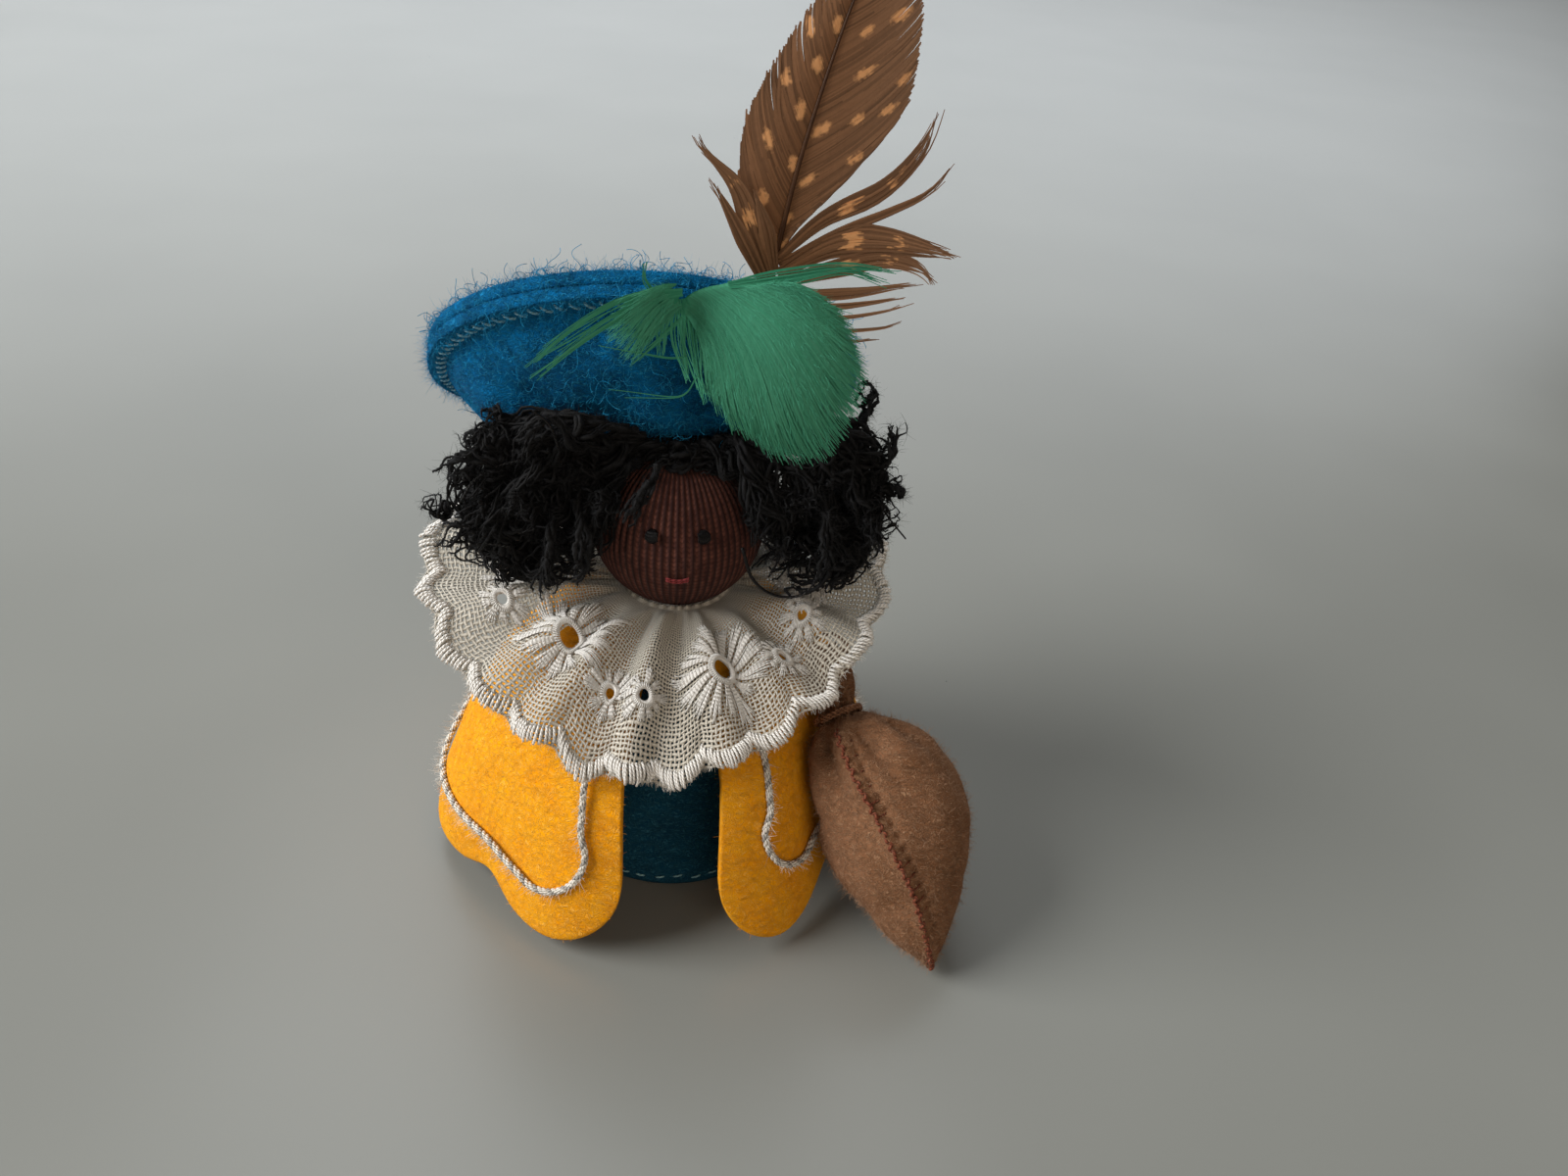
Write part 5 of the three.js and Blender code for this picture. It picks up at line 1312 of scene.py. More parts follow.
# %% The beret's seam
def make_hat_stitches():
    """A row of stitches on each side of the flange, from v = near to v = far."""
    count = 96
    u = np.arange(count) / count
    parts = []
    for surface, side, near, far, lift, radius in ((hat_under_point, -1, 0.85, 0.94, 0.32, 0.14),
                                                   (hat_crown_point, 1, 0.80, 0.885, 0.2, 0.13)):
        out = side * HAT_BACK * (HAT_FELT / 2 + 0.11)
        outward = np.tile(side * HAT_BACK, (count, 1))
        parts.append(stitches(surface(u, near) + out, surface(u + 0.006, far) + out, lift, radius, outward))
    return thread_piece("beret_seam", parts, pale_cotton)


seam = make_hat_stitches()

# %% [markdown]
# ## Hair
# The hair is frizzy black yarn, tacked on in bunches under the beret. Yarn like this is a thin core with
# short fibres standing out all round, and it lies in loose loops. Each bunch is made by letting strands
# wander inside the space that the frame keeps for it, so that they stay clear of the head and the collar.

# %% Material: black frizzy yarn
def yarn_material():
    material, tree, shader = new_material("black yarn", 0.75, 0.1, paint("3a3b40"))
    place = millimetres(tree)
    shade = noise(tree, place, 1.1, 3.0)
    colour = blend_colours(tree, fade(tree, shade, 0.4, 0.72), paint("040405"), paint("1d1e21"))
    colour_and_bump(tree, shader, colour, noise(tree, place, 9.0, 2.0), 0.08)
    return material


black_yarn = yarn_material()

# %% [markdown]
# A search tree finds the place on a solid's skin that is nearest to a point. A strand that has wandered out
# of its bunch is moved to just inside that place, and one that has wandered into the ball is moved out of it.

# %% Helpers: keeping yarn inside its space
def solid_tree(name):
    """A search tree over one of the frame's solids, in millimetres."""
    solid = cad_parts[name]
    matrix = solid.matrix_world
    points = [tuple(matrix @ v.co / MM) for v in solid.data.vertices]
    return BVHTree.FromPolygons(points, [tuple(p.vertices) for p in solid.data.polygons])


def keep_inside(tree, points, inset):
    """Moves the points that are outside a solid, or nearer than inset to its skin, back inside."""
    moved = points.copy()
    flat = moved.reshape(-1, 3)
    insets = np.broadcast_to(inset, points.shape[:-1]).ravel()
    for index, (point, room) in enumerate(zip(flat, insets)):
        place, normal, _, _ = tree.find_nearest(Vector(point))
        if (Vector(point) - place).dot(normal) > -room:
            flat[index] = np.array(place - normal * room)
    return moved


def clear_of_head(points, room):
    """Pushes points that would lie in the ball out to its surface and a little further."""
    away = points - HEAD_MIDDLE
    reach = np.linalg.norm(away, axis=-1, keepdims=True)
    return HEAD_MIDDLE + away * np.maximum(1.0, (HEAD_RADIUS + room) / np.maximum(reach, 1e-6))


# %% [markdown]
# A lock is made in two steps. First comes its path, which wanders like a loop of yarn that was pushed into
# place by hand. Then come its strands, wound loosely round that path and apart at the tip.

# %% Helpers: locks, their strands and their frizz
def waves_along(count, steps, size):
    """Slow wanderings that grow from nothing at the root."""
    f = np.linspace(0, 1, steps)[None, :, None]
    total = np.zeros((count, steps, 3))
    for waves in (2.0, 3.7, 6.5):
        phase = rng.uniform(0, 6.3, (count, 1, 3))
        total += rng.normal(0, size / waves**0.5, (count, 1, 3)) * np.sin(waves * np.pi * f + phase)
    return total * smooth(4 * f)


def locks_between(roots, tips, droop, steps=26):
    """Wavy paths from root to tip that first swing outwards and then hang."""
    f = np.linspace(0, 1, steps)[None, :, None]
    roots, tips = np.asarray(roots)[:, None], np.asarray(tips)[:, None]
    outward = unit((roots + tips) / 2 - HEAD_MIDDLE)
    way = roots * (1 - f) + tips * f + outward * 3.0 * np.sin(np.pi * f)
    way = way - np.array([0, 0, 1.0]) * np.asarray(droop)[:, None, None] * f**2
    return way + waves_along(len(roots), steps, 1.0)


def locks_along(lines, count, steps=26):
    """Locks that lie somewhere between neighbouring lines, each taking only a part of the way."""
    lines = np.array([curve_through(line, 60) for line in lines])
    share = (len(lines) - 1) * (np.arange(count) + rng.uniform(0, 1, count)) / count
    low = np.minimum(share.astype(int), len(lines) - 2)
    part = (share - low)[:, None, None]
    whole = lines[low] * (1 - part) + lines[low + 1] * part
    start, stop = rng.uniform(0, 0.3, count), rng.uniform(0.55, 1.0, count)
    locks = np.array([path_at(way, np.linspace(first, last, steps))
                      for way, first, last in zip(whole, start, stop)])
    locks = locks + waves_along(count, steps, 1.15)
    outward = unit(locks - HEAD_MIDDLE)
    return clear_of_head(locks + outward * rng.uniform(0, 1.2, (count, 1, 1)), 1.0)


def yarn_strands(locks, count, reach):
    """The strands of each lock, loosely twisted round its path and coming apart at the tip."""
    steps = 44
    t = np.linspace(0, 1, steps)
    strands = []
    for lock in locks:
        fine = curve_through(lock, steps)
        side, other = tube_frames(fine[None])
        turns = rng.uniform(0.8, 2.2) * rng.choice((-1, 1))
        for k in range(count):
            sway = 0.9 * np.sin(rng.uniform(3, 8) * t + rng.uniform(0, 6))
            angle = 2 * np.pi * (turns * t + k / count) + sway
            out = reach * (0.3 + 0.7 * rng.uniform()) * (0.8 + 0.9 * smooth(3.0 * t - 1.9))
            out = out * (1 + 0.3 * np.sin(rng.uniform(7, 12) * t + rng.uniform(0, 6)))
            wool = 0.085 * np.cumsum(rng.normal(size=(steps, 3)), 0) * smooth(2 * t)[:, None]
            strands.append(fine + side[0] * (out * np.cos(angle))[:, None]
                           + other[0] * (out * np.sin(angle))[:, None] + wool)
    return np.array(strands)


def show_yarn(name, strands, fuzz, instead_of=(), thick=(0.15, 0.3)):
    """The strands as tubes, and short fibres that stand out of them in all directions."""
    t = np.linspace(0, 1, strands.shape[1])
    radius = rng.uniform(*thick, (len(strands), 1)) * (1 - 0.65 * t**4)
    radius = radius * (1 + 0.25 * np.sin(rng.uniform(20, 40, (len(strands), 1)) * t + 6 * radius))
    thread_piece(f"{name}_strands", [tubes(strands, radius, 5)], black_yarn,
                 instead_of=instead_of)
    count = int(1.3 * fuzz)
    strand, step = rng.integers(0, len(strands), count), rng.integers(0, strands.shape[1], count)
    away = unit(rng.normal(size=(count, 3)))
    fibre_piece(f"{name}_frizz", strands[strand, step], away, rng.uniform(0.3, 1.0, count) * 1.1, 0.042, 0.9,
                black_yarn)


# %% [markdown]
# The bunches hang from under the beret at both sides of the head and behind it. Their roots are close
# together and their tips spread, most of them downwards. Every point is then kept inside the bunch's solid.

# %% The bunches at the sides and behind
def side_bunch(name, middle, radii, count, lean):
    """Locks that start under the beret by the head and end all over the bunch's outside, most of them low."""
    tree = solid_tree(name)
    middle, radii = np.array(middle), np.array(radii)
    ways = unit(rng.normal(size=(count, 3)) + np.array(lean))
    tips = middle + ways * radii * rng.uniform(0.72, 1.0, (count, 1))
    starts = unit(rng.normal(size=(count, 3)) * 0.8 + np.array([0, 0, 0.9]))
    roots = middle + starts * radii * 0.55
    locks = locks_between(roots, tips, rng.uniform(0, 2.0, count))
    return keep_inside(tree, locks, np.linspace(0.9, 0.15, locks.shape[1]))


HAIR_Z = HEAD_MIDDLE[2] + 0.9
for name, middle, radii, count, lean in (
        ("hair_left", (-15.5, -1, HAIR_Z), (9, 8.3, 8.6), 46, (-0.8, -0.5, -0.7)),
        ("hair_right", (15.5, -1, HAIR_Z), (7.6, 8.3, 8.6), 40, (0.7, -0.5, -0.6)),
        ("hair_back", (0, 12.75, HAIR_Z - 2.4), (10.5, 5.5, 8.6), 32, (0, 0.9, -0.6))):
    locks = side_bunch(name, middle, radii, count, lean)
    show_yarn(name.replace("hair", "yarn"), yarn_strands(locks, 6, 0.6), 500 * count, [name])

# %% [markdown]
# In front, the hair is laid more carefully: it is parted over the forehead and frames the face. So a few
# lines are drawn on each side, and the locks run somewhere between two neighbouring lines. The single
# threads and the locks that reach out break the outline, which would look combed without them.

# %% The fringe and the locks over the face
def make_fringe():
    """Locks across the forehead, just under the beret's opening."""
    locks = []
    for _ in range(30):
        start = rng.uniform(0.0, 0.66)
        part = np.linspace(start, start + rng.uniform(0.22, 0.34), 24)
        turn = np.radians(22 + 136 * part)
        up = HAT_OPENING_RADIUS * np.sin(turn)
        way = hat_place(HAT_OPENING, HAT_OPENING_RADIUS * np.cos(turn), up, -2.6)
        swing = rng.normal(0, 0.9, (1, 3))
        locks.append(way + swing * np.sin(np.linspace(0, rng.uniform(4, 9), 24))[:, None])
    locks = keep_inside(solid_tree("hair_fringe"), np.array(locks), 0.4)
    show_yarn("yarn_fringe", yarn_strands(locks, 5, 0.5), 9000, ["hair_fringe"])


# Lines from under the beret, over the temples and down: the first lies nearest the face, the last outside.
OVER_LEFT = [
    [(0.1, -3.6, 56.0), (-3.1, -4.2, 55.6), (-5.3, -5.6, 53.8), (-6.9, -7.0, 51.0),
     (-8.2, -7.6, 47.3), (-9.8, -6.0, 42.6)],
    [(-2.7, -3.4, 57.0), (-6.6, -4.0, 56.0), (-9.6, -5.0, 52.6), (-11.4, -5.6, 47.8), (-12.4, -6.0, 42.4)],
    [(-3.4, -4.6, 58.6), (-8.4, -6.0, 59.2), (-12.6, -7.0, 58.0), (-16.2, -7.0, 54.6),
     (-18.6, -7.0, 49.6), (-19.6, -7.0, 44.0)],
    [(-8.5, -3.8, 58.6), (-12.5, -4.6, 59.8), (-16.6, -5.0, 59.0), (-20.4, -5.0, 56.6),
     (-23.0, -5.0, 52.4), (-24.4, -5.0, 48.0)],
]
OVER_RIGHT = [
    [(0.7, -3.6, 56.2), (3.5, -4.0, 55.8), (5.8, -5.4, 54.0), (7.2, -6.8, 51.4), (8.2, -7.8, 47.9),
     (9.6, -6.4, 43.0)],
    [(3.5, -3.4, 57.0), (7.2, -4.0, 56.0), (10.0, -5.0, 52.6), (11.8, -5.4, 47.6), (12.6, -6.0, 43.0)],
    [(6.3, -4.6, 58.6), (10.8, -6.0, 59.4), (14.7, -7.0, 58.0), (17.4, -7.0, 54.0),
     (19.0, -7.0, 48.6), (19.0, -7.0, 44.0)],
    [(10.6, -3.6, 58.8), (14.8, -4.0, 60.0), (18.5, -4.0, 59.0), (20.6, -4.0, 56.0),
     (21.8, -4.0, 51.7), (21.8, -4.0, 47.4)],
]


def make_locks_over_face():
    locks = np.concatenate([locks_along(OVER_LEFT, 40), locks_along(OVER_RIGHT, 36)])
    show_yarn("yarn_over", yarn_strands(locks, 5, 0.6), 42000, thick=(0.12, 0.24))
    count, steps = 70, 14
    roots = locks[rng.integers(0, len(locks), count), rng.integers(12, 26, count)]
    away = unit(unit(roots - HEAD_MIDDLE) * [1.2, 0.6, 0.2] + rng.normal(0, 0.55, (count, 3)))
    f = np.linspace(0, 1, steps)[:, None]
    tufts = roots[:, None] + away[:, None] * rng.uniform(1.6, 3.6, (count, 1, 1)) * f
    tufts = tufts + 0.6 * waves_along(count, steps, 1.0)
    show_yarn("yarn_tufts", yarn_strands(clear_of_head(tufts, 1.0), 6, 0.5), 22000, thick=(0.1, 0.2))


# Threads that stand clear of the bunches in the photograph: their points, in millimetres, and thickness.
STRAYS = [
    ([(18.6, -7, 56), (20.3, -7, 54.6), (22.9, -7, 50.3), (25.4, -7, 47.2)], 0.16),
    ([(6.9, -11, 48.2), (8.2, -11.4, 44.4), (10.8, -11.6, 42.4), (14.0, -11.4, 42.6), (15.4, -10.4, 45.3),
      (13.6, -9.4, 48.0)], 0.2),
    ([(-14.9, -8, 57), (-18.5, -8, 55.9), (-21.2, -8, 54.1), (-22.9, -8, 51.4)], 0.22),
    ([(-18.0, -9, 46.6), (-21.1, -9, 46.8), (-23.8, -9, 45.7), (-23.0, -9, 44.6), (-20.2, -9, 45.4)], 0.16),
    ([(-12.1, -10, 59), (-12.7, -11.4, 62.5), (-14.2, -12, 64.4)], 0.2),
]
# Locks that reach out of the bunches: their points, from the root to the frayed tip.
REACHING = [
    [(17, -5, 54), (19.4, -6, 56.5), (22.6, -6, 56.8), (22.6, -6.2, 60.2)],
    [(-17, -6, 54), (-19.6, -8, 56.2), (-22.0, -8, 56.6), (-23.9, -8, 55.0)],
    [(-12.8, -8, 50), (-14.0, -10.5, 46.5), (-14.2, -11, 42.4)],
    [(-10.8, -8, 52), (-10.2, -11, 48.0), (-10.6, -11.2, 44.0)],
    [(-18.0, -7, 50), (-22.4, -9, 48.6), (-25.0, -9, 47.4)],
    [(15.6, -7, 52), (16.2, -10, 48.0), (15.4, -10.2, 44.6)],
    [(-9.6, -7.0, 58.0), (-12.0, -9.6, 61.2), (-15.0, -9.8, 61.0), (-15.8, -9.4, 58.0)],
    [(-2.2, -8.4, 56.6), (-3.4, -10.8, 54.8), (-5.4, -11.6, 52.2)],
    [(18.6, -2.5, 58.0), (20.0, -3.0, 61.0), (19.6, -3.4, 64.4)],
]


def make_strays():
    """Single threads that get thinner towards their ends, and locks with a small wave in them."""
    parts = [tubes(curve_through(points, 30)[None], thick * np.linspace(1, 0.6, 30)[None], 6)
             for points, thick in STRAYS]
    thread_piece("yarn_threads", parts, black_cotton)
    locks = np.array([curve_through(points, 26) for points in REACHING])
    locks = locks + rng.normal(0, 0.25, (len(locks), 1, 3)) * np.sin(np.linspace(0, 9, 26))[None, :, None]
    show_yarn("yarn_reaching", yarn_strands(locks, 7, 0.55), 5200)


make_fringe()
make_locks_over_face()
make_strays()

# %% [markdown]
# ## Brown feather
# A feather is a shaft with hundreds of barbs, fine side branches that cling together into a blade. Where
# they let go, near the foot, they stand out in loose bunches. So every barb here is a strip of its own. Its
# spots are dyed across many barbs at once, which is why they are worked out from the place on the blade.

# %% Helpers: where the quills are sewn, and barbs as strips
def in_front_of_hat(angle, v, out):
    """A place in front of the beret, at an angle round it in degrees and some millimetres off its felt."""
    u = angle / 360
    here = hat_under_point(u, v)
    along_u = hat_under_point(u + 0.002, v) - here
    along_v = hat_under_point(u, v - 0.01) - here
    normal = unit(np.cross(along_u, along_v))
    normal = normal * (-1 if normal[1] > 0 else 1)
    return here + normal * (HAT_FELT / 2 + GAP + out)


def barb_piece(name, parts, face, material, instead_of=()):
    """Strips from parts of (paths, width, outwards, spot, streak); a colour layer carries the last three."""
    full = [[paths, *(np.broadcast_to(numbers, paths.shape[:2]) for numbers in rest)]
            for paths, *rest in parts]
    paths, width, *numbers = (np.concatenate(column) for column in zip(*full))
    points, faces = ribbons(paths, width, face)
    piece = new_piece(name, points, faces, material, instead_of=instead_of)
    values = np.stack([*numbers, np.ones_like(width)], -1)
    values = np.repeat(values[:, :, None], 2, axis=2).reshape(-1, 4).astype(np.float32)
    layer = piece.data.color_attributes.new("barb", "FLOAT_COLOR", "POINT")
    layer.data.foreach_set("color", values.ravel())
    return paths


# %% [markdown]
# Two curves give the blade its outline, one for each side of the shaft, and every barb ends on one of them. A
# picture of a feather on a flat card would need fewer points, but it couldn't split, fray or curve.

# %% The blade: barbs from the shaft to an outline, and pale spots over them
BROWN_LENGTH = 35.5
BROWN_RIM = in_front_of_hat(60, 1, 0.55)
BROWN_FACE = np.array([0.0, -1.0, 0.0])
# The blade's left and right edges and the middle of each spot: up from the beret's rim, and across the shaft.
LEFT_EDGE = [(4.2, -0.4), (7.5, -1.4), (11, -4.0), (13.2, -4.8), (19.2, -5.9), (25.1, -4.6), (30, -3.0),
             (34, -1.6), (36.2, -0.2)]
RIGHT_EDGE = [(6.8, 0.4), (8.8, 0.9), (11.2, 2.2), (16.4, 5.8), (20.8, 8.0), (24.9, 7.6), (29.5, 6.0),
              (33.5, 3.6), (36.2, 0.5)]
SPOTS = [(26.8, 2.2), (23.5, 3.3), (19.6, 4.1), (16.2, 4.9), (11.8, 4.4), (27.3, -0.7), (24.0, -1.2),
         (18.5, 1.2), (15.4, -0.6), (14.0, 1.2), (10.4, 0.3), (22.8, -3.5), (17.6, -3.5), (12.4, -2.6),
         (23.2, 7.0), (20.6, 6.6), (28.3, 4.6), (30.6, 1.8), (31.2, -1.6), (33.2, 2.4), (34.2, 0.3),
         (8.2, -0.7), (8.0, 0.8), (27.0, -2.9), (20.2, -1.4)]


def on_brown(up, across=0.0, forward=0.0):
    """A place on the brown feather: up from the beret's rim, across the shaft and forward of the blade."""
    up, across, forward = same_shape(up, across, forward)
    tipward = np.maximum(0, up) / BROWN_LENGTH
    lean = up * math.tan(math.radians(5)) + 5.6 * tipward**2 + across
    return BROWN_RIM + np.stack([lean, 3.0 * tipward**2 - forward, up], -1)


def spot_mask(up, across):
    """How much of a pale spot is at each place; a spot is longer along the barbs than across them."""
    mask = np.zeros(np.broadcast(up, across).shape)
    shapes = np.random.default_rng(3)
    for middle_up, middle_across in SPOTS:
        lean = 0.9 if middle_across > 0 else 2.2
        along = np.array([lean, np.sign(middle_across)]) / math.hypot(lean, 1)
        d_up, d_across = up - middle_up, across - middle_across
        far = (d_up * along[0] + d_across * along[1]) / shapes.uniform(0.6, 1.05)
        wide = (d_up * along[1] - d_across * along[0]) / shapes.uniform(0.34, 0.52)
        mask = np.maximum(mask, np.clip(1.15 - 0.62 * np.hypot(far, wide), 0, 1))
    return mask


def make_brown_blade():
    """Each barb leaves the shaft below its tip and bends towards it; the sides differ in slant and colour."""
    count = 250
    f = np.linspace(0, 1, 14)
    parts = []
    for edge, swing, slant, ragged_share, near, far in ((LEFT_EDGE, 0.8, 1.7, 0.16, 0.1, 0.4),
                                                        (RIGHT_EDGE, 0.75, 1.05, 0.03, 0.25, 0.6)):
        outline = flat_curve(edge, count)
        root_up = outline[:, 0] - slant * np.abs(outline[:, 1]) - 0.15
        root_up = np.maximum.accumulate(np.maximum(root_up, 3.6 + 2.0 * np.linspace(0, 1, count)))[:, None]
        outline = outline + rng.normal(0, 0.07, (count, 3))
        tip_up, tip_across = outline[:, :1], outline[:, 1:2]
        up = root_up + (tip_up - root_up) * (swing * f + (1 - swing) * f**2)
        across = tip_across * (1 - (1 - f) ** 1.25)
        ragged = rng.uniform(size=(count, 1)) < ragged_share
        loose = ragged * smooth(2.2 * f - 1.1) * rng.normal(0, 0.3, (count, 1))
        cup = 0.35 * np.sin(np.pi * f) + 0.03 * rng.normal(0, 1, (count, 1)) * f + 0.5 * np.abs(loose)
        paths = on_brown(up + 0.4 * loose, across + loose, cup)
        streak = np.clip(0.3 + 0.5 * rng.normal(0, 1, (count, 1)), 0, 1)
        parts.append((paths, 0.3 * (1 - 0.5 * f**3), near + far * f, spot_mask(up, across), streak))
    barb_piece("brown_blade", parts, BROWN_FACE, brown_barbs, ["brown_feather"])


# %% [markdown]
# Near the foot the barbs have let go of each other and stand out in bunches, which give this feather much of
# its look. Each bunch follows its own middle line. The shaft's foot lies on the beret and is sewn down with
# three black stitches.

# %% The barbs that have let go, and the shaft
# Each loose bunch: the middle line (up, across) and its widths at the root, the middle and near the tip.
LOOSE = [
    ([(6.8, 0.2), (10.7, 3.5), (13.7, 8.2), (17.4, 10.6), (21.3, 11.0)], (0.6, 2.0, 1.3)),
    ([(6.2, 0.3), (9.3, 4.8), (11.9, 9.7), (13.9, 12.8), (16.6, 14.2)], (0.4, 0.8, 0.5)),
    ([(5.2, 0.4), (8.4, 5.1), (9.0, 9.6), (8.4, 14.5), (7.7, 17.6)], (0.9, 3.2, 1.5)),
    ([(4.3, 0.5), (6.0, 5.6), (7.3, 10.0), (6.6, 14.0), (5.0, 16.0)], (0.8, 2.0, 1.2)),
    ([(3.4, 0.4), (3.4, 4.5), (4.0, 9.0), (5.4, 14.6)], (0.7, 1.1, 0.5)),
    ([(2.8, 0.4), (2.2, 5.2), (3.0, 10.1), (4.2, 14.0)], (0.5, 0.6, 0.3)),
    ([(2.2, 0.4), (1.2, 6.2), (2.0, 10.9), (3.4, 14.6)], (0.3, 0.3, 0.2)),
    ([(1.8, 0.4), (0.0, 6.4), (0.4, 11.2), (1.4, 13.4)], (0.3, 0.3, 0.2)),
    ([(1.4, 0.4), (-1.0, 7.0), (-0.8, 11.6)], (0.2, 0.3, 0.2)),
    ([(5.4, 0.1), (9.6, -1.6), (13.6, -3.8)], (0.6, 1.4, 0.5)),
    ([(4.4, 0.0), (9.7, -2.9), (13.6, -5.4), (16.5, -8.9), (18.1, -10.2)], (0.8, 1.9, 0.5)),
    ([(3.4, 0.0), (8.2, -3.3), (12.0, -6.1), (14.6, -8.2)], (0.6, 1.3, 0.4)),
]


def make_brown_loose():
    steps = 18
    f = np.linspace(0, 1, steps)
    parts = []
    for line, (root, middle, tip) in LOOSE:
        spine = flat_curve(line, steps)
        normal = unit(np.cross(np.gradient(spine, axis=0), [0, 0, 1.0]))
        half = 0.5 * np.interp(f, [0, 0.45, 0.8, 1.0], [root, middle, tip, 0.1])
        for k in np.linspace(-1, 1, max(3, int(round(middle / 0.14)))):
            flat = spine + normal * (half * k)[:, None]
            stray = rng.normal(0, 0.22) * smooth(4 * f - 3)
            flat = path_at(flat + normal * stray[:, None], f * rng.uniform(0.86, 1.0))
            paths = on_brown(flat[:, 0], flat[:, 1], 0.5 + f + 0.04 * rng.normal())
            inner = abs(k) < 0.6
            spots = (0.75 * ((f > 0.4) & (f < 0.5) & (middle > 1.5) & inner)
                     + 0.7 * ((f > 0.66) & (f < 0.74) & (middle > 1.8) & inner))
            streak = np.clip(rng.normal(0.5, 0.4), 0, 1)
            parts.append((paths[None], 0.23 * (1 - 0.7 * f**3), 0.2 + 0.6 * f, spots, streak))
    barb_piece("brown_loose_barbs", parts, BROWN_FACE, brown_barbs)


def make_brown_shaft():
    sewn = [in_front_of_hat(60, v, 0.55 + 0.5) for v in (0.62, 0.8, 0.93)]
    stations = [on_brown(part * BROWN_LENGTH, 0.0, 0.15) for part in (0.05, 0.2, 0.45, 0.75, 0.97)]
    shaft = curve_through(sewn + stations, 90)
    t = np.linspace(0, 1, 90)
    material, tree, shader = new_material("feather shaft", 0.4)
    colour = blend_colours(tree, noise(tree, millimetres(tree), 0.8), paint("2a170d"), paint("5a3a22"))
    tree.links.new(colour, shader.inputs["Base Color"])
    thread_piece("brown_shaft", [tubes(shaft[None], (0.42 * (1 - 0.8 * t**0.7))[None], 8)], material)
    loops = []
    for part in (0.35, 0.6, 0.85):
        middle = in_front_of_hat(60, 0.62 + 0.31 * part, 0.9)
        places = ([-1.0, 0.5, 0.1], [0, -0.62, 0.0], [1.0, 0.5, 0.1])
        loops.append(curve_through([middle + place for place in places], 9))
    thread_piece("quill_stitches", [tubes(np.array(loops), 0.13, 6)], black_cotton)


make_brown_blade()
make_brown_loose()
make_brown_shaft()

# %% [markdown]
# ## Green feather
# This one is a soft marabou plume, dyed green. Its barbs don't cling to each other at all: they wave, and
# their tips stand apart like the teeth of a comb. It lies over the brown feather's foot and droops in front
# of the beret.

# %% The green plume's lines and its surface
GREEN_ROOT = in_front_of_hat(79, 0.97, 0.9)
GREEN_FACE = unit(np.array([0.15, -1.0, 0.35]))
# Where the plume's barbs start and end, from one side of it to the other: across and down from the root.
PLUME_STARTS = [(-0.7, -0.4), (-0.4, -1.9), (0.3, -2.8), (1.2, -3.5), (2.1, -4.0), (3.0, -4.4), (3.8, -4.8),
                (4.7, -5.1), (5.6, -5.3), (6.5, -5.4), (7.4, -5.4), (7.8, -5.4)]
PLUME_ENDS = [(2.4, 6.1), (4.3, 8.6), (6.8, 10.3), (9.8, 12.3), (12.3, 12.5), (14.6, 11.1), (16.0, 7.8),
              (16.9, 4.6), (16.4, 1.6), (15.2, -1.3), (13.3, -3.7), (10.5, -5.1)]
SIDE_STARTS = [(-0.3, -1.2), (-0.7, -1.7), (-1.1, -2.3), (-1.3, -2.8), (-1.5, -3.2), (-1.6, -3.6),
               (-1.1, -4.1)]
SIDE_ENDS = [(-3.1, 1.1), (-4.3, 2.0), (-5.7, 3.5), (-6.4, 1.6), (-7.4, 0.8), (-6.7, -1.4), (-5.6, -3.0)]
WISPS = [
    ([(-0.6, -3.3), (-5.6, -3.0), (-10.5, -0.7), (-15.2, 3.2)], 12, 0.6),
    ([(-0.6, -2.8), (-5.2, -1.8), (-10.1, 0.8), (-14.7, 4.5)], 14, 0.7),
    ([(-0.9, -3.0), (-5.6, -2.2), (-9.1, -0.5), (-13.9, 2.4)], 6, 0.5),
    ([(-3.0, -3.0), (-4.0, -4.9), (-4.1, -7.2)], 5, 0.35),
    ([(3.6, -4.6), (8.6, -6.4), (13.8, -7.6), (19.0, -7.3)], 16, 0.9),
    ([(4.4, -4.8), (9.5, -6.3), (13.8, -7.2), (18.0, -6.0)], 12, 0.8),
    ([(-0.6, 0.2), (-3.0, 2.0), (-5.7, 3.8)], 7, 0.4),
    ([(-0.5, -2.2), (0.3, 2.4), (2.0, 7.4)], 16, 1.0),
    ([(-0.8, -1.6), (-0.9, 2.2), (0.2, 5.6)], 14, 0.9),
    ([(-1.2, -2.6), (-2.5, 0.4), (-2.4, 3.4)], 12, 0.9),
    ([(0.0, 3.4), (-2.6, 3.2), (-9.2, 0.9)], 2, 0.1),
    ([(1.0, 4.8), (-1.0, 6.6), (-7.5, 5.6)], 2, 0.1),
]


def on_green(across, down, out=0.0):
    """A place on the plume, which comes forward over the beret's rim; out lifts a barb off it."""
    across, down, out = same_shape(across, down, out)
    forward = 6.5 * np.sin(np.minimum(1, np.hypot(across, down) / 14) * np.pi / 2)
    return GREEN_ROOT + np.stack([across, -forward, -down], -1) + out[..., None] * GREEN_FACE


# %% [markdown]
# Three layers of barbs, each a little above the one before, give the depth of real down. Fine fluff grows out
# of the barbs, and a few wisps leave the plume and cross the beret.

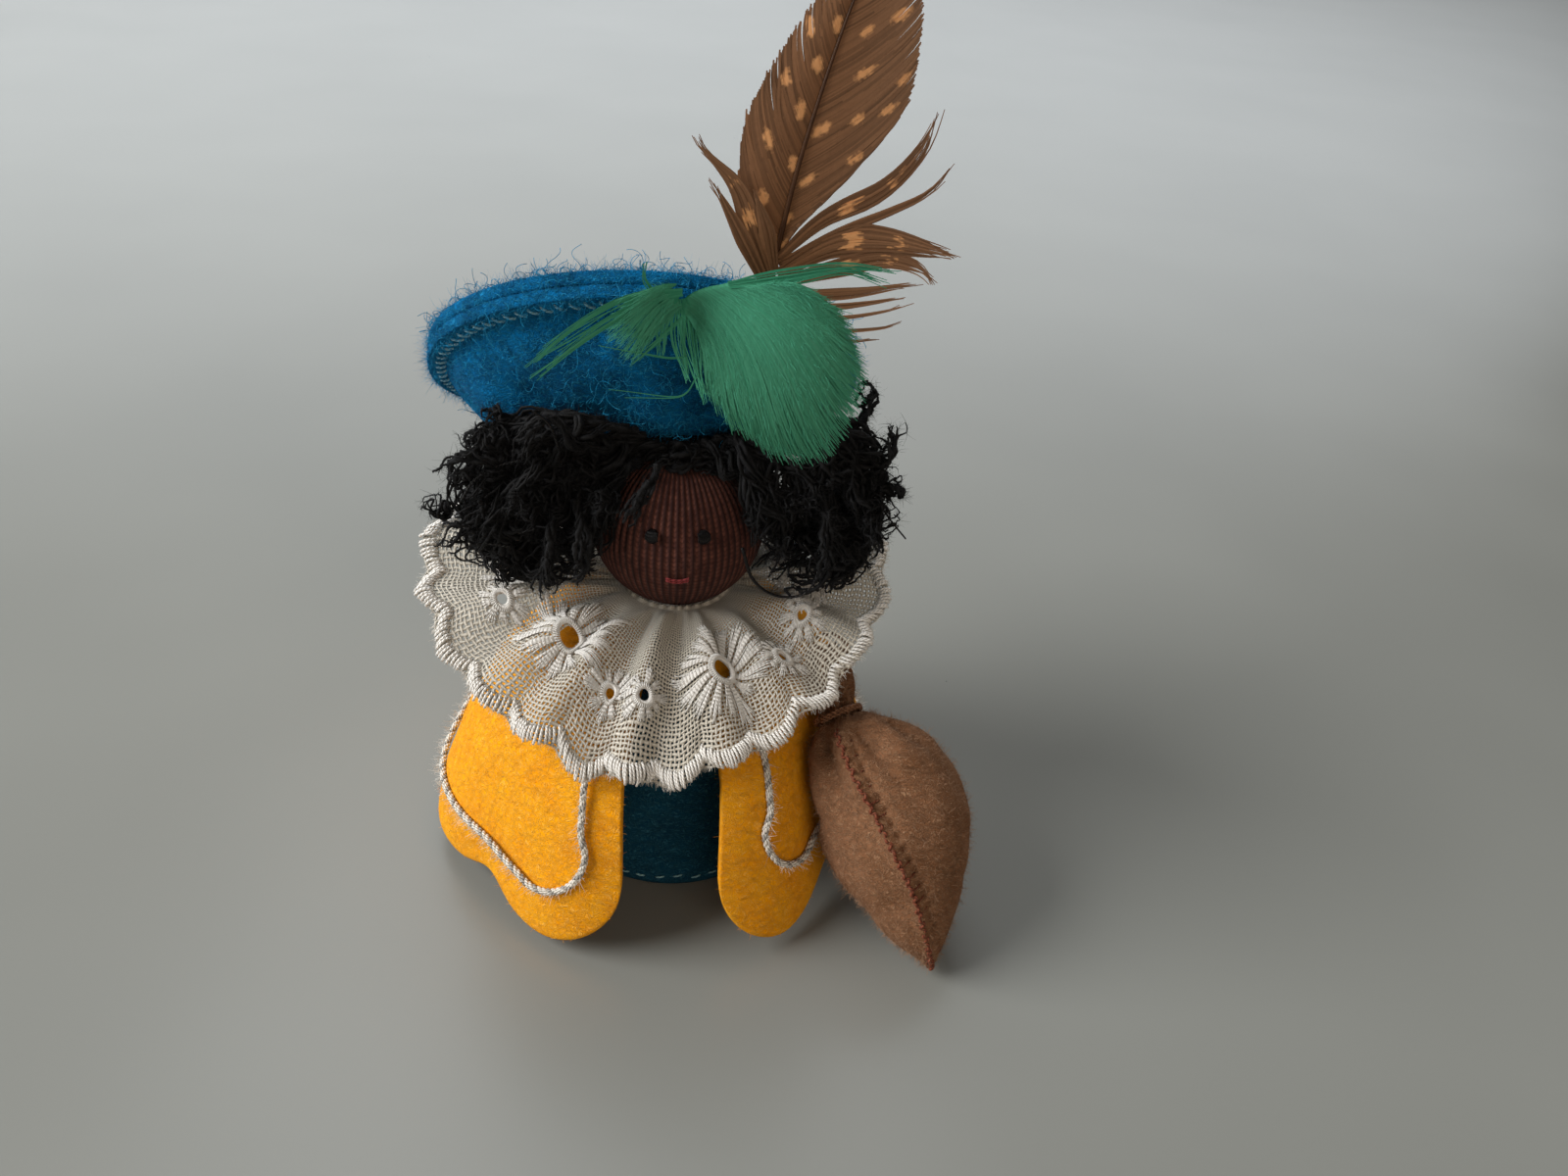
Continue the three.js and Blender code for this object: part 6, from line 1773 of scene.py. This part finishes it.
# %% The green plume's barbs, fluff and wisps
def fan_of_barbs(starts, ends, count, bow, short):
    """Barbs from a line of starts to a line of ends, each bowed a little to one side."""
    share = np.sort(rng.uniform(0, 1, count))
    start, end = (path_at(flat_curve(line, 200)[:, :2], share) for line in (starts, ends))
    end = end + rng.normal(0, 0.32, end.shape)
    length = 1 - short * rng.uniform(0, 1, (count, 1, 1)) ** 2
    f = np.linspace(0, 1, 15)[:, None] * length
    straight = (end - start)[:, None]
    square = np.stack([straight[..., 1], -straight[..., 0]], -1)
    way = start[:, None] + straight * f + square * bow * np.sin(np.pi * f) * (1 - f)
    wave = rng.normal(0, 0.1, (count, 1, 2)) * np.sin(7 * f + rng.uniform(0, 6, (count, 1, 1)))
    return way + wave * f, f[..., 0]


def make_green_plume():
    parts = []
    for starts, ends, count, bow, wide, short in ((PLUME_STARTS, PLUME_ENDS, 520, 0.16, 0.2, 0.35),
                                                  (SIDE_STARTS, SIDE_ENDS, 75, -0.1, 0.12, 0.6)):
        for layer in range(3):
            way, f = fan_of_barbs(starts, ends, count, bow, short if layer else short / 3)
            out = 0.22 * layer + 0.7 * np.sin(np.pi * f) ** 0.8 * (0.6 + 0.25 * layer)
            paths = on_green(way[..., 0], way[..., 1], out + rng.normal(0, 0.05, (count, 1)))
            width = wide * (1 - 0.75 * smooth(2.2 * f - 1.1))
            tone = np.clip(0.35 + 0.3 * f + rng.normal(0, 0.1, (count, 1)), 0, 1)
            streak = np.clip(rng.normal(0.1, 0.15, (count, 1)), 0, 1)
            parts.append((paths, width, tone, 0.0, streak))
    barbs = barb_piece("green_plume", parts, GREEN_FACE, green_barbs, ["green_feather"])
    count = 20000
    barb, step = rng.integers(0, len(barbs), count), rng.integers(1, 14, count)
    along = unit(barbs[barb, step] - barbs[barb, step - 1])
    away = unit(along + 0.28 * rng.normal(size=(count, 3)) + 0.15 * GREEN_FACE)
    fibre_piece("green_fluff", barbs[barb, step], away, rng.uniform(0.3, 1.2, count), 0.03, 0.3,
                green_down)


def make_green_wisps():
    steps = 18
    f = np.linspace(0, 1, steps)
    parts = []
    for line, count, spread in WISPS:
        spine = flat_curve(line, steps)
        normal = unit(np.cross(np.gradient(spine, axis=0), [0, 0, 1.0]))
        for _ in range(count):
            off = spread * rng.uniform(-1, 1) * np.sin(np.pi * np.clip(f, 0.05, 1) ** 0.7) * (1 - 0.5 * f)
            flat = spine + normal * (off + 0.25 * rng.normal() * f**2)[:, None]
            flat = path_at(flat, f * rng.uniform(0.8, 1.0))
            paths = on_green(flat[:, 0], flat[:, 1], 0.5 + 0.3 * rng.uniform())
            tone = np.clip(0.1 + 0.25 * f + 0.1 * rng.normal(), 0, 1)
            parts.append((paths[None], 0.16 * (1 - 0.6 * f), tone, 0.0, 0.05))
    barb_piece("green_wisps", parts, BROWN_FACE, green_barbs)
    places = ((0, 0), (0.6, -1.6), (2.4, -3.2), (5, -4.2))
    spine = curve_through([on_green(across, down, 0.1) for across, down in places], 30)
    thread_piece("green_shaft", [tubes(spine[None], np.linspace(0.36, 0.12, 30)[None], 7)], rust_cotton)


make_green_plume()
make_green_wisps()

# %% [markdown]
# ## Sack
# The sack is a bag of thin tan felt, stuffed, with its neck drawn together and tied. The tie pulls the felt
# into pleats that run out over the shoulders of the bag. It hangs from a ring of thread on the cape, leans on
# the cape, and one corner rests on the table. Rings of points from the mouth to that corner give its shape.

# %% The sack's shape
SACK_FELT, SACK_NECK_RADIUS, PLEATS, PLEAT_DEPTH = 1.1, 2.1, 7, 0.4
SACK_HALF_WIDTH, SACK_HALF_DEPTH, RING_RADIUS = 9.6, 8.8, 2.3
SIDE_TABLE_T = np.linspace(0, 1, 2001)
SIDE_TABLE_Z = cape_side(SIDE_TABLE_T)[1]


def on_cape(azimuth, height, out):
    """A place at a height above the table, some millimetres off the middle of the cape's felt."""
    t = np.interp(-np.asarray(height, float), -SIDE_TABLE_Z, SIDE_TABLE_T)
    edge = cape_edge(t)
    return cape_point((azimuth - edge) / (2 * np.pi - 2 * edge), t, out)


OVER_CAPE = CAPE_FELT / 2 + GAP
SACK_NECK = on_cape(SACK_NECK_AZIMUTH, 21.2, OVER_CAPE + SACK_NECK_RADIUS + PLEAT_DEPTH + 0.7 + GAP)
SACK_TIP = on_cape(SACK_TIP_AZIMUTH, 1.3, 0.0) + polar(SACK_TIP_AZIMUTH, 17.2, 0.0)
SACK_TIP[2] = 1.1
SACK_CORNER = SACK_TIP + np.array([1.5, 9.0, 3.2])
HANG_AZIMUTH = math.radians(79)
RING_MIDDLE = on_cape(HANG_AZIMUTH, 26.4, OVER_CAPE + 0.35 + RING_RADIUS)
FRILL_END = RING_MIDDLE - np.array([0, 0, RING_RADIUS])
BOTTOM_MIDDLE = (SACK_TIP + SACK_CORNER) / 2
BOTTOM_HALF = np.linalg.norm(SACK_TIP - SACK_CORNER) / 2
BRAID_TOP = CAPE_HEM[1] + SIDE_RISE + RIGHT_INSETS[1] + 0.7


def sack_middle(t):
    """The bag's middle line, from its neck (0) to the middle of its bottom edge (1)."""
    belly = np.array([1.3, -0.65, 0]) * math.sin(math.pi * t)
    return SACK_NECK * (1 - t) + BOTTOM_MIDDLE * t + belly


UP_FRILL = unit(FRILL_END - SACK_NECK)
NECK_AXIS = unit(unit(SACK_NECK - sack_middle(0.06)) + UP_FRILL)
TIE_LENGTH = 0.7 + 2 * GAP


def clear_of_cape(points, extra):
    """Moves points out of the cape's bell and off its braid, so that the bag lies flat where it leans."""
    on_braid = 1 - smooth((points[:, 2] - BRAID_TOP) / (2.1 + 2 * GAP))
    room = CAPE_FELT / 2 + 1.5 * GAP + extra + on_braid * (1.4 + GAP)
    azimuth = np.clip(np.arctan2(points[:, 0], -points[:, 1]), math.radians(20), math.radians(150))
    wall = on_cape(azimuth, np.clip(points[:, 2], CAPE_HEM[1], CAPE_TOP[1]), room)
    wall_radius, radius = np.hypot(*wall[:, :2].T), np.hypot(*points[:, :2].T)
    scale = np.where((radius < wall_radius) & (points[:, 2] < CAPE_TOP[1]), wall_radius / radius, 1.0)
    return points * np.stack([scale, scale, np.ones_like(scale)], -1)


def sack_axes(along, t):
    edge = unit(SACK_TIP - SACK_CORNER)
    square = unit(edge - along * edge.dot(along))
    width_way = unit(square * (1 - t * t) + edge * t * t)
    return width_way, unit(np.cross(along, width_way))


def pleated_ring(middle, along, t, width, thickness, wave, inset, angle):
    width_way, thick_way = sack_axes(along, t)
    ring = (middle + width_way * ((width + wave) * np.cos(angle))[:, None]
            + thick_way * ((thickness + wave) * np.sin(angle))[:, None])
    return clear_of_cape(ring, inset)


def sack_ring(t, angle):
    """A ring of points round the bag; folds run down from the pleats and fade out on its shoulders."""
    tangent = unit(sack_middle(min(1, t + 0.02)) - sack_middle(max(0, t - 0.02)))
    share = float(smooth(3 * t))
    along = unit(-NECK_AXIS * (1 - share) + tangent * share)
    belly = math.sin(math.pi * t**0.8) ** 0.75 if 0 < t < 1 else 0.0
    wider = SACK_HALF_WIDTH - (SACK_NECK_RADIUS + BOTTOM_HALF) / 2
    deeper = SACK_HALF_DEPTH - SACK_NECK_RADIUS / 2
    width = SACK_NECK_RADIUS * (1 - t) + BOTTOM_HALF * t + wider * belly
    depth = SACK_NECK_RADIUS * (1 - t) + 0.75 * SACK_FELT * t + deeper * belly
    pleats = PLEAT_DEPTH * max(0, 1 - 9 * t) * np.cos(PLEATS * angle)
    folds = (np.sin(PLEATS / 2 * angle + 0.55 + 0.35 * np.sin(angle)) ** 2 + 0.03) ** 0.35 - 0.9
    deep = 2.1 * float(smooth(9 * t)) * math.exp(-((max(0, t - 0.1) / 0.2) ** 2))
    return pleated_ring(sack_middle(t), along, t, max(0.3, width), max(0.3, depth),
                        pleats + deep * folds, 0.0, angle)


def frill_ring(t, inset, angle):
    """A ring of the pleated mouth above the tie, from the tie (0) to the felt's edge (1)."""
    start = SACK_NECK + NECK_AXIS * TIE_LENGTH
    opened = float(smooth(2 * t))
    along = -unit(NECK_AXIS * (1 - opened) + UP_FRILL * opened)
    width = SACK_NECK_RADIUS + (2.5 - SACK_NECK_RADIUS) * opened - inset
    thickness = SACK_NECK_RADIUS + (1.5 - SACK_NECK_RADIUS) * opened - inset
    wave = (PLEAT_DEPTH + 0.15 * opened) * np.cos(PLEATS * angle)
    return pleated_ring(start * (1 - t) + FRILL_END * t, along, 0, width, thickness, wave, inset, angle)


# %% [markdown]
# The felt is one grid of rings. It starts inside the mouth, goes over the felt's edge and down through the
# neck, and ends at the bottom. The seam is a low ridge, and each stitch pulls a dimple in beside it. A cloth
# simulation could inflate the bag too, but it wouldn't end in the same place beside the cape every time.

# %% The bag of felt with its pleated neck
STITCH_PLACES = np.linspace(0.1, 0.95, 20)


def seam_angle(t):
    """The seam's place round the bag; it crosses the front from the neck to the corner."""
    return np.radians(np.interp(t, [0.0, 0.2, 0.6, 0.85, 1.0], [-34, -28, -26, -20, -15]))


def seam_reach(t):
    """Roughly how far the felt is from the bag's middle line; it turns millimetres into angles."""
    return 9.0 * math.sin(math.pi * min(0.98, max(0.06, t)) ** 0.8) + 1.5


def sewn_ring(t, angle):
    """A ring of the bag with the seam's raised edge and a dimple where each stitch pulls the felt in."""
    ring = sack_ring(t, angle)
    outward = unit(ring - ring.mean(0))
    aside = (angle - seam_angle(t)) * seam_reach(t)
    ridge = 0.75 * np.exp(-np.abs(aside) / 0.8) * float(smooth(8 * t))
    near = np.abs(t - STITCH_PLACES).min() * 33
    dimple = 0.55 * np.exp(-(((aside + 1.25) / 0.4) ** 2) - (near / 0.45) ** 2)
    return ring + outward * (ridge - dimple)[:, None]


def make_sack():
    """Rings from inside the mouth, up over its edge, down through the neck and on to the bottom edge."""
    angle = np.linspace(-np.pi, np.pi, 240, endpoint=False)
    inner = [frill_ring(t, 0.75, angle) for t in np.linspace(0.6, 1.3, 6)]
    mouth = [frill_ring(t, 0.0, angle) for t in np.linspace(1.3, 0.0, 16)]
    bag = [sewn_ring(t, angle) for t in np.linspace(0, 0.985, 110)]
    points = np.stack(inner + mouth + bag)
    outward = unit(points - points.mean(1, keepdims=True))
    fade_in = np.concatenate([np.zeros(len(inner + mouth)), smooth(np.linspace(0, 5, len(bag)))])
    soft = lumps(points, 3.2, 0.2, 5.0) * fade_in[:, None]
    points = points + outward * (soft - np.abs(soft) * 0.5)[..., None]
    points[..., 2] = np.maximum(points[..., 2], 0.1)
    rows, columns = points.shape[:2]
    points = points.transpose(1, 0, 2)
    i = np.arange(columns) * rows
    faces = [grid_faces(columns, rows, wrap=True), np.stack([i + rows - 1, i[::-1]])]
    piece = new_piece("sack_bag", points.reshape(-1, 3), faces, sack_wool, "sack",
                      instead_of=["sack_felt"])


make_sack()

# %% [markdown]
# The front of the bag is closed by hand with a rust-coloured thread: a whip stitch about every millimetre and
# a half over the seam, from the neck down to the corner, where a few longer stitches cross. The tie goes
# round the neck twice, and the ring of thread is sewn to the cape. Both are two strands wound together.

# %% Seam, tie and hanging ring
def on_seam(t, right=0.0, out=0.0):
    """A place on the bag, some millimetres to the right of its seam and out of the felt."""
    angle = seam_angle(t) - right / seam_reach(t)
    ring = sewn_ring(t, angle + np.array([0.0, 0.5, 2.0, 3.5, 5.0]))
    return ring[0] + unit(ring[0] - sack_middle(t)) * out


def make_sack_seam():
    near = np.array([on_seam(t, -0.1, 0.15) for t in STITCH_PLACES])
    far = np.array([on_seam(t + 0.006, 1.25, -0.05) for t in STITCH_PLACES])
    whip = stitches(near, far, 0.06, 0.12, near - np.array([sack_middle(t) for t in STITCH_PLACES]))
    cross_places = (0.9, 0.93, 0.955, 0.97)
    left, right = (np.array([on_seam(t, side, 0.1) for t in cross_places]) for side in (-0.7, 1.5))
    cross = stitches(left, right, 0.3, 0.14, left - np.array([sack_middle(t) for t in cross_places]))
    run = [on_seam(t, 0.18 * (-1) ** k, 0.12) for k, t in enumerate(np.linspace(0.05, 0.965, 56))]
    line = twist_round(curve_through(run, 400), 0.08, 0.9, 0.0)
    thread_piece("sack_seam", [whip, cross, tubes(line[None], 0.2, 6)], rust_cotton, "sack")


def make_sack_tie():
    middle = SACK_NECK + NECK_AXIS * TIE_LENGTH / 2
    side, other = sack_axes(NECK_AXIS, 0)
    steps, reach = 160, SACK_NECK_RADIUS + PLEAT_DEPTH + 0.35
    angle = np.linspace(0, 4 * np.pi, steps)
    coil = (middle + side * (reach * np.cos(angle))[:, None] + other * (reach * np.sin(angle))[:, None]
            + NECK_AXIS * np.linspace(-0.32, 0.32, steps)[:, None])
    thread_piece("sack_tie_thread", two_plies(coil, 0.14, 1.1, 0.16), tan_cotton, "sack",
                 ["sack_tie"])


def make_hanging_ring():
    out = polar(HANG_AZIMUTH, 1.0, 0.0)
    angle = np.linspace(0, 2 * np.pi, 70)
    ring = (RING_MIDDLE + out * (RING_RADIUS * np.cos(angle))[:, None]
            + np.array([0, 0, RING_RADIUS]) * np.sin(angle)[:, None])
    thread_piece("sack_ring_thread", two_plies(ring, 0.14, 1.1, 0.17), tan_cotton,
                 instead_of=["sack_loop"])


make_sack_seam()
make_sack_tie()
make_hanging_ring()

# %% [markdown]
# ## Loose wool on the felts
# Felt that has been handled has a haze of fibres standing off it, most visible along edges. The fibres are
# short on the body and the cape. The beret has the longest, some of them curled, and most along its rims.

# %% Fuzz on the felts
def skin_of(piece):
    """The points and normals of a piece as it is shown, in millimetres."""
    shape = piece.evaluated_get(bpy.context.evaluated_depsgraph_get()).to_mesh()
    points = np.empty(len(shape.vertices) * 3, np.float32)
    normals = np.empty(len(shape.vertices) * 3, np.float32)
    shape.vertices.foreach_get("co", points)
    shape.vertices.foreach_get("normal", normals)
    return points.reshape(-1, 3) / MM, normals.reshape(-1, 3)


def fuzz_on(name, piece, count, length, material, body="figure", width=0.045, where=None):
    """Short curling fibres all over a piece, or where the given test on its points says so."""
    points, normals = skin_of(piece)
    if where:
        chosen = rng.choice(np.flatnonzero(where(points)), count)
    else:
        chosen = rng.integers(0, len(points), count)
    away = unit(normals[chosen] + rng.normal(0, 0.55, (count, 3)))
    fibre_piece(name, points[chosen] - 0.05 * normals[chosen], away, rng.uniform(0.3, 1.0, count) * length,
                width, 0.8, material, body)


def curls_on(name, piece, count, where, material):
    """Longer curly fibres, where the given test on the points says so."""
    points, normals = skin_of(piece)
    chosen = rng.choice(np.flatnonzero(where(points)), count)
    heading = unit(normals[chosen] + rng.normal(0, 0.5, (count, 3)))
    turn = unit(rng.normal(size=(count, 3)))
    step = rng.uniform(0.1, 0.32, (count, 1))
    way = [points[chosen] - 0.1 * normals[chosen]]
    for _ in range(14):
        heading = unit(heading + 0.42 * np.cross(turn, heading) + 0.05 * rng.normal(size=(count, 3)))
        way.append(way[-1] + step * heading)
    thread_piece(name, [tubes(np.stack(way, 1), 0.032, 3)], material)


def on_rim(points):
    """True near the beret's two rims."""
    away = points - HAT_RIM_MIDDLE
    across, up = away[:, 0] / HAT_RADIUS, away @ HAT_FRONT
    return np.hypot(across, up / np.where(up > 0, HAT_RADIUS, HAT_LOW_RADIUS)) > 0.93


bpy.context.view_layer.update()
fuzz_on("fuzz_funnel", funnel, 16000, 0.9, hat_wool)
fuzz_on("fuzz_crown", crown, 16000, 1.3, hat_wool, width=0.035)
for name, piece in (("fuzz_funnel_rim", funnel), ("fuzz_crown_rim", crown)):
    fuzz_on(name, piece, 13000, 1.3, hat_wool, width=0.035, where=on_rim)
fuzz_on("fuzz_cape", cape, 16000, 0.5, cape_wool)
fuzz_on("fuzz_cone", bpy.data.objects["stuffed_cone"], 5000, 0.45, body_felt)
fuzz_on("fuzz_sack", bpy.data.objects["sack_bag"], 16000, 0.8, sack_fluff, "sack")
hat_top = HAT_RIM_MIDDLE[2] + 9
curls_on("curls_crown", crown, 2300, lambda p: p[:, 2] > hat_top - 4, hat_wool)
curls_on("curls_funnel", funnel, 2600, lambda p: p[:, 1] < 6, hat_wool)

# %% [markdown]
# ## What stays hidden
# Four solids of the frame are inside the doll: the card in its base, the wadding in its body and sack, and
# the wooden ball in its head. They keep their plain shapes and get their own finishes.

# %% Finishes for the hidden solids
def hidden_material(name, light, dark, scale, roughness):
    material, tree, shader = new_material(name, roughness)
    grain = noise(tree, millimetres(tree), scale, 3.0)
    colour_and_bump(tree, shader, blend_colours(tree, grain, paint(dark), paint(light)), grain, 0.1)
    return material


wadding = hidden_material("white wadding", "f0ece2", "cfc8ba", 1.2, 1.0)
for node_name, finish in (("body_stuffing", wadding), ("sack_stuffing", wadding),
                          ("base_card", hidden_material("grey card", "b49a72", "8d744f", 0.8, 0.9)),
                          ("head_core", hidden_material("pale wood", "e0c493", "b8935c", 0.5, 0.6))):
    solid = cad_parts[node_name]
    solid.data.materials.clear()
    solid.data.materials.append(finish)
